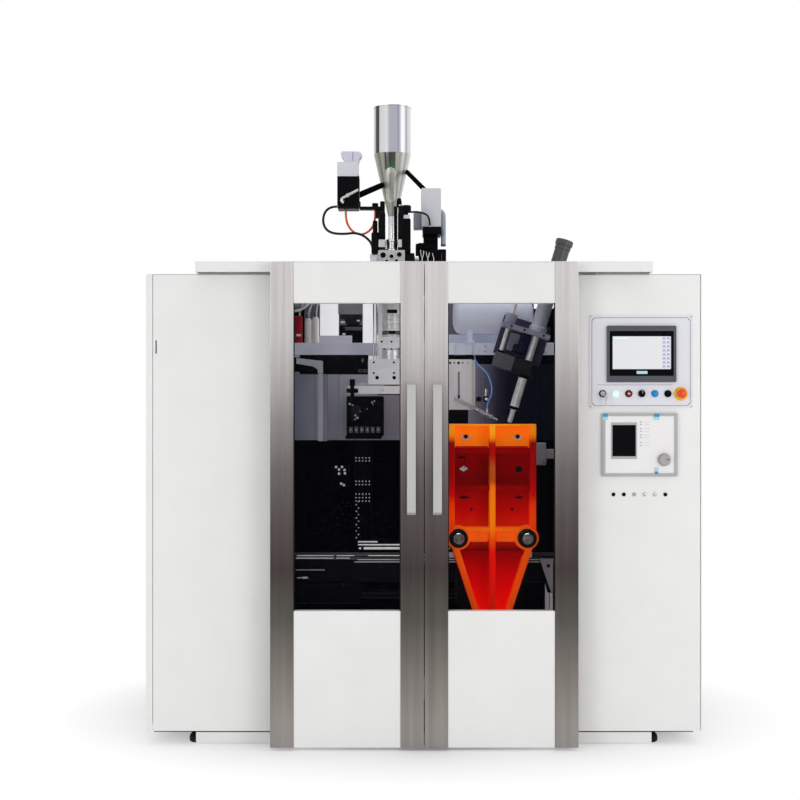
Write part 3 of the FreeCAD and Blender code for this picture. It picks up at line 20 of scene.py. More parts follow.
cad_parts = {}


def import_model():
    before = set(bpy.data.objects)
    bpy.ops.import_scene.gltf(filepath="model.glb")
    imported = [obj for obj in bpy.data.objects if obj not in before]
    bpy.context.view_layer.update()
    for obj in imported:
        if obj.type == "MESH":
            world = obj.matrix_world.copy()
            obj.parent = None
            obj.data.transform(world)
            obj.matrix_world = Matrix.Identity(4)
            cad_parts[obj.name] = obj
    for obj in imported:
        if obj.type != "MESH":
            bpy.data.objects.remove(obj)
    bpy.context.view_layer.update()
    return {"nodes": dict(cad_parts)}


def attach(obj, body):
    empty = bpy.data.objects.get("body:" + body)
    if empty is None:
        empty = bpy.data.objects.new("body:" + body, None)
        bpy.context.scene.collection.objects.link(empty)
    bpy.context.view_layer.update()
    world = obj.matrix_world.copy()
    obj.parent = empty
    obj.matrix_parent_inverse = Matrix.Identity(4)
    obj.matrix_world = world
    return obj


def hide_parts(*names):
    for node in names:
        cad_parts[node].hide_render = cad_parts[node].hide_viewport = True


log = logging.getLogger("blow_moulding_machine")

MM = 0.001

# Places that several sub-assemblies share, in millimetres
EXTRUDER_X = -138.0
HOPPER_Y = 350.0
HEAD_Y = -360.0
PLATFORM_TOP = 1721.0
PLATFORM_LOW = 1665.0
PLATFORM_FRONT = -250.0
BAY_FLOOR = 1269.0

Span = tuple[float, float]
Point = tuple[float, float, float]
Colour = tuple[float, float, float]
Outline = list[tuple[float, float]]


class Axis(Enum):
    """Directions that round pieces run along."""

    RIGHT = (1.0, 0.0, 0.0)
    FRONT = (0.0, -1.0, 0.0)
    BACK = (0.0, 1.0, 0.0)
    UP = (0.0, 0.0, 1.0)

    def turn(self) -> Matrix:
        """The rotation that takes +Z to this direction."""
        return Vector(self.value).to_track_quat("Z", "Y").to_matrix().to_4x4()


# Node trees and finishes

# How much of the mottling's range full contrast takes away, the darker shade where a finish names
# none, and the least roughness
WIDEST_MIX = 0.42
DARKER = 0.9
SMOOTHEST = 0.02
# Height of the fine relief in metres
RELIEF_DEPTH = 0.0012
# The mix node's colour sockets, and the marks that a new ramp already has
MIX_FIRST, MIX_SECOND, MIX_RESULT = 6, 7, 2
READY_MARKS = 2


class NodeKit:
    """Short calls that add and join the nodes of a tree."""

    def __init__(self, tree: bpy.types.NodeTree) -> None:
        """A kit for one tree."""
        self.tree = tree

    def give(self, node: bpy.types.Node, values: dict[str | int, object]) -> None:
        """Set a node's inputs, each to a plain value or to a link from another node's socket.

        Args:
            node: The node.
            values: Each input's key with its value or link.
        """
        for key, value in values.items():
            if isinstance(value, bpy.types.NodeSocket):
                self.tree.links.new(value, node.inputs[key])
            else:
                node.inputs[key].default_value = value

    def add(self, kind: str, values: dict[str | int, object] | None = None,
            **settings: object) -> bpy.types.Node:
        """Add a node with its settings and its inputs.

        Args:
            kind: The node's type.
            values: Plain values or links for its inputs.
            settings: Its own settings, such as an operation.

        Returns:
            The new node.
        """
        node = self.tree.nodes.new(kind)
        for key, setting in settings.items():
            setattr(node, key, setting)
        self.give(node, values or {})
        return node

    def ramp(self, stops: Sequence[tuple[float, Colour]],
             share: bpy.types.NodeSocket) -> bpy.types.NodeSocket:
        """Colours along a share from 0 to 1.

        Args:
            stops: Each colour after the share where it stands.
            share: The link that drives it.

        Returns:
            The socket of the ramp's colour.
        """
        node = self.add("ShaderNodeValToRGB", {"Fac": share})
        marks = node.color_ramp.elements
        for number, (at, shade) in enumerate(stops):
            mark = marks[number] if number < READY_MARKS else marks.new(at)
            mark.position = at
            mark.color = (*shade, 1.0)
        return node.outputs["Color"]


@dataclass(frozen=True)
class Finish:
    """A surface finish: two shades mixed by stretched noise, with its sheen and fine relief; its emission and
    colour stops mostly hold painted light and shade.
    """

    name: str
    shade: Colour
    second: Colour | None = None
    roughness: float = 0.4
    metallic: float = 0.0
    grain: Point = (6.0, 6.0, 6.0)
    contrast: float = 0.5
    relief: float = 0.0
    relief_scale: float = 180.0
    rough_spread: float = 0.06
    coat: float = 0.0
    alpha: float = 1.0
    # Emission: the lit display, its header and soft keys and the green lens give light of their own; on every
    # other finish it is painted light that brightens parts left in shade
    glow_and_painted_light: float = 0.0
    shine: float = 0.5
    # Colour stops along a direction or round an axis: painted light, shade and reflections on the castings,
    # back wall, stiles, blow cylinder, bin and cone; on the sight window, green low down and near black above
    stops: tuple[tuple[float, Colour], ...] = ()
    along: Point = (0.0, 0.0, 1.0)
    around: tuple[float, float] | None = None

    def build(self) -> bpy.types.Material:
        """Make the material.

        Returns:
            The Blender material, made once for each finish.
        """
        name = "finish_" + self.name
        known = bpy.data.materials.get(name)
        if known is not None:
            return known
        material = bpy.data.materials.new(name)
        material.use_nodes = True
        kit = NodeKit(material.node_tree)
        place = kit.add("ShaderNodeTexCoord").outputs["Object"]
        stretch = kit.add("ShaderNodeMapping", {"Scale": self.grain, "Vector": place})
        clouds = kit.add("ShaderNodeTexNoise",
                         {"Scale": 1.0, "Detail": 5.0, "Vector": stretch.outputs["Vector"]}).outputs["Fac"]
        half = 0.5 - WIDEST_MIX * self.contrast
        second = self.second or tuple(DARKER * part for part in self.shade)
        colour = kit.ramp([(0.5 - half, second), (0.5 + half, self.shade)], clouds)
        if self.stops:
            colour = self._fade(kit, place, colour)
        sheen = kit.add("ShaderNodeMapRange", {
            "To Min": max(SMOOTHEST, self.roughness - self.rough_spread),
            "To Max": self.roughness + self.rough_spread,
            "Value": clouds,
        })
        surface = {
            "Base Color": colour, "Roughness": sheen.outputs["Result"], "Metallic": self.metallic,
            "Specular IOR Level": self.shine, "Coat Weight": self.coat, "Alpha": self.alpha,
        }
        if self.relief:
            surface["Normal"] = self._skin(kit, place)
        # Emission: real light from lit screens and lenses, painted light everywhere else
        if self.glow_and_painted_light:
            surface |= {"Emission Color": colour, "Emission Strength": self.glow_and_painted_light}
        kit.give(material.node_tree.nodes["Principled BSDF"], surface)
        return material

    def _fade(self, kit: NodeKit, place: bpy.types.NodeSocket,
              clouds: bpy.types.NodeSocket) -> bpy.types.NodeSocket:
        """Colour by the stops, along a direction in millimetres or round an axis in turns, which on most
        finishes paints light, shade and reflections.

        Args:
            kit: The material's nodes.
            place: Its coordinates.
            clouds: The mottled colour that the stops are multiplied by.

        Returns:
            The socket that holds the faded colour.
        """
        first, last = self.stops[0][0], self.stops[-1][0]
        if self.around is None:
            measure = kit.add("ShaderNodeVectorMath", {0: place, 1: self.along}, operation="DOT_PRODUCT")
            share = kit.add("ShaderNodeMapRange", {
                "From Min": first * MM, "From Max": last * MM, "Value": measure.outputs["Value"],
            }).outputs["Result"]
        else:
            across, deep = self.around
            middle = kit.add("ShaderNodeMapping",
                             {"Location": (-across * MM, -deep * MM, 0), "Vector": place})
            share = kit.add("ShaderNodeTexGradient", {"Vector": middle.outputs["Vector"]},
                            gradient_type="RADIAL").outputs["Fac"]
        faded = kit.ramp([((at - first) / (last - first), shade) for at, shade in self.stops], share)
        mix = kit.add("ShaderNodeMix", {"Factor": 1.0, MIX_FIRST: faded, MIX_SECOND: clouds},
                      data_type="RGBA", blend_type="MULTIPLY")
        return mix.outputs[MIX_RESULT]

    def _skin(self, kit: NodeKit, place: bpy.types.NodeSocket) -> bpy.types.NodeSocket:
        """The finish's fine relief, such as orange peel or casting skin, as a normal.

        Args:
            place: The link with the position on the machine.

        Returns:
            The socket of the normal.
        """
        skin = kit.add("ShaderNodeTexNoise", {"Scale": self.relief_scale, "Detail": 3.0, "Vector": place})
        bump = kit.add("ShaderNodeBump", {
            "Strength": self.relief, "Distance": RELIEF_DEPTH, "Height": skin.outputs["Fac"],
        })
        return bump.outputs["Normal"]


# The finishes of the machine, named for what wears them


def cast_orange(name: str, shine: float, *stops: tuple[float, Colour]) -> Finish:
    """The orange paint over cast skin, with painted light and shade up the machine's height and emission as
    painted light.
    """
    return Finish(name, (1.0, 1.0, 1.0), (0.84, 0.78, 0.72), 0.34, grain=(9, 9, 5), contrast=0.6,
                  relief=0.35, relief_scale=70.0, glow_and_painted_light=0.26, shine=shine, stops=stops)


WHITE = Finish("white_powder_coat", (0.83, 0.83, 0.815), (0.79, 0.79, 0.775), 0.38, relief=0.05)
# Painted light: emission brightens the white columns in the machine's shade
COLUMN = Finish("white_column_paint", (0.9, 0.89, 0.92), (0.84, 0.83, 0.86), 0.42, relief=0.05, glow_and_painted_light=0.58)
# Painted light: emission brightens the grey beams
BEAM = Finish("grey_beam_paint", (0.66, 0.65, 0.76), (0.38, 0.42, 0.52), 0.4, grain=(4, 4, 4), glow_and_painted_light=0.18,
              shine=0.3)
# Painted light: emission brightens the lip
LIP = Finish("lavender_lip", (0.68, 0.66, 0.78), (0.62, 0.6, 0.72), 0.4, glow_and_painted_light=0.14, shine=0.3)
# The back wall runs along X from dark at the left end through pale grey to near black right of X 390: painted
# light and shade inside the machine, with emission as painted light
WALL = Finish(
    "galvanised_wall_painted_light_and_shade", (1.0, 1.0, 1.0), (0.62, 0.63, 0.66), 0.5, 0.1, (5, 5, 1.6), glow_and_painted_light=0.1, shine=0.1,
    stops=((-1054, (0.1, 0.11, 0.16)), (-660, (0.2, 0.22, 0.3)), (-520, (0.36, 0.38, 0.45)),
           (-380, (0.42, 0.43, 0.49)), (90, (0.34, 0.34, 0.42)), (250, (0.32, 0.33, 0.42)),
           (330, (0.17, 0.17, 0.24)), (390, (0.035, 0.037, 0.065)), (450, (0.006, 0.007, 0.02)),
           (1054, (0.004, 0.004, 0.01))),
    along=(1.0, 0.0, 0.0),
)
# Painted shade: near black with no sheen, for the inner trays and the frame inside the machine
DARK = Finish("near_black_painted_shade", (0.002, 0.002, 0.003), (0.001, 0.001, 0.002), 0.7, shine=0.0)
# The stiles' brushed grain is real; their colour, darkest near Z 750 and lightest at the top, is a painted
# reflection
STILE = Finish(
    "brushed_stile_painted_reflection", (1.0, 1.0, 1.0), (0.72, 0.71, 0.72), 0.36, 0.8, (34, 34, 0.9), 0.55,
    0.12, 900.0, shine=0.2,
    stops=((0, (0.34, 0.32, 0.3)), (127, (0.32, 0.295, 0.27)), (332, (0.22, 0.195, 0.175)),
           (538, (0.105, 0.1, 0.088)), (744, (0.062, 0.05, 0.046)), (950, (0.098, 0.082, 0.08)),
           (1155, (0.155, 0.135, 0.135)), (1361, (0.27, 0.25, 0.245)), (1464, (0.37, 0.345, 0.335)),
           (1567, (0.46, 0.435, 0.425)), (1670, (0.54, 0.52, 0.51)), (1773, (0.6, 0.58, 0.565)),
           (2010, (0.64, 0.62, 0.61))),
)
# Painted light: emission brightens the guard sheets
GUARD = Finish("guard_sheet", (0.2, 0.2, 0.26), (0.13, 0.13, 0.18), 0.5, grain=(3, 3, 3), glow_and_painted_light=0.05,
               shine=0.1)
LAVENDER = Finish("lavender_plate", (0.74, 0.74, 0.79), (0.71, 0.71, 0.76), 0.36, relief=0.04)
ENGRAVED = Finish("engraved_line", (0.2, 0.2, 0.24), (0.16, 0.16, 0.2), 0.5, shine=0.2)
BEZEL = Finish("screen_bezel_grey", (0.085, 0.088, 0.105), (0.06, 0.06, 0.075), 0.4, relief=0.1, shine=0.25)
GLASS_BLACK = Finish("black_screen_glass", (0.002, 0.002, 0.004), (0.001, 0.001, 0.002), 0.12, shine=0.05)
DISPLAY = Finish("lit_display", (0.74, 0.74, 0.75), (0.72, 0.73, 0.74), 0.5, glow_and_painted_light=0.1, shine=0.1)
MINT = Finish("mint_header", (0.62, 0.8, 0.7), (0.58, 0.78, 0.68), 0.5, glow_and_painted_light=0.3)
KEYS = Finish("lavender_soft_keys", (0.55, 0.54, 0.72), (0.5, 0.49, 0.68), 0.5, glow_and_painted_light=0.2)
KEY_MARK = Finish("soft_key_mark", (0.22, 0.22, 0.36), (0.18, 0.18, 0.32), 0.5)
BADGE = Finish("pale_blue_plate", (0.45, 0.72, 0.8), (0.4, 0.66, 0.75), 0.4)
CASE = Finish("programmer_grey", (0.42, 0.42, 0.43), (0.37, 0.37, 0.38), 0.4, relief=0.08)
FACE = Finish("programmer_face", (0.84, 0.83, 0.82), (0.81, 0.8, 0.79), 0.42)
KNOB = Finish("grey_knob", (0.4, 0.385, 0.39), (0.34, 0.33, 0.34), 0.45, relief=0.1)
TAPE = Finish("blue_tape", (0.02, 0.26, 0.42), (0.015, 0.21, 0.36), 0.35)
PALE_TAPE = Finish("pale_tape", (0.38, 0.68, 0.78), (0.34, 0.62, 0.72), 0.4)
PANE = Finish("clear_pane", (0.03, 0.035, 0.05), (0.02, 0.025, 0.04), 0.06, alpha=0.02, grain=(2, 2, 1),
              shine=0.3)
RUBBER = Finish("black_rubber", (0.008, 0.008, 0.009), (0.004, 0.004, 0.005), 0.65, relief=0.2, shine=0.15)
STAY = Finish("matt_black_stay", (0.004, 0.004, 0.005), (0.002, 0.002, 0.003), 0.95, shine=0.0)
BLACK = Finish("black_plastic", (0.003, 0.003, 0.004), (0.002, 0.002, 0.003), 0.42, relief=0.1, shine=0.04)
OXIDE = Finish("black_oxide", (0.006, 0.006, 0.007), (0.003, 0.003, 0.004), 0.36, 0.1, relief=0.15,
               shine=0.06)
# Painted light: emission brightens the graphite blocks
GRAPHITE = Finish("graphite_block", (0.11, 0.11, 0.125), (0.06, 0.06, 0.07), 0.45, 0.2, relief=0.15,
                  glow_and_painted_light=0.14, shine=0.2)
NAVY = Finish("navy_block", (0.006, 0.007, 0.045), (0.003, 0.004, 0.025), 0.4, shine=0.1)
MOTOR = Finish("dark_motor_paint", (0.02, 0.021, 0.026), (0.012, 0.013, 0.017), 0.42, relief=0.15, shine=0.08)
SILVER = Finish("bright_steel", (0.6, 0.6, 0.62), (0.34, 0.34, 0.36), 0.24, 1.0, (60, 60, 60))
CHROME = Finish("hard_chrome", (0.62, 0.62, 0.64), (0.46, 0.46, 0.48), 0.16, 1.0, (9, 9, 9))
PLAIN_STEEL = Finish("ground_steel", (0.58, 0.575, 0.57), (0.4, 0.395, 0.39), 0.33, 0.85, (14, 14, 50))
MACHINED = Finish("machined_block", (0.5, 0.495, 0.51), (0.4, 0.4, 0.42), 0.42, 0.3, (12, 12, 40))
# Painted light: emission brightens the die
DIE = Finish("ground_die", (0.54, 0.535, 0.56), (0.46, 0.46, 0.48), 0.42, 0.2, (12, 12, 40), glow_and_painted_light=0.22)
# Painted light: emission brightens the stem
STEM = Finish("bright_stem", (0.66, 0.655, 0.66), (0.4, 0.395, 0.4), 0.34, 0.5, (20, 20, 20), glow_and_painted_light=0.16)
BAR_END = Finish("turned_bar_end", (0.24, 0.23, 0.22), (0.03, 0.028, 0.027), 0.4, 0.3, (55, 55, 55),
                 shine=0.2)
# Painted light: emission brightens the guide rods
GUIDE = Finish("ground_guide_rod", (0.8, 0.8, 0.8), (0.6, 0.6, 0.6), 0.42, 0.5, (14, 14, 50), glow_and_painted_light=0.06)
# Painted light: emission brightens the pin
PIN = Finish("ground_pin", (0.78, 0.77, 0.78), (0.5, 0.5, 0.51), 0.36, 0.25, (30, 30, 30), glow_and_painted_light=0.14)
# Painted glints: small bright metal with strong emission, for tiny highlights on heads and bars in the dark
GLINT = Finish("small_metal_painted_glint", (0.85, 0.84, 0.86), (0.55, 0.54, 0.56), 0.3, 0.2, (40, 40, 40), glow_and_painted_light=0.5)
# Painted light: emission brightens the post
POST = Finish("hazy_post", (0.5, 0.51, 0.56), (0.4, 0.41, 0.47), 0.45, grain=(12, 12, 3), glow_and_painted_light=0.1, shine=0.2)
RAIL = Finish("shaded_rail", (0.1, 0.1, 0.105), (0.04, 0.04, 0.045), 0.35, 0.8, (4, 4, 40), shine=0.1)
ALLOY = Finish("cast_alloy", (0.55, 0.54, 0.54), (0.38, 0.375, 0.37), 0.42, 0.6, (16, 16, 16), relief=0.2)
MOULD = Finish("mould_alloy", (0.5, 0.56, 0.62), (0.38, 0.44, 0.5), 0.34, 0.8, (26, 3, 26))
PALE = Finish("pale_grey_cover", (0.66, 0.67, 0.71), (0.61, 0.62, 0.66), 0.4, relief=0.05)
BLUE_GREY = Finish("blue_grey_sheet", (0.4, 0.45, 0.52), (0.32, 0.36, 0.43), 0.4, relief=0.05, shine=0.3)
LID = Finish("lavender_lid", (0.62, 0.62, 0.74), (0.56, 0.56, 0.68), 0.4, relief=0.06)
# Painted light: emission brightens the air tank
TANK = Finish("tank_paint", (0.62, 0.65, 0.76), (0.48, 0.5, 0.61), 0.38, relief=0.05, glow_and_painted_light=0.18, shine=0.4)
# Painted light: emission brightens the brackets
BRACKET = Finish("pale_bracket", (0.74, 0.72, 0.73), (0.6, 0.58, 0.6), 0.42, 0.1, (16, 16, 3), glow_and_painted_light=0.06,
                 shine=0.3)
HAZE = Finish("hazy_plate", (0.36, 0.36, 0.45), (0.25, 0.25, 0.33), 0.42, 0.1, (9, 9, 9), shine=0.2)
SHADE = Finish("shaded_plate", (0.065, 0.065, 0.11), (0.035, 0.035, 0.07), 0.45, 0.1, (9, 9, 9), shine=0.15)
# Painted shade: pale grey low down, darkening to near black from Z 1985 up
TUBE = Finish(
    "leaning_cylinder_painted_shade", (1.0, 1.0, 1.0), (0.8, 0.8, 0.82), 0.38, 0.2, (12, 12, 4), shine=0.3,
    stops=((1760, (0.5, 0.51, 0.6)), (1900, (0.36, 0.37, 0.44)), (1985, (0.1, 0.1, 0.11)),
           (2200, (0.075, 0.075, 0.08))),
)
# Painted light: emission brightens the cream plastic
CREAM = Finish("cream_plastic", (0.8, 0.77, 0.76), (0.62, 0.6, 0.6), 0.45, grain=(16, 16, 16), glow_and_painted_light=0.08)
SCARLET = Finish("scarlet_paint", (0.62, 0.015, 0.03), (0.3, 0.003, 0.01), 0.4, grain=(30, 30, 30), shine=0.2)
# Painted light: emission brightens the shaded grey plates
GREY_PLATE = Finish("shaded_grey_plate", (0.25, 0.25, 0.265), (0.19, 0.19, 0.205), 0.5, glow_and_painted_light=0.14, shine=0.2)
HANDLE = Finish("handle_plastic", (0.5, 0.5, 0.485), (0.46, 0.46, 0.445), 0.42, relief=0.06)
MINT_LENS = Finish("lit_green_lens", (0.66, 0.93, 0.86), (0.58, 0.88, 0.8), 0.25, glow_and_painted_light=0.35, coat=0.4)
RED = Finish("red_button", (0.4, 0.012, 0.02), (0.28, 0.008, 0.01), 0.3, coat=0.2, shine=0.2)
MUSHROOM = Finish("stop_mushroom", (0.8, 0.07, 0.004), (0.66, 0.04, 0.003), 0.28, coat=0.2, shine=0.3)
YELLOW = Finish("yellow_ring", (0.88, 0.5, 0.02), (0.8, 0.4, 0.01), 0.35, coat=0.1, shine=0.3)
BLUE = Finish("blue_button", (0.01, 0.26, 0.62), (0.008, 0.2, 0.52), 0.28, coat=0.2, shine=0.3)
GREEN_WINDOW = Finish(
    "dark_sight_window", (1.0, 1.0, 1.0), (0.75, 0.75, 0.75), 0.15, coat=0.5,
    stops=((2610, (0.0, 0.12, 0.015)), (2640, (0.0, 0.05, 0.01)), (2665, (0.006, 0.008, 0.006)),
           (2700, (0.004, 0.004, 0.004))),
)
# Painted reflections: bright and dark bands round the bin's axis, one of them red
BIN = Finish(
    "polished_bin_painted_reflections", (1.0, 1.0, 1.0), (0.84, 0.84, 0.86), 0.22, 0.35, (30, 30, 0.6), coat=0.3,
    around=(EXTRUDER_X, HOPPER_Y),
    stops=((0.0, (0.5, 0.5, 0.48)), (0.07, (0.56, 0.56, 0.54)), (0.08, (0.01, 0.008, 0.01)),
           (0.117, (0.01, 0.006, 0.008)), (0.123, (0.15, 0.01, 0.03)), (0.132, (0.72, 0.71, 0.71)),
           (0.165, (0.8, 0.8, 0.8)), (0.205, (0.78, 0.78, 0.79)), (0.222, (0.46, 0.46, 0.53)),
           (0.285, (0.44, 0.44, 0.52)), (0.305, (0.3, 0.3, 0.38)), (0.316, (0.52, 0.52, 0.6)),
           (0.335, (0.78, 0.78, 0.79)), (0.37, (0.74, 0.74, 0.75)), (0.385, (0.42, 0.42, 0.46)),
           (0.405, (0.8, 0.8, 0.81)), (0.5, (0.84, 0.84, 0.84)), (0.62, (0.45, 0.45, 0.48)),
           (0.75, (0.66, 0.66, 0.68)), (0.88, (0.4, 0.4, 0.43)), (1.0, (0.5, 0.5, 0.48))),
)
# Painted reflections: bright and dark bands round the cone's axis
CONE = Finish(
    "cone_steel_painted_reflections", (1.0, 1.0, 1.0), (0.8, 0.8, 0.8), 0.26, 0.35, (18, 18, 1.2), coat=0.2,
    around=(EXTRUDER_X, HOPPER_Y),
    stops=((0.0, (0.3, 0.3, 0.25)), (0.09, (0.3, 0.3, 0.24)), (0.125, (0.16, 0.16, 0.11)),
           (0.14, (0.42, 0.42, 0.36)), (0.18, (0.27, 0.27, 0.22)), (0.225, (0.3, 0.3, 0.26)),
           (0.3, (0.26, 0.26, 0.23)), (0.335, (0.4, 0.4, 0.37)), (0.36, (0.66, 0.66, 0.64)),
           (0.385, (0.38, 0.38, 0.34)), (0.42, (0.72, 0.72, 0.71)), (0.5, (0.8, 0.8, 0.79)),
           (0.75, (0.45, 0.45, 0.44)), (1.0, (0.3, 0.3, 0.25))),
)
SLOT_RIM = Finish("sight_slot_rim", (0.52, 0.52, 0.47), (0.42, 0.42, 0.37), 0.28, 0.4, (12, 12, 4))
SLOT = Finish("sight_slot_glass", (0.4, 0.4, 0.35), (0.3, 0.3, 0.26), 0.12, 0.1, (30, 30, 3), coat=0.6)
# The castings run from bright orange near the top to deep red lower down and under the ribs: painted light
# and shade over one orange paint
ORANGE = cast_orange(
    "orange_casting", 0.05,
    (420, (0.95, 0.085, 0.001)), (700, (0.9, 0.075, 0.001)), (850, (0.93, 0.11, 0.002)),
    (960, (0.95, 0.17, 0.003)), (1070, (0.9, 0.13, 0.004)), (1120, (0.62, 0.09, 0.006)),
    (1200, (0.55, 0.07, 0.01)), (1240, (0.5, 0.015, 0.002)), (1285, (0.6, 0.04, 0.003)),
    (1305, (0.98, 0.29, 0.008)), (1346, (1.0, 0.3, 0.01)),
)
RIB = cast_orange(
    "orange_middle_rib", 0.03,
    (420, (0.8, 0.02, 0.001)), (600, (0.76, 0.01, 0.001)), (690, (0.8, 0.003, 0.001)),
    (800, (0.84, 0.008, 0.001)), (849, (0.9, 0.08, 0.001)), (900, (0.93, 0.2, 0.001)),
    (1003, (0.92, 0.22, 0.001)), (1070, (0.91, 0.18, 0.004)), (1100, (0.46, 0.065, 0.002)),
    (1157, (0.44, 0.07, 0.01)), (1209, (0.38, 0.003, 0.001)), (1262, (0.4, 0.002, 0.001)),
    (1288, (0.95, 0.25, 0.002)), (1311, (1.0, 0.36, 0.006)), (1346, (1.0, 0.36, 0.01)),
)
EDGE = cast_orange(
    "orange_edge_rib", 0.03,
    (850, (0.93, 0.11, 0.002)), (900, (0.95, 0.06, 0.001)), (951, (0.95, 0.055, 0.001)),
    (1003, (0.84, 0.04, 0.001)), (1040, (0.6, 0.003, 0.001)), (1106, (0.4, 0.001, 0.001)),
    (1209, (0.32, 0.001, 0.001)), (1266, (0.3, 0.001, 0.001)), (1290, (0.9, 0.2, 0.002)),
    (1311, (1.0, 0.32, 0.008)), (1346, (1.0, 0.3, 0.01)),
)
# Painted light: the pockets are bright orange as if lit from above, and their emission is painted light too
POCKET = Finish(
    "orange_pocket", (1.0, 1.0, 1.0), (0.9, 0.84, 0.8), 0.36, grain=(8, 8, 4), contrast=0.5,
    relief=0.3, relief_scale=60.0, glow_and_painted_light=0.32, shine=0.05,
    stops=((1243, (0.95, 0.22, 0.002)), (1300, (0.96, 0.2, 0.001)), (1346, (0.9, 0.19, 0.002))),
)
# Painted shade: the recesses darken from orange to deep red and near black between the ribs; their emission
# is painted light
RECESS = Finish(
    "recess_painted_shade", (1.0, 1.0, 1.0), (0.8, 0.72, 0.72), 0.42, grain=(8, 8, 4), contrast=0.6,
    relief=0.4, relief_scale=60.0, glow_and_painted_light=0.26, shine=0.0,
    stops=((470, (0.95, 0.12, 0.003)), (530, (0.98, 0.01, 0.001)), (600, (0.88, 0.002, 0.001)),
           (780, (0.36, 0.001, 0.001)), (800, (0.22, 0.001, 0.001)), (880, (0.62, 0.025, 0.002)),
           (960, (0.52, 0.003, 0.001)), (1060, (0.3, 0.002, 0.001)), (1110, (0.2, 0.001, 0.001)),
           (1240, (0.27, 0.001, 0.001))),
)
BLACK_HOSE = Finish("black_hose", (0.005, 0.005, 0.006), (0.003, 0.003, 0.004), 0.38, relief=0.1, shine=0.2)
ORANGE_HOSE = Finish("orange_hose", (0.9, 0.15, 0.02), (0.72, 0.04, 0.01), 0.34, grain=(30, 30, 30),
                     shine=0.3)
# Painted light: emission brightens the blue hose
BLUE_HOSE = Finish("blue_hose", (0.22, 0.42, 0.9), (0.14, 0.3, 0.8), 0.3, grain=(20, 20, 20), coat=0.2,
                   glow_and_painted_light=0.05)


# Building meshes

# Edges sharper than this many degrees stay sharp, and no bevel takes more than this share of a side
SHARP_ANGLE = 38
BEVEL_SHARE = 0.3
# The most that a rod's chamfer takes of its radius and of its length
CHAMFER_OF_RADIUS = 0.4
CHAMFER_OF_LENGTH = 0.3
# A corner of a half section that is no farther out than this is a point on the axis
ON_AXIS = 1e-6


def add_object(name: str, data: bpy.types.ID) -> bpy.types.Object:
    """A new object in the scene.

    Args:
        name: Its name.
        data: The mesh, curve or light that it shows.

    Returns:
        The object, linked to the scene.
    """
    thing = bpy.data.objects.new(name, data)
    bpy.context.scene.collection.objects.link(thing)
    return thing


def evaluated(thing: bpy.types.Object) -> bpy.types.Mesh:
    """A plain mesh of an object as its curve settings or modifiers shape it."""
    graph = bpy.context.evaluated_depsgraph_get()
    return bpy.data.meshes.new_from_object(thing.evaluated_get(graph), depsgraph=graph)


def round_edges(part: bmesh.types.BMesh, width: float) -> None:
    """Round every edge of a solid in two steps."""
    bmesh.ops.bevel(part, geom=part.edges[:], offset=width, segments=2, profile=0.5,
                    affect="EDGES", clamp_overlap=True)


def rounded_step(radius: float, low: float, high: float, bevel: float) -> Outline:
    """The half section of a solid round with chamfered ends, as (radius, height)."""
    return [(0, low), (radius - bevel, low), (radius, low + bevel), (radius, high - bevel),
            (radius - bevel, high), (0, high)]


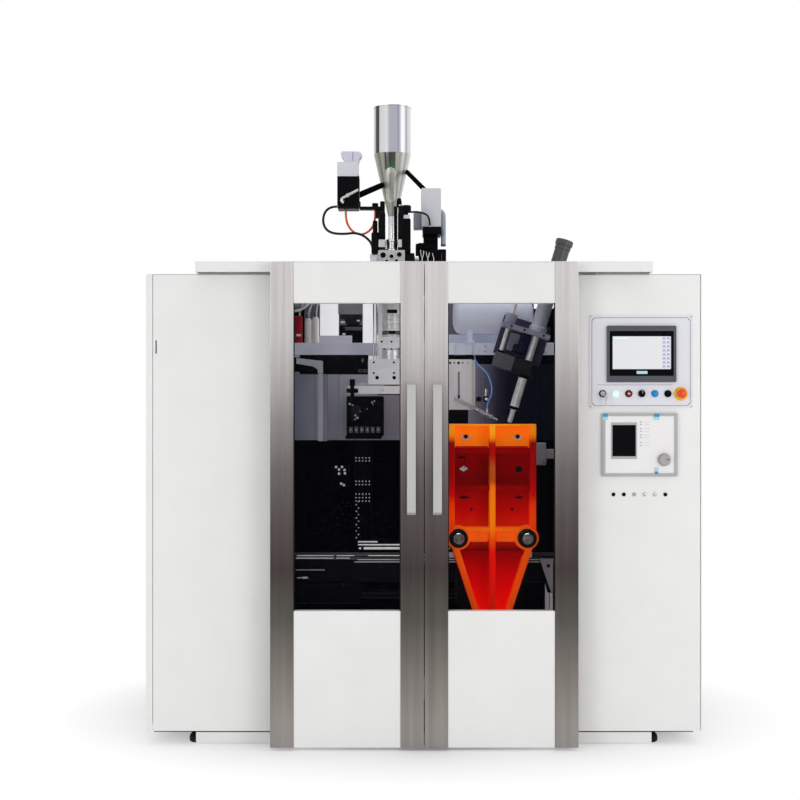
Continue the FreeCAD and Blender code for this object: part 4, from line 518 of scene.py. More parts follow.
class Piece:
    """One visible piece: its faces are gathered in millimetres and finished as a smooth mesh."""

    def __init__(self, name: str) -> None:
        """Start an empty piece."""
        self.name = name
        self.mesh = bmesh.new()
        self.finishes: list[Finish] = []

    def join(self, part: bmesh.types.BMesh, finish: Finish, place: Matrix | None = None) -> None:
        """Add a finished part to the piece with its own finish.

        Args:
            part: The part, which is used up.
            finish: Its finish.
            place: Where it goes, if it isn't made in place.
        """
        if finish not in self.finishes:
            self.finishes.append(finish)
        number = self.finishes.index(finish)
        for face in part.faces:
            face.material_index = number
            face.smooth = True
        if place is not None:
            bmesh.ops.transform(part, matrix=place, verts=part.verts)
        bmesh.ops.recalc_face_normals(part, faces=part.faces)
        scratch = bpy.data.meshes.new("scratch")
        part.to_mesh(scratch)
        part.free()
        self.mesh.from_mesh(scratch)
        bpy.data.meshes.remove(scratch)

    def box(self, x: Span, y: Span, z: Span, finish: Finish, bevel: float = 1.5,
            place: Matrix | None = None) -> None:
        """A block with rounded edges.

        Args:
            x, y, z: Its two ends along each axis.
            finish: Its finish.
            bevel: Width of the rounded edge.
            place: Where it goes, if it isn't made in place.
        """
        part = bmesh.new()
        bmesh.ops.create_cube(part, size=1.0)
        size = Vector((x[1] - x[0], y[1] - y[0], z[1] - z[0]))
        middle = Vector((sum(x) / 2, sum(y) / 2, sum(z) / 2))
        bmesh.ops.scale(part, vec=size, verts=part.verts)
        bmesh.ops.translate(part, vec=middle, verts=part.verts)
        width = min(bevel, BEVEL_SHARE * min(size))
        if width > 0:
            round_edges(part, width)
        self.join(part, finish, place)

    def plate(self, outline: Outline, low: float, high: float, finish: Finish,
              place: Matrix, holes: Sequence[Outline] = (), bevel: float = 1.0) -> None:
        """A flat outline with holes, given thickness along the placement's own Z.

        Args:
            outline: Corners of the outer edge.
            low, high: The two faces.
            finish: Its finish.
            place: Turns the outline's plane into the machine's frame.
            holes: Corners of each opening.
            bevel: Width of the rounded outer edge, where there are no holes.
        """
        loops = [outline, *holes]
        flat = [[Vector((a, b, 0)) for a, b in loop] for loop in loops]
        corners = [corner for loop in flat for corner in loop]
        part = bmesh.new()
        bottom = [part.verts.new((c.x, c.y, low)) for c in corners]
        top = [part.verts.new((c.x, c.y, high)) for c in corners]
        if len(loops) == 1:
            part.faces.new(bottom[::-1])
            part.faces.new(top)
        else:
            for three in tessellate_polygon(flat):
                part.faces.new([bottom[i] for i in three])
                part.faces.new([top[i] for i in three])
        first = 0
        for loop in flat:
            count = len(loop)
            for i in range(count):
                a, b = first + i, first + (i + 1) % count
                part.faces.new((bottom[a], bottom[b], top[b], top[a]))
            first += count
        if len(loops) == 1 and bevel:
            bmesh.ops.recalc_face_normals(part, faces=part.faces)
            round_edges(part, bevel)
        self.join(part, finish, place)

    def turned(self, section: Outline, at: Point, axis: Axis, finish: Finish,
               steps: int = 48, ring: bool = False, place: Matrix | None = None) -> None:
        """A round piece spun from its half section.

        Args:
            section: (radius, height) corners, from the low end to the high end.
            at: The point where height is zero.
            axis: Its direction.
            finish: Its finish.
            steps: Faces around it.
            ring: True if the section is a closed loop clear of the axis.
            place: Where it goes after that, such as a leaning frame.
        """
        part = bmesh.new()
        rings = []
        for radius, height in section:
            if radius <= ON_AXIS:
                rings.append([part.verts.new((0, 0, height))])
                continue
            turns = [2 * math.pi * i / steps for i in range(steps)]
            rings.append([part.verts.new((radius * math.cos(t), radius * math.sin(t), height))
                          for t in turns])
        pairs = list(zip(rings, rings[1:]))
        if ring:
            pairs.append((rings[-1], rings[0]))
        for low, high in pairs:
            for i in range(steps):
                j = (i + 1) % steps
                corners = [low[i % len(low)], low[j % len(low)], high[j % len(high)], high[i % len(high)]]
                unique = list(dict.fromkeys(corners))
                if len(unique) > 2:
                    part.faces.new(unique)
        stand = Matrix.Translation(Vector(at)) @ axis.turn()
        self.join(part, finish, place @ stand if place is not None else stand)

    def rod(self, at: Point, axis: Axis, radius: float, length: float, finish: Finish,
            bevel: float = 1.0, steps: int = 40, start: float = 0.0, place: Matrix | None = None) -> None:
        """A solid round with chamfered ends.

        Args:
            at: The point that its start is measured from.
            axis: Its direction.
            radius: Half its thickness.
            length: Its length.
            finish: Its finish.
            bevel: Width of the chamfer at its ends.
            steps: Faces around it.
            start: Where it begins along the axis.
            place: Where it goes after that, such as a leaning frame.
        """
        chamfer = min(bevel, radius * CHAMFER_OF_RADIUS, length * CHAMFER_OF_LENGTH)
        section = rounded_step(radius, start, start + length, chamfer)
        self.turned(section, at, axis, finish, steps, place=place)

    def bar(self, start: Point, end: Point, radius: float, finish: Finish, bevel: float = 1.0,
            steps: int = 24) -> None:
        """A solid round from one point to another.

        Args:
            start, end: The middles of its ends.
            radius: Half its thickness.
            finish: Its finish.
            bevel: Width of the chamfer at its ends.
            steps: Faces around it.
        """
        run = Vector(end) - Vector(start)
        place = Matrix.Translation(Vector(start)) @ run.to_track_quat("Z", "Y").to_matrix().to_4x4()
        self.rod((0, 0, 0), Axis.UP, radius, run.length, finish, bevel, steps, place=place)

    def pipe(self, points: Sequence[Point], radius: float, finish: Finish) -> None:
        """A bent rigid pipe along one smooth line.

        Args:
            points: The control points of its middle line.
            radius: Half its thickness.
            finish: Its finish.
        """
        pipe = smooth_line("pipe", points, radius)
        shape = evaluated(pipe)
        part = bmesh.new()
        part.from_mesh(shape)
        bpy.data.meshes.remove(shape)
        bpy.data.objects.remove(pipe)
        self.join(part, finish)

    def tube(self, at: Point, axis: Axis, outer: float, inner: float, length: float, finish: Finish,
             bevel: float = 0.8, steps: int = 40, start: float = 0.0, place: Matrix | None = None) -> None:
        """A round with a hole through it.

        Args:
            at: The point that its start is measured from.
            axis: Its direction.
            outer, inner: Radii of its outside and of its hole.
            length: Its length.
            finish: Its finish.
            bevel: Width of the chamfer at its outer ends.
            steps: Faces around it.
            start: Where it begins along the axis.
            place: Where it goes after that, such as a leaning frame.
        """
        low, high = start, start + length
        section = [(inner, low), (outer - bevel, low), (outer, low + bevel), (outer, high - bevel),
                   (outer - bevel, high), (inner, high)]
        self.turned(section, at, axis, finish, steps, ring=True, place=place)

    def finish(self, body: str = "frame", node: str | None = None, slot: str | None = None) -> None:
        """Turn the gathered faces into an object of the machine.

        Args:
            body: The body that it rides on.
            node: The plain node that it stands for, if any.
            slot: Not used.
        """
        mesh = bpy.data.meshes.new(self.name)
        bmesh.ops.scale(self.mesh, vec=(MM, MM, MM), verts=self.mesh.verts)
        self.mesh.to_mesh(mesh)
        self.mesh.free()
        for finish in self.finishes:
            mesh.materials.append(finish.build())
        piece = add_object(self.name, mesh)
        mesh.set_sharp_from_angle(angle=math.radians(SHARP_ANGLE))
        even = piece.modifiers.new("even", "WEIGHTED_NORMAL")
        even.keep_sharp = True
        smooth = evaluated(piece)
        piece.modifiers.clear()
        piece.data = smooth
        bpy.data.meshes.remove(mesh)
        smooth.name = self.name
        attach(piece, body)
        if node:
            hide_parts(node)
        log.info("%s: %d faces on %s", self.name, len(smooth.polygons), body)


def smooth_line(name: str, points: Sequence[Point], radius: float) -> bpy.types.Object:
    """A round smooth line whose control points are the route's own points.

    Args:
        name: Its name.
        points: The control points.
        radius: Half its thickness, in the points' own unit.

    Returns:
        The curve object, linked to the scene.
    """
    curve = bpy.data.curves.new(name, "CURVE")
    curve.dimensions = "3D"
    curve.bevel_depth = radius
    curve.bevel_resolution = 6
    curve.use_fill_caps = True
    line = curve.splines.new("NURBS")
    line.points.add(len(points) - 1)
    for spot, corner in zip(line.points, points):
        spot.co = (*corner, 1.0)
    line.order_u = 3
    line.use_endpoint_u = True
    line.resolution_u = 12
    line.use_smooth = True
    return add_object(name, curve)


def span(one: float, other: float) -> Span:
    """The stretch between two places, from low to high."""
    return (min(one, other), max(one, other))


FACING = Matrix(((1, 0, 0, 0), (0, 0, -1, 0), (0, 1, 0, 0), (0, 0, 0, 1)))


def facing(y: float, x: float = 0.0, z: float = 0.0) -> Matrix:
    """A plane that faces the operator: outline across and up, thickness towards -Y."""
    return Matrix.Translation((x, y, z)) @ FACING


def sideways(x: float, z: float = 0.0) -> Matrix:
    """A plane seen from the machine's right: outline back and up, thickness towards +X."""
    return Matrix(((0, 0, 1, x), (1, 0, 0, 0), (0, 1, 0, z), (0, 0, 0, 1)))


def circle(x: float, z: float, radius: float, steps: int = 32, start: float = 0.0) -> Outline:
    """Corners of a round opening, the first one turned by a share of a step."""
    turns = [2 * math.pi * (i + start) / steps for i in range(steps)]
    return [(x + radius * math.cos(t), z + radius * math.sin(t)) for t in turns]


def rounded_rectangle(x: Span, z: Span, radius: float, steps: int = 5) -> Outline:
    """Corners of a rectangle with round corners.

    Args:
        x, z: Its two ends across and up.
        radius: Radius of its corners.
        steps: Straight stretches in each corner.

    Returns:
        Its corners, from the right end of the upper right corner.
    """
    corners = []
    centres = [(x[1] - radius, z[1] - radius, 0), (x[0] + radius, z[1] - radius, 90),
               (x[0] + radius, z[0] + radius, 180), (x[1] - radius, z[0] + radius, 270)]
    for a, b, start in centres:
        for i in range(steps + 1):
            t = math.radians(start + 90 * i / steps)
            corners.append((a + radius * math.cos(t), b + radius * math.sin(t)))
    return corners


# Repeated pieces made by node trees

HEAD_SIDES = 28
RECESS_SIDES = 6


class PieceTree(NodeKit):
    """A geometry node tree with named inputs, grown over points."""

    def __init__(self, name: str, inputs: Sequence[tuple[str, str, object]]) -> None:
        """Start a tree with its inputs and outputs.

        Args:
            name: The tree's name.
            inputs: Each input's label, socket type and value, if any.
        """
        super().__init__(bpy.data.node_groups.new(name, "GeometryNodeTree"))
        self.tree.interface.new_socket("Places", in_out="INPUT", socket_type="NodeSocketGeometry")
        for label, kind, value in inputs:
            socket = self.tree.interface.new_socket(label, in_out="INPUT", socket_type=kind)
            if value is not None:
                socket.default_value = value
        self.tree.interface.new_socket("Pieces", in_out="OUTPUT", socket_type="NodeSocketGeometry")
        self.given = self.tree.nodes.new("NodeGroupInput")
        self.result = self.tree.nodes.new("NodeGroupOutput")

    def times(self, value: bpy.types.NodeSocket, factor: float) -> bpy.types.NodeSocket:
        """A number times a constant."""
        return self.add("ShaderNodeMath", {0: value, 1: factor}, operation="MULTIPLY").outputs[0]

    def raised(self, part: bpy.types.Node, height: bpy.types.NodeSocket) -> bpy.types.Node:
        """A part lifted by a height."""
        up = self.add("ShaderNodeCombineXYZ", {"Z": height})
        return self.add("GeometryNodeTransform", {"Geometry": part.outputs[0], "Translation": up.outputs[0]})

    def finish_with(self, shape: bpy.types.NodeSocket, main: str, special: str) -> None:
        """End the tree: real geometry, the main material, and the special one where it is marked.

        Args:
            shape: The link with the grown geometry.
            main: The input that gives the main material.
            special: The input that gives the material of marked faces.
        """
        real = self.add("GeometryNodeRealizeInstances", {"Geometry": shape})
        first = self.add("GeometryNodeSetMaterial",
                         {"Geometry": real.outputs[0], "Material": self.given.outputs[main]})
        marked = self.add("GeometryNodeInputNamedAttribute", {"Name": "special"}, data_type="BOOLEAN")
        second = self.add("GeometryNodeSetMaterial",
                          {"Geometry": first.outputs[0], "Selection": marked.outputs["Attribute"],
                           "Material": self.given.outputs[special]})
        self.give(self.result, {0: second.outputs[0]})

    def grow(self, name: str, spots: Sequence[Point], values: dict[str, object], body: str,
             place: Matrix | None = None) -> None:
        """Grow the tree's pieces and keep them as a plain mesh on a body.

        Args:
            name: The piece's name.
            spots: The points that it grows on, in metres.
            values: The tree's inputs.
            body: The body that it rides on.
            place: Where it goes, if it isn't grown in place.
        """
        mesh = bpy.data.meshes.new(name)
        mesh.from_pydata(spots, [], [])
        piece = add_object(name, mesh)
        rows = piece.modifiers.new("rows", "NODES")
        rows.node_group = self.tree
        for item in self.tree.interface.items_tree:
            if item.item_type == "SOCKET" and item.in_out == "INPUT" and item.name in values:
                rows[item.identifier] = values[item.name]
        plain = evaluated(piece)
        piece.modifiers.clear()
        piece.data = plain
        plain.name = name
        if place is not None:
            plain.transform(place)
        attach(piece, body)
        log.info("%s: %d faces on %s", name, len(plain.polygons), body)


class SocketScrews:
    """Socket screws set out over any face: a chamfered head with a six-sided recess, turned at random."""

    # Shares of a head's height: the straight shank, the crown on it, and the recess near the top
    SHANK = 0.8
    CROWN = 0.2
    RECESS_DEPTH = 0.1
    RECESS_UP = 0.96
    # Shares of its radius
    CROWN_TOP = 0.86
    RECESS_REACH = 0.52

    def __init__(self) -> None:
        """Grow the tree: a shank, a crown and a recess on each point."""
        kit = PieceTree("socket_screws", [
            ("Head radius", "NodeSocketFloat", 0.004), ("Head height", "NodeSocketFloat", 0.003),
            ("Facing", "NodeSocketVector", None), ("Seed", "NodeSocketInt", 3),
            ("Head finish", "NodeSocketMaterial", None), ("Recess finish", "NodeSocketMaterial", None),
        ])
        given = kit.given.outputs
        radius, height = given["Head radius"], given["Head height"]
        shank = kit.add("GeometryNodeMeshCylinder",
                        {"Vertices": HEAD_SIDES, "Radius": radius, "Depth": kit.times(height, self.SHANK)})
        low = kit.raised(shank, kit.times(height, self.SHANK / 2))
        crown = kit.add("GeometryNodeMeshCone", {"Vertices": HEAD_SIDES, "Radius Bottom": radius,
                                                 "Radius Top": kit.times(radius, self.CROWN_TOP),
                                                 "Depth": kit.times(height, self.CROWN)})
        high = kit.raised(crown, kit.times(height, self.SHANK))
        # The recess is a black six-sided disc standing just proud of the crown: painted shade where the
        # socket would be
        recess = kit.add("GeometryNodeMeshCylinder", {"Vertices": RECESS_SIDES,
                                                      "Radius": kit.times(radius, self.RECESS_REACH),
                                                      "Depth": kit.times(height, self.RECESS_DEPTH)})
        top = kit.raised(recess, kit.times(height, self.RECESS_UP))
        mark = kit.add("GeometryNodeStoreNamedAttribute",
                       {"Geometry": top.outputs[0], "Name": "special", "Value": True},
                       data_type="BOOLEAN", domain="FACE")
        head = kit.add("GeometryNodeJoinGeometry")
        for part in (mark, high, low):
            kit.give(head, {0: part.outputs[0]})
        points = kit.add("GeometryNodeMeshToPoints", {"Mesh": given["Places"]})
        facing_turn = kit.add("FunctionNodeEulerToRotation", {0: given["Facing"]})
        placed = kit.add("GeometryNodeInstanceOnPoints",
                         {"Points": points.outputs[0], "Instance": head.outputs[0],
                          "Rotation": facing_turn.outputs[0]})
        chance = kit.add("FunctionNodeRandomValue", {"Seed": given["Seed"], 3: math.tau}, data_type="FLOAT")
        spin = kit.add("ShaderNodeCombineXYZ", {"Z": chance.outputs[1]})
        turned = kit.add("GeometryNodeRotateInstances",
                         {"Instances": placed.outputs[0], "Rotation": spin.outputs[0]})
        kit.finish_with(turned.outputs[0], "Head finish", "Recess finish")
        self.kit = kit

    def place(self, name: str, spots: Sequence[Point], toward: Axis, radius: float, height: float,
              head: Finish, body: str = "frame", lean: Matrix | None = None) -> None:
        """Set screws on a body.

        Args:
            name: The piece's name.
            spots: Where each head sits, in millimetres.
            toward: The way the heads face.
            radius: Radius of a head.
            height: Its height.
            head: The heads' finish.
            body: The body that they ride on.
            lean: The leaning frame that the spots are in, if any.
        """
        turn = toward.turn() if lean is None else lean.to_3x3().to_4x4() @ toward.turn()
        corners = [(lean @ Vector(spot) if lean is not None else Vector(spot)) * MM for spot in spots]
        self.kit.grow(name, corners, {
            "Head radius": radius * MM, "Head height": height * MM, "Facing": tuple(turn.to_euler()),
            "Seed": len(spots), "Head finish": head.build(), "Recess finish": BLACK.build(),
        }, body)


class Fins:
    """Cooling fins round a motor: thin blades set round a circle along its axis."""

    def __init__(self) -> None:
        """Grow the tree: one blade turned round the axis for each fin."""
        kit = PieceTree("cooling_fins", [
            ("Count", "NodeSocketInt", 24), ("Radius", "NodeSocketFloat", 0.1),
            ("Blade", "NodeSocketVector", None), ("Fin finish", "NodeSocketMaterial", None),
            ("Edge finish", "NodeSocketMaterial", None),
        ])
        given = kit.given.outputs
        points = kit.add("GeometryNodePoints", {"Count": given["Count"]})
        blade = kit.add("GeometryNodeMeshCube", {"Size": given["Blade"]})
        out = kit.add("ShaderNodeCombineXYZ", {"X": given["Radius"]})
        moved = kit.add("GeometryNodeTransform",
                        {"Geometry": blade.outputs[0], "Translation": out.outputs[0]})
        placed = kit.add("GeometryNodeInstanceOnPoints",
                         {"Points": points.outputs[0], "Instance": moved.outputs[0]})
        number = kit.add("GeometryNodeInputIndex")
        share = kit.add("ShaderNodeMath", {0: number.outputs[0], 1: given["Count"]}, operation="DIVIDE")
        spin = kit.add("ShaderNodeCombineXYZ", {"Z": kit.times(share.outputs[0], math.tau)})
        turned = kit.add("GeometryNodeRotateInstances",
                         {"Instances": placed.outputs[0], "Rotation": spin.outputs[0]})
        kit.finish_with(turned.outputs[0], "Fin finish", "Edge finish")
        self.kit = kit

    def place(self, name: str, middle: Point, axis: Axis, count: int, radius: float, blade: Point,
              finish: Finish, body: str = "frame") -> None:
        """Set fins round an axis.

        Args:
            name: The piece's name.
            middle: Where the axis is at half their length.
            axis: The axis's direction.
            count: How many there are.
            radius: From the axis to the middle of a blade.
            blade: Its depth, width and length in millimetres.
            finish: Its finish.
            body: The body that they ride on.
        """
        self.kit.grow(name, [(0, 0, 0)], {
            "Count": count, "Radius": radius * MM, "Blade": tuple(part * MM for part in blade),
            "Fin finish": finish.build(), "Edge finish": finish.build(),
        }, body, Matrix.Translation(Vector(middle) * MM) @ axis.turn())


# Enclosure


@dataclass
class Enclosure:
    """White sheet panels, the beam over the doors, the skirts and the rubber feet."""

    half_width: float = 1164.0
    front: float = -845.0
    rear: float = 990.0
    roof: float = 1974.0
    bottom: float = 59.0
    edge: float = 600.0
    fold: float = 30.0

    def build(self) -> None:
        """Make every panel of the enclosure."""
        self._fronts()
        self._sides()
        self._rear_and_roof()
        self._beam()
        self._skirts()
        self._feet()

    def _fronts(self) -> None:
        """The fixed front panels beside the doors."""
        z = (self.bottom, self.roof - 3.5)
        left = Piece("left_cabinet_sheet")
        left.box((-1135, -self.edge), (self.front, self.front + self.fold), z, WHITE, 2.5)
        left.finish("frame", "left_front_panel", "white_paint")
        right = Piece("right_cabinet_sheet")
        right.box((self.edge, 1158), (self.front, self.front + self.fold), z, WHITE, 2.5)
        right.finish("frame", "right_front_panel", "white_paint")

    def _sides(self) -> None:
        """Both side panels, with the lock slot near the top of the left corner strip."""
        piece = Piece("side_sheets")
        z = (self.bottom, self.roof)
        for side, strip in ((-1, 27.5), (1, 4.5)):
            outer = side * self.half_width
            piece.box(span(outer, outer - side * 2.5), (self.front + 1, self.rear - 1), z, WHITE, 0.6)
            piece.box(span(outer, outer - side * strip), (self.front, self.front + 2.5), z, WHITE, 0.9)
            piece.box(span(outer, outer - side * 27.5), (self.rear - 2.5, self.rear), z, WHITE, 0.9)
        piece.box((-1124, -1119), (self.front - 0.4, self.front + 1), (1640, 1695), BLACK, 0.3)
        piece.finish("frame", "side_panels", "white_paint")

    def _rear_and_roof(self) -> None:
        """The rear panels with their inner trays, near black as painted shade, and the two roof panels."""
        piece = Piece("rear_sheets")
        top = self.roof - 3.5
        for x, height in (((-1135, -self.edge), top), ((self.edge, 1135), top), ((-598.5, 598.5), 1665)):
            piece.box(x, (self.rear - 12, self.rear), (self.bottom, height), WHITE, 2.0)
        # Inner trays near black: painted shade
        for x, height in (((-1134, -612), top - 1), ((-612, 612), 1664), ((612, 1134), top - 1)):
            piece.box(x, (self.rear - 29, self.rear - 12.2), (self.bottom + 1, height), DARK, 0)
        piece.finish("frame", "rear_panels", "white_paint")
        roof = Piece("roof_sheets")
        for x in ((-1161.5, -420), (720, 1161.5)):
            roof.box(x, (self.front + 2.5, self.rear - 2.5), (self.roof - 2.5, self.roof), WHITE, 0.8)
        roof.finish("frame", "roof_panels", "white_paint")

    def _beam(self) -> None:
        """The folded beam: front, top and back sheets and the lip that the door wheels run on."""
        piece = Piece("door_beam")
        x = (-951, 951)
        piece.box(x, (-895, -892), (1977, 2021), WHITE, 0.8)
        piece.box(x, (-894.5, -790.5), (2018, 2021), WHITE, 0.8)
        piece.box(x, (-793, -790), (1974, 2020), WHITE, 0.8)
        piece.box(x, (-894, -872), (1977, 1980), SILVER, 0.8)
        for end in ((-951, -948), (948, 951)):
            piece.box(end, (-894.5, -790.5), (1978, 2020), WHITE, 0.8)
        piece.finish("frame", "top_front_beam", "white_paint")

    def _skirts(self) -> None:
        """The kick plates and the brackets with the door guide rollers."""
        piece = Piece("kick_plates")
        x, z = (-958, 958), (4, 50)
        piece.box(x, (-820, -800), z, WHITE, 2.0)
        piece.box(x, (940, 960), z, WHITE, 2.0)
        for middle in (-590, 590):
            piece.box((middle - 20, middle + 20), (-896.7, -820), (16, 21), SILVER, 1.0)
            piece.rod((middle, -890.7, 21), Axis.UP, 14, 24, BLACK, 2.0)
        piece.finish("frame", "plinth_skirts", "white_paint")

    def _feet(self) -> None:
        """Rubber pads with a steel cup and a levelling screw."""
        piece = Piece("machine_feet")
        section = [(0, 0), (41, 0), (45, 4), (45, 20), (41, 30), (36, 33), (36, 36), (12, 38), (12, 50),
                   (0, 50)]
        for x in (-949, 0, 949):
            for y in (-752, 893):
                piece.turned(section, (x, y, 0), Axis.UP, RUBBER)
        piece.finish("frame", "levelling_feet", "machine_foot_rubber")


@dataclass
class SlidingDoor:
    """One sliding door: two white panels, the clear pane, two steel stiles and a bow handle."""

    side: int
    name: str
    front: float = -950.0
    back: float = -905.0
    bottom: float = 12.0
    top: float = 2010.0
    window: Span = (575.0, 1843.0)
    inner: Span = (1.5, 97.5)
    outer: Span = (538.5, 634.5)

    def _across(self, reach: Span) -> Span:
        """A span on this door's own side of the middle."""
        return span(self.side * reach[0], self.side * reach[1])

    def build(self) -> None:
        """Make the door's panels, pane, stiles with hangers, and handle."""
        body = self.name + "_door"
        between = self._across((self.inner[1], self.outer[0]))
        panels = Piece(body + "_sheets")
        panels.box(between, (self.front, self.back), (self.bottom, self.window[0]), WHITE, 2.0)
        panels.box(between, (self.front, self.back), (self.window[1], self.top), WHITE, 2.0)
        panels.finish(body, body + "_panels", "white_paint")
        pane = Piece(body + "_pane")
        pane.box(between, (self.front + 14, self.front + 20), self.window, PANE, 0.0)
        pane.finish(body, body + "_window", "clear_pane")
        self._seal(body)
        self._stiles(body)
        self._handle(body)

    def _seal(self, body: str) -> None:
        """The black strip that holds the pane on its two long sides.

        Args:
            body: The body of this door.
        """
        piece = Piece(body + "_seal")
        for near, far in ((self.inner[1], self.inner[1] + 4), (self.outer[0] - 4, self.outer[0])):
            piece.box(self._across((near, far)), (self.front + 8, self.front + 14), self.window, RUBBER, 1.0)
        piece.finish(body)

    def _stiles(self, body: str) -> None:
        """Both stiles, and the hangers with their wheels.

        Args:
            body: The body of this door.
        """
        piece = Piece(body + "_steel")
        for stile in (self.inner, self.outer):
            piece.box(self._across(stile), (self.front - 3, self.back), (self.bottom, self.top), STILE, 1.6)
        for place in (60, 470):
            x = self._across((place - 25, place + 25))
            piece.box(x, (-905, -901), (1917, 1972), SILVER, 0.8)
            piece.box(x, (-905, -865), (1968, 1972), SILVER, 0.8)
            piece.box(x, (-870, -865), (1968, 2007), SILVER, 0.8)
            piece.rod((self.side * place, -870, 1991.3), Axis.FRONT, 11, 9, BLACK)
        piece.finish(body, body + "_stiles", "stainless")

    def _handle(self, body: str) -> None:
        """A flat bow handle with tapered feet, rounded along its edges.

        Args:
            body: The body of this door.
        """
        low = self.front - 3
        section = [(low, 0), (low - 36, 12), (low - 42, 24), (low - 42, 523), (low - 36, 535), (low, 547),
                   (low, 513), (low - 30, 503), (low - 30, 44), (low, 34)]
        upright = sideways(self._across((35.5, 71.5))[0], 970)
        piece = Piece(body + "_bow_handle")
        piece.plate(section, 0, 36, HANDLE, upright, bevel=2.2)
        piece.finish(body, body + "_handle", "handle_plastic")


# Controls


@dataclass
class ControlStation:
    """The lavender plate with its screen and switches, the programmer below it, and six plugs."""

    across: Span = (692.0, 1126.0)
    up: Span = (1411.0, 1801.0)
    face: float = -848.0
    row: float = 1472.0
    first: float = 748.0
    pitch: float = 54.6
    stop_x: float = 1075.6
    seat: float = -852.3
    case: float = -856.0
    dial: Span = (1004.0, 1196.0)
    glass: tuple[Span, Span] = ((776.0, 1044.0), (1546.0, 1734.0))
    window: tuple[Span, Span] = ((787.5, 885.5), (1210.0, 1341.0))

    def build(self, screws: SocketScrews) -> None:
        """Make every piece of the controls.

        Args:
            screws: Places the socket screws.
        """
        self._plate(screws)
        self._screens()
        self._programmer()
        self._knob()
        self._collars()
        self._key()
        self._buttons()
        self._plugs()

    def _at(self, number: float, y: float) -> Point:
        """The centre of a switch in the row."""
        return (self.first + self.pitch * number, y, self.row)

    def _notched(self, inset: float, notch: float = 12.0) -> Outline:
        """The engraved outline: a rectangle with its corners cut off.

        Args:
            inset: How far it lies inside the plate's edge.
            notch: How much of each corner is cut off.

        Returns:
            Its corners, from the lower left.
        """
        low, high = self.across[0] + inset, self.across[1] - inset
        foot, head = self.up[0] + inset, self.up[1] - inset
        return [(low + notch, foot), (high - notch, foot), (high, foot + notch), (high, head - notch),
                (high - notch, head), (low + notch, head), (low, head - notch), (low, foot + notch)]

    def _plate(self, screws: SocketScrews) -> None:
        """The plate with its engraved frame, line and arc, and a screw in each corner.

        Args:
            screws: Places the socket screws.
        """
        piece = Piece("control_plate_sheet")
        piece.plate(rounded_rectangle(self.across, self.up, 6), 0, 3, LAVENDER,
                    facing(self.face + 3), bevel=0.8)
        piece.plate(self._notched(10.0), 0, 0.25, ENGRAVED, facing(self.face),
                    [self._notched(12.2)])
        piece.box((726, 1040), (self.face - 0.25, self.face), (1508, 1509.6), ENGRAVED, 0)
        middle = self._at(3, self.face)
        arc = [(radius * math.cos(turn), radius * math.sin(turn))
               for radius, turns in ((18.6, range(8)), (17.4, range(7, -1, -1)))
               for turn in [math.radians(35 + 110 * step / 7) for step in turns]]
        piece.plate(arc, 0, 0.25, ENGRAVED, facing(self.face, middle[0], middle[2]), bevel=0)
        piece.finish("frame", "control_plate", "panel_grey")
        corners = [(x, self.face, z) for x in (699, 1119) for z in (1418, 1794)]
        screws.place("control_plate_screws", corners, Axis.FRONT, 3.2, 1.6, SILVER)

    def _screens(self) -> None:
        """The screen with its bezel, page and soft keys, and the window of the programmer."""
        bezel = Piece("screen_surround")
        outer = rounded_rectangle((765, 1055), (1520, 1756), 5)
        inner = rounded_rectangle(*self.glass, 3)
        bezel.plate(outer, 0, 11, BEZEL, facing(self.face), [inner])
        bezel.finish("frame", "screen_bezel", "dark_grey_plastic")
        glass = Piece("screen_glasses")
        across, up = self.glass
        glass.box(across, (-858.5, -856), up, GLASS_BLACK, 0.4)
        glass.box((788.6, 1032), (-858.8, -858.4), (1574.5, 1711.5), DISPLAY, 0.1)
        glass.box((796, 852), (-859.0, -858.7), (1701, 1706), MINT, 0.1)
        glass.box((889, 934), (-858.9, -858.4), (1554.5, 1566.5), BADGE, 0.1)
        for column in (0, 1):
            for line in range(8):
                x, z = 996.5 + 17.6 * column, 1577.5 + 16.9 * line
                glass.box((x, x + 15.6), (-859.0, -858.7), (z, z + 14.2), KEYS, 0.1)
                glass.box((x + 3, x + 10), (-859.2, -858.9), (z + 6, z + 9.5), KEY_MARK, 0.1)
        across, up = self.window
        glass.box(across, (-856.6, -853.2), up, GLASS_BLACK, 0.4)
        glass.finish("frame", "display_screens", "screen_glass")

    def _programmer(self) -> None:
        """The case of the programmer with its face, marks and strips of tape."""
        piece = Piece("programmer_housing")
        outer = rounded_rectangle((745, 1060), (1126, 1391), 5)
        piece.plate(outer, 0, 14, CASE, facing(self.face + 3),
                    [rounded_rectangle((758, 1047), (1139, 1378), 3)])
        piece.box((757, 1048), (-856, self.face + 1), (1138, 1379), FACE, 0.5)
        piece.plate(rounded_rectangle((782, 890.5), (1199, 1351.5), 2), 0, 1.6, CASE, facing(self.case),
                    [rounded_rectangle(*self.window, 1)])
        for z in (1353, 1343, 1326, 1315, 1299, 1288, 1268, 1256):
            piece.box((902.5, 911.5), (-856.4, -855.9), (z - 2.2, z + 2.2), CASE, 0.1)
            piece.box((917, 944), (-856.15, -855.9), (z - 0.5, z + 0.5), CASE, 0)
        tabs = (((749, 768), (1375, 1389), (1361, 1375)), ((961, 984), (1375, 1388), (1363, 1375)),
                ((965, 979), (1136, 1146), (1146, 1162)))
        for x, dark, pale in tabs:
            piece.box(x, (-859.5, -856), dark, TAPE, 0.2)
            piece.box(x, (-859.4, -856), pale, PALE_TAPE, 0.2)
        piece.finish("frame", "programmer_case", "white_paint")

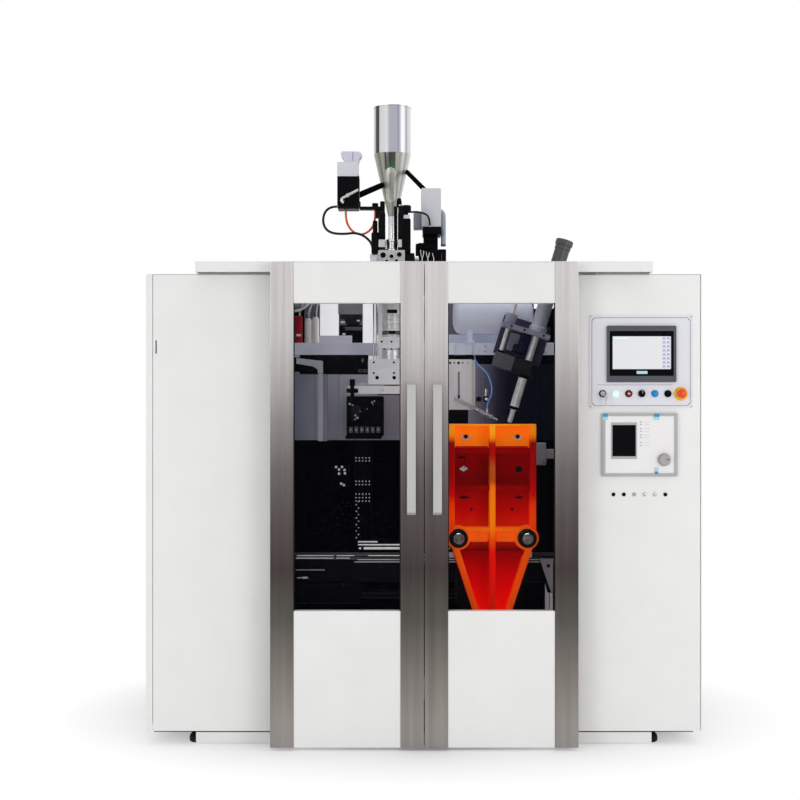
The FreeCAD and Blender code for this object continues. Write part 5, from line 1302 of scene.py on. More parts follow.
    def _knob(self) -> None:
        """The ribbed knob with its pointer."""
        piece = Piece("programmer_grip")
        middle = (self.dial[0], self.case, self.dial[1])
        section = [(0, 0), (27, 0), (27, 5), (25.5, 6.5), (24, 16), (22, 19), (19, 20), (17, 19.2), (0, 19.2)]
        piece.turned(section, middle, Axis.FRONT, KNOB, 72)
        for number in range(30):
            turn = math.radians(12 * number)
            rib = Matrix.Translation(middle) @ FACING @ Matrix.Rotation(turn, 4, "Z")
            piece.box((24.2, 25.6), (-0.9, 0.9), (6.5, 15.5), KNOB, 0.4, rib)
        piece.box((1010, 1024), (-876.3, -874.5), (1194.8, 1197.2), BLACK, 0.4)
        piece.finish("programmer_dial", "programmer_knob", "dark_grey_plastic")

    def _collars(self) -> None:
        """Collars round the switches, the pale lit one and the wide yellow one under the mushroom."""
        piece = Piece("switch_rings")
        looks = (BLACK, MINT_LENS, BLACK, BLACK, BLUE, BLACK)
        for number, finish in enumerate(looks):
            section = [(10.8, 0), (15, 0), (15, 4), (14, 6.6), (12.4, 8.6), (11.4, 9), (10.8, 8.6)]
            piece.turned(section, self._at(number, self.face), Axis.FRONT, finish, 48, ring=True)
        wide = [(10.8, 0), (28.6, 0), (29, 1), (27.5, 3), (23, 4.4), (10.8, 4.4)]
        piece.turned(wide, (self.stop_x, self.face, self.row), Axis.FRONT, YELLOW, 64, ring=True)
        piece.finish("frame", "switch_collars", "black_plastic")

    def _key(self) -> None:
        """The lock's barrel and its key, and a second key on the ring that hangs from it."""
        middle = self._at(0, -857)
        piece = Piece("key_in_lock")
        piece.rod(middle, Axis.FRONT, 10.5, 3, SILVER, 0.8)
        piece.box((middle[0] - 1.5, middle[0] + 1.5), (-872, -859), (self.row - 4, self.row + 4), SILVER, 0.5)
        bow = circle(-876.0, self.row, 8, 24)
        piece.plate(bow, 0, 2.6, SILVER, sideways(middle[0] - 1.3), [circle(-879.0, self.row, 2.6, 16)])
        piece.finish("key", "key_switch", "machined_steel")
        spare = Piece("spare_key")
        spare.plate(circle(756.5, 1452, 9, 24), 0, 2, SILVER, facing(-876),
                    [circle(755, 1457, 2.6, 16)])
        spare.plate([(754.6, 1446), (757.6, 1421), (760.4, 1418), (762.4, 1421.5), (761.2, 1446)], 0, 2,
                    SILVER, facing(-876), bevel=0.4)
        spare.turned([(9.4, -0.9), (10.6, -0.9), (10.6, 0.9), (9.4, 0.9)], (752.5, -878.6, 1464.5),
                     Axis.RIGHT, SILVER, 36, ring=True)
        spare.finish()

    def _button(self, name: str, node: str, body: str, slot: str, number: int, finish: Finish,
                mark: Finish | None = None) -> None:
        """A round push button with a slightly crowned front.

        Args:
            name: The piece's name.
            node: The plain node that it stands for.
            body: The body that it rides on.
            slot: The name of its material slot, passed on to the piece's finish.
            number: Its place in the row of switches.
            finish: Its finish.
            mark: Finish of the cross on its front, if it has one.
        """
        piece = Piece(name)
        section = [(0, 0), (10.3, 0), (10.5, 3), (10.2, 5.4), (8.6, 7.2), (5.5, 7.8), (0, 8)]
        piece.turned(section, self._at(number, self.seat), Axis.FRONT, finish, 40)
        if mark is not None:
            x = self._at(number, 0)[0]
            piece.box((x - 5.5, x + 5.5), (-860.5, -859.6), (self.row - 0.9, self.row + 0.9), mark, 0.2)
            piece.box((x - 0.9, x + 0.9), (-860.5, -859.6), (self.row - 5.5, self.row + 5.5), mark, 0.2)
        piece.finish(body, node, slot)

    def _buttons(self) -> None:
        """Four push buttons, the selector and the emergency stop."""
        self._button("start_lens", "start_button", "start", "green_plastic", 1, MINT_LENS)
        self._button("stop_cap", "stop_button", "stop", "red_plastic", 2, RED, FACE)
        self._button("reset_cap", "reset_button", "reset", "blue_plastic", 4, BLUE)
        self._button("lamp_cap", "lamp_button", "lamp", "black_plastic", 5, BLACK)
        selector = Piece("selector_grip")
        middle = self._at(3, -857)
        selector.turned([(0, -7), (10.2, -7), (10.2, 0.4), (13, 0.4), (13, 6), (11.5, 9), (9, 10), (0, 10)],
                        middle, Axis.FRONT, BLACK)
        selector.box((middle[0] - 4, middle[0] + 4), (-873, -860), (self.row - 12, self.row + 12),
                     BLACK, 1.6)
        selector.box((middle[0] - 0.8, middle[0] + 0.8), (-873.2, -872.4), (self.row + 2, self.row + 10),
                     FACE, 0.2)
        selector.finish("selector", "selector_knob", "black_plastic")
        stop = Piece("stop_mushroom_head")
        section = [(0, 0), (10.3, 0), (10.3, 13.7), (17.5, 13.9), (19.6, 16), (20, 19), (18.8, 23.5),
                   (14, 26.6), (8, 27.6), (0, 27.7)]
        stop.turned(section, (self.stop_x, self.seat, self.row), Axis.FRONT, MUSHROOM, 64)
        stop.finish("emergency", "emergency_stop", "red_plastic")

    def _plugs(self) -> None:
        """Six domed plugs and sockets in a row."""
        piece = Piece("row_of_plugs")
        looks = (BLACK, BLACK, KNOB, SILVER, SILVER, BLACK)
        for number, finish in enumerate(looks):
            section = [(0, 0), (8, 0), (8, 2.5), (6.8, 4.6), (4, 5.7), (0, 6)]
            piece.turned(section, (794 + 43.4 * number, -845, 1050), Axis.FRONT, finish, 40)
        piece.finish("frame", "panel_plugs", "black_plastic")


# Platform and what stands on it

@dataclass
class Platform:
    """The raised platform: beams, white columns and saddle, the back wall, the side box and the trunk."""

    half: float = 1054.0
    low: float = PLATFORM_LOW
    top: float = PLATFORM_TOP
    front: Span = (PLATFORM_FRONT, -170.0)
    rear: Span = (600.0, 680.0)
    columns: tuple[Span, ...] = ((-468.0, -384.0), (-271.0, -206.0), (-70.0, -5.0))

    def build(self, screws: SocketScrews) -> None:
        """Make the platform's pieces.

        Args:
            screws: Places the socket screws.
        """
        piece = Piece("platform_beams")
        for y in (self.front, self.rear):
            piece.box((-self.half, self.half), y, (self.low, self.top), BEAM, 4)
        piece.box((-472, -320), (-254, -250), (1712, 1754), LIP, 1)
        piece.box((10, 420), (-170, -166), (1690, 1764), BEAM, 1)
        piece.finish("frame", "platform_frame", "white_paint")
        posts = Piece("platform_columns")
        for x in self.columns:
            posts.box(x, (-170, 600), (self.low, self.top), COLUMN, 2)
            posts.box(x, self.front, (self.top, 1905), COLUMN, 2)
        posts.box((-468, -5), self.front, (1905, 1917), COLUMN, 1.5)
        posts.box((-192, -84), (-230, -190), (1917, 1975), COLUMN, 2)
        posts.box((-477, -454), self.front, (1269, 1580), POST, 3)
        posts.box((-454, -436), (-246, -174), (1269, 1578), HAZE, 2)
        posts.plate([(-576, 1651), (-576, 1625), (-500, 1612), (-480, 1600), (-477, 1580), (-454, 1580),
                     (-454, 1637)], 0, 3, POST, facing(-250.2), bevel=0.6)
        posts.box((-384, -271), (-256, -250), (1852, 1917), GREY_PLATE, 0.8)
        posts.finish()
        # The back wall and its ribs wear the wall finish's painted light and shade
        wall = Piece("back_wall_sheet")
        wall.box((-self.half, self.half), (430, 433), (BAY_FLOOR, self.low), WALL, 0.8)
        for x in (-900, -640, -520, -400, 320, 600, 900):
            wall.box((x - 9, x + 9), (422, 430), (BAY_FLOOR, self.low), WALL, 3)
        wall.finish()
        guard = Piece("rear_guard_sheets")
        for x, top in (((-598, -290), 1968), ((20, 598), 1994)):
            guard.box(x, (645, 648), (self.top, top), GUARD, 0.8)
        guard.finish()
        self._services()
        self._strip(screws)
        side = Piece("side_junction_box")
        side.box((498, 572), self.front, (1158, 1261), PALE, 4)
        side.box((572, self.half), self.front, (1188, 1231), PALE, 3)
        side.box((504, 566), (-252, -250), (1164, 1255), PALE, 0.8)
        side.box((552, 575), (-262, -250), (1172, 1182), SILVER, 2)
        side.finish()
        self._trunk()
        spots = [(x, self.front[0], z) for x in (-20, 60, 290, 560) for z in (1680, 1706)]
        screws.place("beam_screws", spots, Axis.FRONT, 6, 4, SILVER)

    def _strip(self, screws: SocketScrews) -> None:
        """The black terminal strip behind the carriage, with its bars and rows of small screws lit by painted
        glints.

        Args:
            screws: Places the socket screws.
        """
        piece = Piece("terminal_strip")
        piece.box((-350, -252), (930, 960), (690, 1262), BLACK, 3)
        piece.box((-470, -372), (936, 960), (1010, 1130), BLACK, 3)
        piece.box((-352, -40), (932, 960), (664, 730), BLACK, 3)
        # Bars that shine with emission: painted glints
        for start, reach, z, radius in ((-327, 106, 716, 3.5), (-327, 270, 700, 3.5), (-296, 239, 681, 6.5),
                                        (-322, 12, 681, 5)):
            piece.rod((start, 932 - radius + 1, z), Axis.RIGHT, radius, reach, GLINT, 0.8, 24)
        piece.finish()
        post = Piece("bay_post_sheets")
        post.plate([(510, 758), (569, 758), (569, 611), (560, 611)], 0, 1.2, GREY_PLATE, facing(-575),
                   [circle(549, 726, 8, 28)], bevel=0.3)
        post.box((535, 553.5), (-568.2, -567), (132, 690), POST, 0.3)
        post.box((556, 569), (-568.2, -567), (132, 609), BRACKET, 0.3)
        post.finish()
        # Small screws whose bright heads are painted glints
        rows = [(-338 + 18 * step, 930, z) for z in (1169, 1153, 1043, 1025, 974, 954, 936)
                for step in range(5)]
        rows += [(x, 930, first - 35.6 * step) for x, first in ((-336, 916), (-324, 934))
                 for step in range(6)]
        screws.place("terminal_screws", rows, Axis.FRONT, 3.0, 2.5, GLINT)
        # Small heads lit by painted glints
        glint_heads = [(x, 936, z) for x, z in ((-446, 1120), (-430, 1106), (-414, 1120), (-400, 1104),
                                          (-430, 1084), (-398, 1086), (-418, 1030), (-404, 1022))]
        screws.place("terminal_painted_glints", glint_heads, Axis.FRONT, 6.0, 3.0, GLINT)

    def _services(self) -> None:
        """The red canister, the cream filters and the silver pipes beside the first column."""
        piece = Piece("service_units")
        piece.box((-585, -551), (-232, -196), (self.top, 1846), SCARLET, 7)
        piece.box((-578, -556), (-234, -231), (1752, 1762), CREAM, 1)
        for x, top in ((-524, 1836), (-490, 1842)):
            piece.turned([(0, self.top), (17, self.top), (17, 1740), (14, 1744), (16, 1748), (16, top - 12),
                          (11, top), (0, top)], (x, -214, 0), Axis.UP, CREAM, 40)
        for x, lean in ((-566, 30), (-524, 34), (-490, 12)):
            piece.pipe([(x, -214, 1836), (x, -214, 1866), (x + 0.3 * lean, -214, 1890),
                        (x + 0.8 * lean, -214, 1925), (x + lean, -214, 1965)], 7, SILVER)
        piece.pipe([(-590, -230, 1868), (-560, -230, 1872), (-530, -230, 1892), (-500, -230, 1926),
                    (-480, -230, 1962)], 6, CREAM)
        piece.finish()

    def _trunk(self) -> None:
        """The black cable trunk, the valve box behind the die and the drive box between the columns."""
        piece = Piece("black_boxes")
        piece.box((-562, -246), self.front, (1578, self.low), BLACK, 3)
        piece.box((-600, -562), (-240, -180), (1590, 1655), BLACK, 3)
        piece.box((100, 1050), (-238, -200), (1624, 1665), BLACK, 3)
        piece.box((-276, -268), (-253, -250), (1632, 1648), GREY_PLATE, 0.8)
        for x in (-283, -262):
            piece.turned([(6, 0), (8, 0), (8, 3), (6, 3)], (x, -250, 1592), Axis.FRONT, GREY_PLATE, 24,
                         ring=True)
        piece.box((-364, -181), (240, 430), (1290, 1487), BLACK, 4)
        piece.box((-370, -190), (232, 244), (1276, 1292), BLACK, 2)
        for number in range(6):
            x = -352 + 27 * number
            piece.box((x, x + 19), (231, 240), (1306, 1336), GRAPHITE, 2)
            piece.rod((x + 9.5, 231, 1321), Axis.FRONT, 3.5, 5, SILVER, 1)
        piece.box((-340, -300), (228, 240), (1380, 1440), MOTOR, 3)
        for x, z, reach in ((-348, 1448, 6), (-334, 1442, 4), (-238, 1456, 5), (-226, 1462, 4),
                            (-232, 1446, 3), (-320, 1392, 5), (-310, 1380, 6), (-322, 1372, 4),
                            (-296, 1412, 3), (-262, 1424, 2.5)):
            piece.rod((x, 240, z), Axis.FRONT, reach, 14, ALLOY, 1, 20)
        piece.box((-381, -273), (-210, -170), (self.top, 1805), BLACK, 3)
        piece.box((-379, -275), (-200, -170), (1832, 1861), MOTOR, 3)
        piece.rod((-318, -170, 1832), Axis.FRONT, 38, 34, MOTOR, 3, 56)
        piece.box((-352, -278), (-216, -204), (1781, 1797), GRAPHITE, 2)
        piece.box((-374, -354), (-214, -204), (1815, 1822), CREAM, 2)
        piece.box((-300, -286), (-214, -204), (1822, 1829), CREAM, 2)
        piece.box((-366, -352), (-216, -204), (1758, 1768), BRACKET, 2)
        piece.finish("frame", "cable_trunk", "black_plastic")


@dataclass
class Extruder:
    """Barrel with band heaters, feed throat, gearbox and finned motor."""

    x: float = EXTRUDER_X
    z: float = 1985.0
    front: float = -285.0

    def build(self, screws: SocketScrews, fins: Fins) -> None:
        """Make the extruder's pieces.

        Args:
            screws: Places the socket screws.
            fins: Places the motor's fins.
        """
        barrel = Piece("barrel_and_heaters")
        barrel.tube((self.x, self.front, self.z), Axis.BACK, 48, 25.4, 560, PLAIN_STEEL, 1.5, 56)
        barrel.tube((self.x, self.front, self.z), Axis.BACK, 70, 48, 24, PLAIN_STEEL, 2, 56)
        barrel.tube((self.x, 251, self.z), Axis.BACK, 70, 48, 24, PLAIN_STEEL, 2, 56)
        for number in range(3):
            start = -160 + 145 * number
            section = [(49, 0), (60, 0), (62, 2), (62, 30), (60.6, 31), (60.6, 34), (62, 35), (62, 95),
                       (60.6, 96), (60.6, 99), (62, 100), (62, 128), (60, 130), (49, 130)]
            barrel.turned(section, (self.x, start, self.z), Axis.BACK, ALLOY, 56, ring=True)
            barrel.box((self.x - 14, self.x + 14), (start + 40, start + 90), (self.z + 60, self.z + 69),
                       GRAPHITE, 2)
        barrel.box((self.x - 75, self.x + 75), (275, 425), (1910, 2120), PLAIN_STEEL, 4)
        barrel.tube((self.x, 350, 2120), Axis.UP, 45, 22, 136, PLAIN_STEEL, 2, 48)
        barrel.tube((self.x, 350, 2240), Axis.UP, 45, 22, 16, WHITE, 2, 48)
        barrel.finish("frame", "extruder_barrel", "machined_steel")
        ring = [(x, self.front, z) for x, z in circle(self.x, self.z, 60, 8)]
        screws.place("barrel_screws", ring, Axis.FRONT, 5, 5, OXIDE)
        drive = Piece("gearbox_and_motor")
        drive.box((-268, -8), (425, 675), (1815, 2125), MOTOR, 8)
        drive.box((-276, 0), (470, 480), (1830, 2110), MOTOR, 3)
        for x in (-268, -58):
            drive.box((x, x + 50), (440, 660), (self.z - 264, 1815), MOTOR, 4)
        section = [(0, 0), (98, 0), (98, 150), (105, 152), (105, 180), (98, 190), (0, 190)]
        drive.turned(section, (self.x, 675, self.z), Axis.BACK, MOTOR, 56)
        drive.box((-178, -98), (715, 795), (2080, 2105), MOTOR, 4)
        drive.finish("frame", "extruder_drive", "black_oxide")
        fins.place("motor_fins", (self.x, 750, self.z), Axis.BACK, 36, 98, (12, 3, 140), MOTOR)


@dataclass
class Hopper:
    """The polished bin, its long cone with a sight window and slot, and the outlet pipe."""

    x: float = EXTRUDER_X
    y: float = HOPPER_Y
    foot: float = 2256.0
    pipe_top: float = 2388.0
    shoulder: float = 2697.0
    top: float = 2931.0
    pipe: float = 22.0
    radius: float = 92.5

    def _wall(self, x: float, z: float) -> float:
        """How far forward the cone's wall is at a point seen from the front."""
        reach = self.pipe + (self.radius - self.pipe) * (z - self.pipe_top) / (self.shoulder - self.pipe_top)
        return self.y - math.sqrt(max(reach * reach - (x - self.x) ** 2, 1.0))

    def _patch(self, piece: Piece, x: float, z: Span, half: Span, proud: Span, finish: Finish,
               ends: float) -> None:
        """A strip that follows the cone, with rounded ends.

        Args:
            piece: The piece that it joins.
            x: Its middle.
            z: Its low and high ends.
            half: Half its width at each end.
            proud: Where its back and its face are, outward from the wall.
            finish: Its finish.
            ends: Height of the rounding at each end.
        """
        part = bmesh.new()
        lines = 26
        wide = 10
        layers = []
        for depth in proud:
            grid = []
            for line in range(lines + 1):
                share = line / lines
                height = z[0] + (z[1] - z[0]) * share
                width = half[0] + (half[1] - half[0]) * share
                edge = min(height - z[0], z[1] - height)
                if ends and edge < ends:
                    width *= math.sqrt(max(0.0, 1 - (1 - edge / ends) ** 2)) * 0.92 + 0.08
                row = []
                for step in range(wide + 1):
                    across = x + width * (2 * step / wide - 1)
                    row.append(part.verts.new((across, self._wall(across, height) - depth, height)))
                grid.append(row)
            layers.append(grid)
        back, face = layers
        for line in range(lines):
            for step in range(wide):
                for grid in (back, face):
                    part.faces.new((grid[line][step], grid[line][step + 1], grid[line + 1][step + 1],
                                    grid[line + 1][step]))
            for step in (0, wide):
                part.faces.new((back[line][step], back[line + 1][step], face[line + 1][step],
                                face[line][step]))
        for line in (0, lines):
            for step in range(wide):
                part.faces.new((back[line][step], face[line][step], face[line][step + 1],
                                back[line][step + 1]))
        piece.join(part, finish)

    def build(self) -> None:
        """Make the hopper with its window and slot."""
        bin_piece = Piece("hopper_shell")
        shell = [(self.pipe, 0), (self.radius, self.shoulder - self.pipe_top),
                 (self.radius - 2, self.shoulder - self.pipe_top), (self.pipe - 2, 0)]
        at = (self.x, self.y, self.pipe_top)
        bin_piece.turned(shell, at, Axis.UP, CONE, 96, ring=True)
        height = self.top - self.shoulder
        wall = [(self.radius, 0), (self.radius, height - 4), (self.radius + 3, height - 3),
                (self.radius + 3, height - 1), (self.radius + 2, height), (self.radius - 2, height),
                (self.radius - 2, 0)]
        bin_piece.turned(wall, (self.x, self.y, self.shoulder), Axis.UP, BIN, 96, ring=True)
        bin_piece.tube((self.x, self.y, self.foot + 8), Axis.UP, self.pipe, self.pipe - 2,
                       self.pipe_top - self.foot - 8, CHROME, 0.6, 48)
        bin_piece.tube((self.x, self.y, self.foot), Axis.UP, 45, self.pipe - 2, 8, WHITE, 1, 48)
        self._patch(bin_piece, self.x - 12, (2612, 2694), (25, 27), (-1.5, 0.6), GREEN_WINDOW, 0)
        self._patch(bin_piece, self.x - 8, (2452, 2622), (23, 27), (-1.5, 1.0), SLOT_RIM, 26)
        self._patch(bin_piece, self.x - 6, (2462, 2600), (9, 13), (-1.0, 1.6), SLOT, 12)
        bin_piece.finish("frame", "hopper", "stainless")


@dataclass
class ParisonHead:
    """The die block, the stacked stem above it, the elbow, and the valves on top."""

    x: float = EXTRUDER_X
    y: float = HEAD_Y
    die_top: float = 1636.0
    face: float = -452.2

    def build(self, screws: SocketScrews) -> None:
        """Make the head and its valves."""
        self._block(screws)
        self._valves(screws)

    def _block(self, screws: SocketScrews) -> None:
        """The die block, the stem, the plate round it and the elbow.

        Args:
            screws: Places the socket screws.
        """
        piece = Piece("die_block")
        small = [(x, z) for x in (-217, -127, -59) for z in (1574, 1621)]
        large = [(-202, 1553), (-126, 1553), (-74, 1553)]
        holes = [circle(x, z, 5.0, 20) for x, z in small] + [circle(x, z, 8.5, 28) for x, z in large]
        piece.plate(rounded_rectangle((-242, -34), (1523, self.die_top), 2), 0, 12, DIE, facing(-452), holes)
        piece.box((-242, -34), (self.face, -256), (1523, self.die_top), DIE, 2)
        for x, z in small:
            piece.rod((x, self.face, z), Axis.FRONT, 4.8, 3, BLACK, 0.3, 16)
        for x, z in large:
            piece.rod((x, self.face, z), Axis.FRONT, 8.2, 3, BLACK, 0.3, 20)
        piece.rod((self.x, self.y, 1523), Axis.UP, 34, 6, OXIDE, 1, 40, start=-6)
        stem = [(0, 1636), (46, 1636), (46, 1650), (50, 1652), (50, 1678), (46, 1681), (40, 1683), (40, 1741),
                (48, 1743), (50, 1746), (50, 1768), (46, 1771), (44, 1774), (44, 1798), (49, 1800),
                (49, 1812), (42, 1816), (42, 1838), (50, 1841), (50, 1862), (47, 1865), (47, 1905), (0, 1905)]
        piece.turned(stem, (self.x, self.y, 0), Axis.UP, STEM, 56)
        piece.plate(rounded_rectangle((-200, -76), (1687, 1737), 3), 0, 10, DIE, facing(-412),
                    [circle(x, 1716, 5, 24) for x in (-182, -138, -94)])
        piece.box((-200, -76), (-412.2, -298), (1687, 1737), DIE, 2)
        for x in (-182, -138, -94):
            piece.rod((x, -412.2, 1716), Axis.FRONT, 4.8, 2, BLACK, 0.3, 16)
        piece.box((-199, -180), (-400, -380), (1636, 1905), DIE, 2)
        for x in (-207, -219):
            piece.rod((x, self.y, self.die_top), Axis.UP, 3.2, 269, CHROME, 1, 24)
        piece.tube((self.x, self.y, 1748), Axis.UP, 53, 50, 18, GRAPHITE, 1, 48)
        piece.box((-150, -120), (-420, -408), (1752, 1764), OXIDE, 2)
        piece.box((-158, -112), (-418, -404), (1844, 1860), OXIDE, 2)
        piece.box((-208, -68), (-430, -285), (1905, 2057), ALLOY, 5)
        piece.box((-242, -230), (-350, -300), (1600, 1636), OXIDE, 2)
        piece.box((-339, -242), (-450, -440), (1517, 1530), MACHINED, 2)
        piece.finish("frame", "die_head", "machined_steel")
        ring = [(x, y, 1682) for x, y in circle(self.x, self.y - 8, 36, 6, 0.5)]
        screws.place("die_ring_screws", ring, Axis.UP, 4.5, 5, OXIDE)
        block = [(x, -430, z) for x in (-198, -138, -78) for z in (1918, 2044)]
        screws.place("elbow_screws", block, Axis.FRONT, 6, 5, OXIDE)

    def _valves(self, screws: SocketScrews) -> None:
        """The valve block with its two black stacks, and the knobs beside them.

        Args:
            screws: Places the socket screws.
        """
        piece = Piece("valve_stack")
        piece.box((-198, -78), (-420, -300), (2057, 2127), MACHINED, 4)
        for x, z, reach in ((-176, 2103, 13), (-138, 2098, 9), (-103, 2106, 11), (-160, 2076, 8),
                            (-116, 2078, 8)):
            piece.rod((x, -420.5, z), Axis.FRONT, reach, 1.5, BLACK, 0.3, 32)
            piece.turned([(reach, 0), (reach + 3, 0), (reach + 3, 3), (reach, 3)], (x, -420, z), Axis.FRONT,
                         SILVER, 32, ring=True)
        piece.turned([(0, 2127), (28, 2127), (28, 2136), (21, 2139), (21, 2168), (24, 2170), (24, 2180),
                      (0, 2180)], (self.x, self.y, 0), Axis.UP, PLAIN_STEEL, 48)
        for x, top in ((-182, 2347), (-94, 2300)):
            piece.box((x - 16, x + 16), (-400, -330), (2127, 2300), OXIDE, 5)
            piece.box((x - 14, x + 14), (-407, -398), (2140, 2176), PLAIN_STEEL, 3)
            piece.box((x - 15, x + 11), (-405, -398), (2208, 2224), GRAPHITE, 3)
            piece.rod((x, -404, 2184), Axis.UP, 12, 116, BLACK, 3, 32)
            piece.rod((x + 3, -375, 2300), Axis.UP, 11, top - 2300 + 4, BLACK, 3, 32)
        piece.box((-212, -168), (-380, -344), (2277, 2314), OXIDE, 5)
        piece.box((-108, -78), (-410, -310), (2277, 2327), OXIDE, 5)
        piece.rod((-120, -330, 2127), Axis.UP, 8, 210, OXIDE, 3, 32)
        piece.turned([(0, 2327), (9, 2327), (12, 2334), (12, 2352), (8, 2367), (0, 2367)],
                     (-104, self.y, 0), Axis.UP, BLACK, 40)
        piece.box((-283, -188), (-380, -340), (2314, 2328), OXIDE, 3)
        piece.box((-226, -198), (-378, -342), (2328, 2344), BLACK, 4)
        piece.box((-238, -198), (-385, -335), (2073, 2113), SILVER, 4)
        piece.rod((-222, self.y, 2098), Axis.UP, 8.5, 15, GRAPHITE, 1.5, 24)
        piece.box((-78, -35), (-390, -330), (2067, 2117), OXIDE, 4)
        piece.rod((-35, self.y, 2092), Axis.RIGHT, 14, 20, SILVER, 2, 32)
        piece.rod((-88, -352, 2306), Axis.RIGHT, 7.5, 6, SILVER, 1.2, 24, start=-4)
        piece.finish("frame", "head_valves", "anodised_alloy")
        knobs = Piece("valve_knobs")
        knobs.turned([(0, 0), (9, 0), (9, 12), (20, 15), (22, 20), (22, 42), (18, 46), (0, 46)],
                     (-72, -392, 2284), Axis.UP, BLACK, 40)
        knobs.box((-88, -56), (-410, -374), (2268, 2286), SILVER, 3)
        knobs.box((-92, -52), (-414, -370), (2117, 2268), BLACK, 4)
        knobs.rod((-212, -392, 2113), Axis.UP, 17, 96, BLACK, 4, 32)
        knobs.rod((-212, -392, 2209), Axis.UP, 11, 52, BLACK, 3, 32)
        knobs.finish()
        corners = [(x, y, 2327) for x in (-101, -86) for y in (-400, -320)]
        screws.place("cap_screws", corners, Axis.UP, 5, 5, SILVER)


@dataclass
class RoofUnits:
    """What stands beside the hopper: the parison servo, the air unit, the stays and the air receiver."""

    def build(self) -> None:
        """Make each unit."""
        self._servo()
        self._air_unit()
        self._receiver()

    def _servo(self) -> None:
        """The parison servo with its pale lid, its stay and a bent fitting."""
        piece = Piece("servo_and_stay")
        piece.box((-382, -283), (-406, -314), (2328, 2463), BLACK, 4)
        piece.box((-380, -285), (-404, -316), (2314, 2329), OXIDE, 3)
        piece.box((-380, -378), (-400, -320), (2330, 2460), OXIDE, 0.8)
        piece.box((-382, -287), (-410, -310), (2465, 2524), PALE, 4)
        piece.box((-380, -289), (-408, -312), (2459, 2467), PALE, 2)
        lid = [(-366, 2566), (-358, 2573), (-286, 2573), (-272, 2563), (-271, 2556), (-283, 2542),
               (-286, 2524), (-352, 2524), (-354, 2542), (-366, 2555)]
        piece.plate(lid, 0, 80, LID, facing(-320), bevel=2.5)
        piece.box((-313, -310), (-400.6, -399), (2530, 2568), ENGRAVED, 0.2)
        piece.box((-292, -278), (-376, -344), (2328, 2352), OXIDE, 3)
        piece.rod((-382, -360, 2330), Axis.RIGHT, 8, 6, SILVER, 1, 24, start=-2)
        piece.rod((-346, -340, 2314), Axis.UP, 7.5, 5, SILVER, 1, 24, start=-3)
        piece.finish("frame", "parison_servo", "black_oxide")
        stay = Piece("left_stay")
        stay.bar((-300, -310, 2384), (-190, 345, 2545), 14, STAY, 1.5)
        stay.bar((-300, -320, 2381.5), (-297, -298, 2388), 13, GRAPHITE, 1.5)
        stay.finish()
        fitting = Piece("silver_tee")
        fitting.pipe([(-352, -418, 2339), (-363, -418, 2345), (-360, -418, 2358), (-345, -418, 2364),
                      (-318, -418, 2380), (-287, -416, 2396)], 7, PLAIN_STEEL)
        fitting.rod((-334, -418, 2371), Axis.FRONT, 9, 14, PLAIN_STEEL, 1.5, 24, start=-10)
        fitting.finish()

    def _air_unit(self) -> None:
        """The air unit on its post, its stay, and the valves below with their thin pipes."""
        piece = Piece("air_unit_cover")
        piece.box((12, 74), (-250, -190), (PLATFORM_TOP, 2213), BLACK, 3)
        piece.box((4, 88), (-310, -170), (2213, 2247), BLACK, 3)
        piece.box((-2, 88), (-280, -160), (2247, 2428), PALE, 5)
        piece.box((-1, 87), (-281, -278), (2249, 2426), PALE, 2)
        piece.pipe([(100, -220, 2169), (100, -220, 2200), (100, -220, 2270), (100, -220, 2305),
                    (96, -220, 2324), (86, -220, 2330)], 11.5, BLUE_GREY)
        piece.box((-38, -2), (-245, -175), (2247, 2322), BLUE_GREY, 4)
        piece.rod((100, -220, 2168), Axis.UP, 12, 10, GRAPHITE, 1.5, 32)
        piece.rod((36, -297, 2243), Axis.UP, 7, 8, SILVER, 1, 24)
        piece.finish("frame", "air_unit", "panel_grey")
        stay = Piece("right_stay")
        stay.bar((25, -205, 2420), (-66, 345, 2612), 11, STAY, 1.2)
        stay.finish()
        lower = Piece("air_valves")
        lower.box((-28, 74), (-262, -190), (2062, 2176), BLACK, 5)
        lower.box((-16, 40), (-268, -260), (2150, 2178), BLACK, 3)
        lower.box((74, 112), (-262, -190), (2042, 2150), BLACK, 4)
        lower.box((90, 92.5), (-264, -262), (2062, 2130), RED, 0.4)
        for number, x in enumerate((-6, 8, 20, 34, 48)):
            swing = 9 * (-1) ** number
            lower.pipe([(x, -266, 2146 - 4 * number), (x, -268, 2128), (x + swing, -270, 2098),
                        (x, -270, 2066), (x - swing, -268, 2030)], 2.6, SILVER)
        lower.box((-44, -28), (-250, -205), (2090, 2120), SILVER, 3)
        lower.box((8, 74), (-258, -190), (2186, 2213), BLACK, 3)
        lower.finish()

    def _receiver(self) -> None:
        """The air receiver on two saddles."""
        piece = Piece("air_tank")
        section = [(0, 144), (40, 145), (62, 150), (76, 160), (84, 174), (86, 190), (86, 466), (84, 482),
                   (76, 496), (62, 506), (40, 511), (0, 512)]
        piece.turned(section, (0, -210, 1849), Axis.RIGHT, TANK, 72)
        for x in (190, 466):
            piece.turned([(84, x - 2), (87, x - 2), (87, x + 2), (84, x + 2)], (0, -210, 1849), Axis.RIGHT,
                         TANK, 72, ring=True)
        for x in (210, 420):
            piece.box((x, x + 24), (-262, -158), (PLATFORM_TOP, 1790), TANK, 3)
            piece.box((x - 10, x + 34), (-268, -152), (PLATFORM_TOP, 1729), TANK, 2)
        piece.rod((330, -210, 1928), Axis.UP, 14, 10, SILVER, 2, 32)
        piece.finish("frame", "air_receiver", "white_paint")


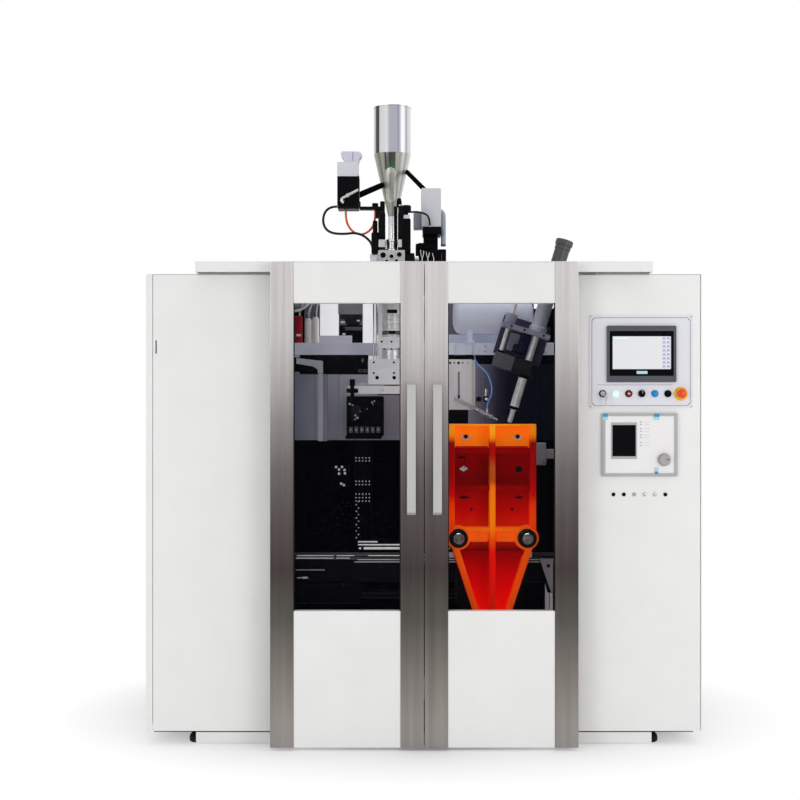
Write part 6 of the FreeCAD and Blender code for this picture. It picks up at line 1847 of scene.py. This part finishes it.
@dataclass
class Cutter:
    """The swinging cutter: a flat arm with its pivot hub."""

    def build(self) -> None:
        """Make the arm."""
        piece = Piece("cutter_arm")
        piece.plate([(-342, -470), (-334, -480), (-80, -480), (-72, -474), (-72, -446), (-80, -440),
                     (-334, -440), (-342, -450)], 1480, 1516, BRACKET, Matrix.Identity(4), bevel=2)
        piece.box((-320, -303), (-488, -472), (1448, 1546), BLACK, 3)
        piece.rod((-311.5, -480, 1494), Axis.RIGHT, 10, 52, BLACK, 3, 32, start=-26)
        piece.rod((-312, -460, 1516), Axis.UP, 12, 30, OXIDE, 1.5, 32)
        piece.rod((-178, -480, 1498), Axis.FRONT, 5, 3, SILVER, 0.8, 24)
        piece.box((-200, -84), (-478, -442), (1476, 1481), OXIDE, 1)
        piece.finish("cutter", "hot_cutter", "machined_steel")


# Clamp, carriage and blow unit


BARS = ((150.3, 857.0), (443.7, 857.0), (297.0, 470.0))
BAR_BORE = 24.4


@dataclass(frozen=True)
class RibbedFace:
    """A ribbed face's place along Y, and -1 if it faces the operator or 1 if it faces the back."""

    face: float
    way: int

    def depth(self, near: float, far: float) -> Span:
        """The span along Y between two depths below the ribbed face."""
        return span(self.face - self.way * near, self.face - self.way * far)


@dataclass
class Clamp:
    """Two ribbed cast platens on three bars, with the ram and the cross plate at the back.

    The ribbed casting is the machine's orange piece, with painted light and shade up its height: pockets
    above, recesses between its ribs, round bosses over the upper bars and a tapering foot over the lower one.
    """

    x: float = 297.0
    half: float = 188.0
    top: float = 1346.0
    shoulder: float = 850.0
    foot: float = 430.0
    foot_half: float = 46.0
    rib: float = 26.0
    web: float = 22.0
    depth: float = 90.0
    ribs: float = 88.0

    def build(self, screws: SocketScrews) -> None:
        """Make both platens, the bars with their nuts, the cross plate, the cylinder and the ram.

        Args:
            screws: Places the socket screws.
        """
        self._platen("front_casting", "front_clamp", "front_platen", RibbedFace(-700.0, -1), screws)
        self._platen("rear_casting", "rear_clamp", "rear_platen", RibbedFace(-20.0, 1), screws)
        self._bars()
        self._drive(screws)

    def _outline(self) -> Outline:
        """The casting seen from the front, square above the bosses and tapering below them.

        Returns:
            Its corners, from the lower left.
        """
        x = self.x
        return [(x - self.foot_half, self.foot), (x + self.foot_half, self.foot),
                (x + self.half, self.shoulder), (x + self.half, self.top - 5), (x + self.half - 5, self.top),
                (x - self.half + 5, self.top), (x - self.half, self.top - 5), (x - self.half, self.shoulder)]

    def _platen(self, name: str, body: str, node: str, ribbed: RibbedFace, screws: SocketScrews) -> None:
        """One casting.

        Args:
            name: Its name.
            body: The body that it rides on.
            node: The plain node that it stands for.
            ribbed: Where its ribbed face is and which way it looks.
            screws: Places the bolts.
        """
        piece = Piece(name)
        depth = ribbed.depth
        place = facing(depth(self.depth - self.web, self.depth)[1])
        holes = [circle(x, z, BAR_BORE, 40) for x, z in BARS]
        # The web between the ribs takes the recess finish, painted shade
        piece.plate(self._outline(), 0, self.web, RECESS, place, holes)
        x, rib = self.x, self.rib
        for side in (-1, 1):
            edge = span(x + side * self.half, x + side * (self.half - rib))
            piece.box(edge, depth(0, self.depth), (self.shoulder + 8, self.top), EDGE, 5)
        piece.box((x - rib / 2, x + rib / 2), depth(1, self.ribs), (520, self.top - 1), RIB, 5)
        across = (x - self.half + 4, x + self.half - 4)
        for low, high, back, finish in ((1217, 1243, 6, RECESS), (1058, 1084, 10, RECESS),
                                        (880, 903, 6, ORANGE)):
            piece.box(across, depth(back, self.ribs), (low, high), finish, 6)
        piece.box(across, depth(4, self.ribs), (self.top - 8, self.top), ORANGE, 3)
        for side in (-1, 1):
            low, high = span(x + side * (rib / 2 - 2), x + side * (self.half - rib + 2))
            piece.box((low, high), depth(62, self.ribs), (1241, self.top - 6), POCKET, 6)
            piece.box((low + 6, high - 6), depth(56, 64), (1243, 1251), ORANGE, 3)
            piece.box((low + 4, high - 4), depth(30, self.ribs), (780, 800), RECESS, 6)
            piece.box((low + 4, high - 30 if side > 0 else high - 4), depth(20, self.ribs), (838, 882),
                      ORANGE, 8)
        self._tapering_ribs(piece, ribbed)
        self._bosses(piece, ribbed)
        if ribbed.way < 0:
            self._openings(piece, ribbed)
        piece.finish(body, node, "orange_paint")
        if ribbed.way < 0:
            self._bolts(ribbed.face, body, screws)

    def _bolts(self, face: float, body: str, screws: SocketScrews) -> None:
        """The bolts in the pockets and in the upper left recess of the front casting.

        Args:
            face: Where the ribbed face is along Y.
            body: The body that they ride on.
            screws: Places the socket screws.
        """
        pockets = (self.x - 112, self.x + 112)
        screws.place("pocket_bolts", [(x, face + 61.5, 1292) for x in pockets], Axis.FRONT, 9, 9, OXIDE, body)
        around = ((-17, 1), (17, 1), (-8, -11), (9, -10))
        small = [(x + off, face + 62, 1292 + lift) for x in pockets for off, lift in around]
        screws.place("pocket_small_bolts", small, Axis.FRONT, 5, 6, SILVER, body)
        group = ((-10, 2), (0, -4), (11, 3), (2, 9))
        recess = [(self.x - 122 + off, face + 68, 1150 + lift) for off, lift in group]
        screws.place("recess_bolts", recess, Axis.FRONT, 6, 6, SILVER, body)

    def _tapering_ribs(self, piece: Piece, ribbed: RibbedFace) -> None:
        """The two slanting edge ribs and the foot.

        Args:
            piece: The casting.
            ribbed: Its ribbed face.
        """
        x, top = self.x, self.shoulder + 10
        for side in (-1, 1):
            reach = ((self.half, top), (self.foot_half, self.foot), (self.foot_half - 24, self.foot),
                     (self.half - 30, top))
            low, high = ribbed.depth(1, self.ribs)
            piece.plate([(x + side * out, z) for out, z in reach], 0, high - low, ORANGE, facing(high),
                        bevel=5)
        across = (x - self.foot_half + 2, x + self.foot_half - 2)
        piece.box(across, ribbed.depth(2, self.ribs), (self.foot, 446), ORANGE, 4)

    def _bosses(self, piece: Piece, ribbed: RibbedFace) -> None:
        """Round bosses over the bars.

        Args:
            piece: The casting.
            ribbed: Its ribbed face.
        """
        axis = Axis.BACK if ribbed.way < 0 else Axis.FRONT
        for (x, z), radius in zip(BARS, (52, 52, 42)):
            section = [(BAR_BORE, 0), (radius - 6, 0), (radius - 1, 2), (radius, 6), (radius, self.depth),
                       (BAR_BORE, self.depth)]
            piece.turned(section, (x, ribbed.face, z), axis, ORANGE, 64, ring=True)

    def _openings(self, piece: Piece, ribbed: RibbedFace) -> None:
        """The dark slots, round holes and lever in the recesses.

        Args:
            piece: The casting.
            ribbed: Its ribbed face.
        """
        x = self.x
        low = ribbed.depth(67.2, 69)
        for side, wide in ((-1, 19), (1, 14)):
            piece.box((x + side * 118 - wide, x + side * 118 + wide), low, (1023, 1033), BLACK, 0.6)
            piece.rod((x + side * 88, low[1], 976), Axis.FRONT, 6, 2.4, BLACK, 0.5, 24)
        piece.rod((x + 117, low[1], 1150), Axis.FRONT, 14, 2.6, BLACK, 0.8, 32)
        piece.box((x - 148, x - 112), low, (1198, 1206), BLACK, 1)
        piece.bar((x - 118, low[0] - 3, 1156), (x - 110, low[0] - 3, 1226), 2.6, RECESS, 0.6, 16)

    def _bars(self) -> None:
        """The three bars with ring nuts in front and caps behind."""
        bars = Piece("guide_bars")
        nuts = Piece("bar_nuts")
        for bar, z in BARS:
            section = [(0, -756), (9, -756), (10, -753.5), (17, -753.5), (18, -756), (21.5, -756), (24, -753),
                       (24, 310), (0, 310)]
            bars.turned(section, (bar, 0, z), Axis.BACK, CHROME, 56)
            ring = [(24.2, -742), (34, -742), (36, -740), (40, -737), (40, -716), (38.4, -714), (40, -712),
                    (40, -700), (24.2, -700)]
            nuts.turned(ring, (bar, 0, z), Axis.BACK, OXIDE, 56, ring=True)
            nuts.turned([(0, -757.5), (9, -757.5), (10, -755), (17, -755), (18, -757.5), (21.5, -757.5),
                         (21.5, -752), (0, -752)], (bar, 0, z), Axis.BACK, BAR_END, 56)
            for number in range(4):
                turn = math.radians(45 + 90 * number)
                spanner = Matrix.Translation((bar, 0, z)) @ Matrix.Rotation(turn, 4, "Y")
                nuts.box((36, 40.4), (-736, -718), (-4, 4), GRAPHITE, 0.6, spanner)
            nuts.turned([(0, 310), (40, 310), (40, 326), (37, 330), (0, 330)], (bar, 0, z), Axis.BACK,
                        OXIDE, 56)
        bars.finish("front_clamp", "tie_bars", "hard_chrome")
        nuts.finish("front_clamp", "tie_bar_nuts", "black_oxide")

    def _drive(self, screws: SocketScrews) -> None:
        """The cross plate behind, the clamp cylinder on it and the ram.

        Args:
            screws: Places the socket screws.
        """
        piece = Piece("clamp_drive")
        outline = [(257, 430), (337, 430), (345, 438), (485, 800), (485, 905), (473, 917), (121, 917),
                   (109, 905), (109, 800), (249, 438)]
        piece.plate(outline, 0, 60, ORANGE, facing(310), [circle(x, z, BAR_BORE, 40) for x, z in BARS])
        section = [(46, 0), (92, 0), (95, 3), (95, 26), (88, 30), (88, 222), (95, 226), (95, 250), (46, 250)]
        piece.turned(section, (self.x, 0, 727), Axis.BACK, ORANGE, 72, ring=True)
        piece.finish("front_clamp", "clamp_cylinder", "orange_paint")
        ram = Piece("clamp_ram")
        ram.rod((self.x, -20, 727), Axis.BACK, 45, 240, CHROME, 2, 56)
        ram.finish("rear_clamp", "clamp_rod", "hard_chrome")
        spots = [(x, 0, z) for x, z in circle(self.x, 727, 80, 8, 0.5)]
        screws.place("cylinder_screws", spots, Axis.FRONT, 6, 6, OXIDE, "front_clamp")


@dataclass
class Carriage:
    """The shuttle carriage with its bearing housings, and the beam, rails and cylinder below it."""

    front: float = -450.0
    back: float = -270.0

    def build(self, screws: SocketScrews) -> None:
        """Make the carriage and what it runs on.

        Args:
            screws: Places the socket screws.
        """
        self._bed(screws)
        self._rails()

    def _bed(self, screws: SocketScrews) -> None:
        """The carriage with its bearing housings, blocks and nut.

        Args:
            screws: Places the socket screws.
        """
        piece = Piece("carriage_bed")
        piece.box((92, 502), (self.front, self.back), (775, 812), OXIDE, 4)
        for low, high, bar in ((104.3, 196.3, 150.3), (397.7, 489.7, 443.7)):
            outline = [(low, 812), (high, 812), (high, 880), (high - 20, 903), (low + 20, 903), (low, 880)]
            piece.plate(outline, 0, self.back - self.front, OXIDE, facing(self.back),
                        [circle(bar, 857, BAR_BORE, 40)])
        for y in (self.front + 14, self.back):
            outline = [(150.3, 775), (443.7, 775), (443.7, 560), (349, 422), (245, 422), (150.3, 560)]
            piece.plate(outline, 0, 14, OXIDE, facing(y), [circle(297, 470, BAR_BORE, 40)])
        for x in (102, 402):
            for y in (-431.6, -336.4):
                piece.box((x, x + 90), (y, y + 48), (748, 775), PLAIN_STEEL, 3)
        piece.box((240, 337), (-436, -284), (554, 606), OXIDE, 3)
        # The shuttle cylinder's rod is black oxide, darkened as painted shade low in the machine
        piece.rod((-320, -360, 580), Axis.RIGHT, 20, 580, OXIDE, 1.5, 40)
        piece.finish("carriage", "carriage", "machined_steel")
        spots = [(x, self.front, z) for x in (118, 182, 412, 476) for z in (826, 792)]
        screws.place("carriage_screws", spots, Axis.FRONT, 6, 6, SILVER, "carriage")

    def _rails(self) -> None:
        """The beam across the machine, its two rails and the shuttle cylinder."""
        beam = Piece("shuttle_beam")
        beam.box((-1054, 1054), (-430, -290), (640, 740), BLACK, 4)
        for y in (-407.6, -312.4):
            section = [(y - 11.5, 740), (y + 11.5, 740), (y + 11.5, 746), (y + 7, 751), (y + 11.5, 757),
                       (y + 9, 762), (y - 9, 762), (y - 11.5, 757), (y - 7, 751), (y - 11.5, 746)]
            beam.plate(section, 0, 1240, RAIL, sideways(-620), bevel=0)
        # Thin rods along the rails that shine with emission: painted highlights
        glints = ((757, -561, -396), (757, -384, -305), (757, -243, 60), (746, -565, -398), (746, -386, -325))
        for z, low, high in glints:
            beam.rod((low, -419, z), Axis.RIGHT, 1.3, high - low, GLINT, 0.3, 12)
        for low, z, high in ((-305, 730, 620), (-290, 740, 620)):
            beam.box((low, high), (-431, -429), (z - 1.5, z + 1.5), GUIDE, 0.8)
        beam.box((-566, -436), (-431, -429), (693, 695.5), GUIDE, 0.6)
        beam.rod((-561, -430, 659), Axis.RIGHT, 2, 28, GUIDE, 0.5, 16)
        beam.rod((-537, -430, 659), Axis.RIGHT, 5, 25, GUIDE, 2, 24)
        beam.box((-900, -280), (-400, -320), (540, 640), BLACK, 6)
        beam.finish("frame", "carriage_rails", "machined_steel")


@dataclass
class Moulds:
    """Bright edges and hoses' ports on the two mould halves, whose plain shape stays."""

    def build(self) -> None:
        """Make the trim of each half."""
        for name, body, face, way in (("front_mould_trim", "front_clamp", -460, -1),
                                      ("rear_mould_trim", "rear_clamp", -260, 1)):
            piece = Piece(name)
            for z in (980, 1280):
                for x, start in ((147, -9), (447, 0)):
                    piece.rod((x, face + way * 75, z), Axis.RIGHT, 9, 9, ALLOY, 1.5, 28, start=start)
            for x in (162, 432):
                piece.box((x - 9, x + 9), span(face + way * 12, face + way * 0.5), (1335, 1338), SILVER, 0.8)
            piece.finish(body)


LEAN_ANGLE = 17
LEAN = Matrix.Translation((393.0, -360.0, 1349.0)) @ Matrix.Rotation(math.radians(LEAN_ANGLE), 4, "Y")


@dataclass
class BlowUnit:
    """The leaning blow pin with its crosshead and rods, its mount and cylinder, and the slotted plate."""

    def build(self, screws: SocketScrews) -> None:
        """Make the carrier, the mount and the cylinder.

        Args:
            screws: Places the socket screws.
        """
        self._carrier()
        self._mount(screws)
        self._cylinder()

    def _carrier(self) -> None:
        """The pin, the crosshead and the two guide rods."""
        piece = Piece("blow_carrier")
        pin = [(0, 5), (7, 5), (11, 9), (11, 64), (14, 66), (20, 66), (22, 68), (22, 75), (20, 78), (20, 92),
               (18.4, 94), (20, 96), (20, 222), (18, 226), (0, 226)]
        piece.turned(pin, (0, 0, 0), Axis.UP, PIN, 48, place=LEAN)
        piece.tube((0, 0, 66), Axis.UP, 22.4, 19.8, 14, BLACK, 1, 48, place=LEAN)
        piece.rod((14, -12, 96), Axis.UP, 4, 122, ALLOY, 1, 20, place=LEAN)
        piece.box((-153, -62), (-38, 38), (228, 294), GRAPHITE, 4, LEAN)
        piece.box((-66, 26), (-34, 34), (226, 296), MOTOR, 4, LEAN)
        piece.box((-58, 18), (-38, -33), (234, 288), MOTOR, 2, LEAN)
        piece.rod((0, 0, 214), Axis.UP, 26, 13, OXIDE, 2, 40, place=LEAN)
        piece.rod((-131, 0, 296), Axis.UP, 10, 296, GUIDE, 1.5, 40, place=LEAN)
        piece.rod((-131, 0, 296), Axis.UP, 15, 10, OXIDE, 1.5, 32, place=LEAN)
        piece.rod((0, 0, 296), Axis.UP, 16, 236, GUIDE, 1.5, 40, place=LEAN)
        piece.finish("blow", "blow_pin_carrier", "machined_steel")

    def _mount(self, screws: SocketScrews) -> None:
        """The mount of the rods, the slotted plate, and the pipes and valves on it.

        Args:
            screws: Places the socket screws.
        """
        piece = Piece("blow_mount_plates")
        holes = [circle(-131, 0, 10.6, 32), circle(0, 0, 16.6, 32)]
        piece.plate([(-161, -46), (60, -46), (60, 46), (-161, 46)], 410, 432, HAZE, LEAN, holes)
        piece.tube((-131, 0, 432), Axis.UP, 26, 10.6, 46, HAZE, 1.5, 40, place=LEAN)
        piece.box((-161, 60), (46, 62), (290, 472), SHADE, 2, LEAN)
        piece.box((-112, -64), (30, 47), (318, 402), HAZE, 3, LEAN)
        piece.box((-62, -20), (-26, 46), (318, 408), NAVY, 3, LEAN)
        piece.box((-84, -62), (-16, 46), (318, 352), NAVY, 3, LEAN)
        piece.box((413, 533), (-298, -250), (1669, 1717), BRACKET, 3)
        # Each tab is black below Z 1666 and beam grey above: painted shade low down, painted light above
        for x in ((121, 151), (201, 231)):
            piece.box(x, (-262, -250), (1643, 1666), BLACK, 1)
            piece.box(x, (-262, -250), (1665, 1711), BEAM, 1)
        slot = rounded_rectangle((165, 175), (1460, 1588), 4.6)
        dots = [circle(x, 1628, reach, 20) for x, reach in ((130, 5), (149, 4), (169, 6), (188, 4), (212, 3))]
        piece.plate([(121, 1414), (231, 1414), (231, 1644), (121, 1644)], 0, 12, BRACKET,
                    facing(PLATFORM_FRONT), [slot, *dots])
        piece.box((121, 231), (-250.4, -248.4), (1614, 1642), BLACK, 0.5)
        for x, reach in ((130, 7.5), (169, 8)):
            piece.turned([(reach - 2, 0), (reach, 0), (reach, 1.2), (reach - 2, 1.2)], (x, -262, 1628),
                         Axis.FRONT, SILVER, 28, ring=True)
        piece.rod((170, -262, 1472), Axis.FRONT, 9, 6, OXIDE, 1.5, 28, start=-10)
        piece.box((228, 246), (-250, -170), (1414, 1642), BRACKET, 2)
        piece.box((123, 214), (-238, -180), (1350, 1413), BLACK, 2)
        piece.bar((147.8, -267.2, 1462.5), (347.2, -267.2, 1365.5), 5, CHROME, 1)
        piece.bar((150, -275, 1470), (285, -275, 1404), 3, CHROME, 0.6)
        piece.bar((262, -267.2, 1407), (322, -267.2, 1378), 9, PLAIN_STEEL, 1.5)
        piece.bar((246, -267.2, 1414.6), (262, -267.2, 1407), 11, SILVER, 1.5)
        piece.rod((300, -267.2, 1386), Axis.UP, 7, 31.5, PLAIN_STEEL, 1, 28)
        piece.finish("frame", "blow_mount", "machined_steel")
        spots = [(x, -46, 421) for x in (-120, -60, 30)]
        screws.place("mount_screws", spots, Axis.FRONT, 5, 5, OXIDE, lean=LEAN)
        fittings = Piece("branch_valves")
        fittings.rod((262, -250, 1462), Axis.FRONT, 11, 14, BLACK, 2, 32)
        fittings.turned([(8, 0), (14, 0), (14, 5), (8, 5)], (296, -250, 1462), Axis.FRONT, BLACK, 32,
                        ring=True)
        fittings.rod((296, -250, 1462), Axis.FRONT, 8, 9, SILVER, 1.5, 28)
        fittings.rod((296, -243, 1474), Axis.UP, 8, 36, PLAIN_STEEL, 3, 28)
        fittings.box((246, 306), (-250, -236), (1450, 1474), GRAPHITE, 2)
        fittings.finish()

    def _cylinder(self) -> None:
        """The blow cylinder above the mount."""
        piece = Piece("blow_cylinder_tube")
        section = [(16.6, 432), (40, 432), (40, 454), (34, 458), (34, 820), (36, 822), (36, 840), (40, 842),
                   (40, 862), (37, 866), (0, 866), (0, 822), (16.6, 820)]
        piece.turned(section, (0, 0, 0), Axis.UP, TUBE, 56, place=LEAN)
        for x, y in circle(0, 0, 30, 4, 0.5):
            piece.rod((x, y, 866), Axis.UP, 4.5, 5, OXIDE, 1, 20, start=-8, place=LEAN)
        piece.finish("frame", "blow_cylinder", "anodised_alloy")


# Free hoses


@dataclass(frozen=True)
class Hose:
    """One free hose: the points of its route in metres, its thickness and finish."""

    name: str
    node: str
    slot: str
    diameter: float
    length: float
    finish: Finish
    route: tuple[Point, ...]

    def build(self) -> None:
        hose = smooth_line(self.name, self.route, self.diameter / 2)
        hose.data.materials.append(self.finish.build())
        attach(hose, "frame")
        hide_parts(self.node)
        log.info("%s: %.0f mm long", self.name, self.length * 1000)


HOSES = (
    Hose("servo_loop", "servo_hose", "black_plastic", 0.011, 0.425, BLACK_HOSE, (
        (-0.382, -0.36, 2.33), (-0.408, -0.36, 2.33), (-0.436, -0.36, 2.312), (-0.448, -0.36, 2.28),
        (-0.446, -0.36, 2.246), (-0.428, -0.36, 2.22), (-0.398, -0.36, 2.208), (-0.35, -0.36, 2.206),
        (-0.3, -0.36, 2.212), (-0.258, -0.36, 2.196), (-0.222, -0.36, 2.158), (-0.222, -0.36, 2.113),
    )),
    Hose("orange_loop", "orange_hose", "orange_hose_jacket", 0.01, 0.283, ORANGE_HOSE, (
        (-0.346, -0.34, 2.314), (-0.346, -0.34, 2.282), (-0.336, -0.34, 2.246), (-0.312, -0.34, 2.216),
        (-0.276, -0.341, 2.204), (-0.242, -0.343, 2.218), (-0.22, -0.346, 2.246), (-0.212, -0.35, 2.28),
        (-0.212, -0.35, 2.314),
    )),
    Hose("blue_line", "blue_hose", "blue_hose_jacket", 0.008, 0.28, BLUE_HOSE, (
        (0.243, -0.238, 1.665), (0.243, -0.238, 1.643), (0.264, -0.247, 1.614), (0.3, -0.258, 1.584),
        (0.321, -0.264, 1.53), (0.321, -0.2672, 1.48), (0.3, -0.2672, 1.446), (0.3, -0.2672, 1.4175),
    )),
    Hose("valve_line", "valve_hose", "black_plastic", 0.009, 0.182, BLACK_HOSE, (
        (-0.088, -0.352, 2.306), (-0.058, -0.352, 2.306), (-0.024, -0.346, 2.309), (0.008, -0.33, 2.305),
        (0.028, -0.308, 2.296), (0.036, -0.297, 2.273), (0.036, -0.297, 2.247),
    )),
)


# Studio


@dataclass
class Studio:
    """A pale floor, soft lights and the camera at the photograph's place."""

    camera_at: Point = (-0.1, -6.95, 1.32)
    focal: float = 65.6
    rise: float = 0.0375

    def build(self) -> None:
        """Make the floor, the world, the area lights and the camera."""
        self._world()
        self._floor()
        self._lamp("left_softbox", (-3.8, -5.8, 2.0), (0.0, -0.4, 1.3), 2.2, 70.0)
        self._lamp("right_softbox", (3.8, -5.8, 2.0), (0.0, -0.4, 1.3), 2.2, 70.0)
        self._lamp("side_softbox", (5.5, -2.0, 3.0), (0.0, 0.0, 1.3), 3.0, 40.0)
        self._lamp("top_softbox", (0.0, 0.6, 6.0), (0.0, 0.3, 1.0), 4.0, 120.0)
        data = bpy.data.cameras.new("photograph")
        data.sensor_width = 36.0
        data.lens = self.focal
        data.shift_y = self.rise
        data.clip_end = 100.0
        camera = add_object("photograph", data)
        camera.location = self.camera_at
        camera.rotation_euler = (math.radians(90), 0, 0)
        bpy.context.scene.camera = camera
        bpy.context.scene.view_settings.view_transform = "Standard"

    def _world(self) -> None:
        """White where the camera looks past the machine, soft grey light elsewhere."""
        world = bpy.data.worlds.new("studio")
        bpy.context.scene.world = world
        world.use_nodes = True
        kit, nodes = NodeKit(world.node_tree), world.node_tree.nodes
        place = kit.add("ShaderNodeTexCoord")
        split = kit.add("ShaderNodeSeparateXYZ", {"Vector": place.outputs["Generated"]})
        light = kit.ramp([(0.3, (0.3, 0.3, 0.31)), (0.85, (0.78, 0.78, 0.8))], split.outputs["Z"])
        kit.give(nodes["Background"], {"Strength": 1.0, "Color": light})
        white = kit.add("ShaderNodeBackground", {"Color": (1, 1, 1, 1), "Strength": 1.0})
        rays = kit.add("ShaderNodeLightPath")
        choose = kit.add("ShaderNodeMixShader")
        share = rays.outputs["Is Camera Ray"]
        for kind in ("Is Glossy Ray", "Is Transmission Ray"):
            either = kit.add("ShaderNodeMath", {0: share, 1: rays.outputs[kind]}, operation="MAXIMUM")
            share = either.outputs["Value"]
        kit.give(choose, {"Fac": share, 1: nodes["Background"].outputs[0], 2: white.outputs[0]})
        kit.give(nodes["World Output"], {"Surface": choose.outputs["Shader"]})

    def _floor(self) -> None:
        """A pale floor that takes the machine's shadow and fades into the white around it."""
        mesh = bmesh.new()
        bmesh.ops.create_circle(mesh, cap_ends=True, segments=64, radius=14.0)
        data = bpy.data.meshes.new("studio_floor")
        mesh.to_mesh(data)
        mesh.free()
        material = bpy.data.materials.new("pale_floor")
        material.use_nodes = True
        kit, nodes = NodeKit(material.node_tree), material.node_tree.nodes
        shader = nodes["Principled BSDF"]
        kit.give(shader, {"Base Color": (0.86, 0.86, 0.86, 1), "Roughness": 0.9})
        white = kit.add("ShaderNodeEmission")
        place = kit.add("ShaderNodeTexCoord")
        squash = kit.add("ShaderNodeMapping", {"Scale": (0.5, 0.55, 1.0), "Vector": place.outputs["Object"]})
        reach = kit.add("ShaderNodeVectorMath", {0: squash.outputs["Vector"]}, operation="LENGTH")
        fade = kit.add("ShaderNodeMapRange",
                       {"From Min": 0.45, "From Max": 0.85, "Value": reach.outputs["Value"]})
        mix = kit.add("ShaderNodeMixShader", {"Fac": fade.outputs["Result"], 1: shader.outputs["BSDF"],
                                              2: white.outputs["Emission"]})
        kit.give(nodes["Material Output"], {"Surface": mix.outputs["Shader"]})
        data.materials.append(material)
        floor = add_object("studio_floor", data)
        floor.location.z = -0.001

    def _lamp(self, name: str, at: Point, aim: Point, size: float, power: float) -> None:
        """A large soft area lamp that points at the machine.

        Args:
            name: Its name.
            at: Where it stands, in metres.
            aim: The point that it shines at.
            size: Length of its sides.
            power: Its power in watts.
        """
        data = bpy.data.lights.new(name, "AREA")
        data.size = size
        data.energy = power
        lamp = add_object(name, data)
        lamp.location = at
        lamp.rotation_euler = (Vector(aim) - Vector(at)).to_track_quat("-Z", "Y").to_euler()


class Machine:
    """The whole machine, sub-assembly by sub-assembly."""

    KEPT = {
        # The frame inside the machine is near black: painted shade
        "machine_frame": DARK,
        "extruder_screw": CHROME,
        "front_mould": MOULD,
        "rear_mould": MOULD,
    }

    def __init__(self, nodes: dict[str, bpy.types.Object]) -> None:
        """Keep the frame's plain nodes by name."""
        self.nodes = nodes

    def build(self) -> None:
        """Build and dress every sub-assembly, then give the plain nodes their finishes."""
        for hose in HOSES:
            hose.build()
        screws, fins = SocketScrews(), Fins()
        Enclosure().build()
        SlidingDoor(-1, "left").build()
        SlidingDoor(1, "right").build()
        ControlStation().build(screws)
        Platform().build(screws)
        Extruder().build(screws, fins)
        Hopper().build()
        ParisonHead().build(screws)
        RoofUnits().build()
        Cutter().build()
        Clamp().build(screws)
        Carriage().build(screws)
        Moulds().build()
        BlowUnit().build(screws)
        self._dress()

    def _dress(self) -> None:
        """Give the nodes whose plain shape stays their finishes."""
        for name, finish in self.KEPT.items():
            material = finish.build()
            for place in self.nodes[name].material_slots:
                place.material = material
            log.info("%s keeps its shape, in %s", name, finish.name)


def write_sizes() -> None:
    """Bring the view layer up to date.
    """
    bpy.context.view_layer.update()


def main() -> None:
    """Load the frame, build the machine on it and set up the studio."""
    logging.basicConfig(level=logging.INFO, format="%(name)s: %(message)s")
    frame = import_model()
    Machine(frame["nodes"]).build()
    Studio().build()
    write_sizes()


if __name__ == "__main__":
    main()
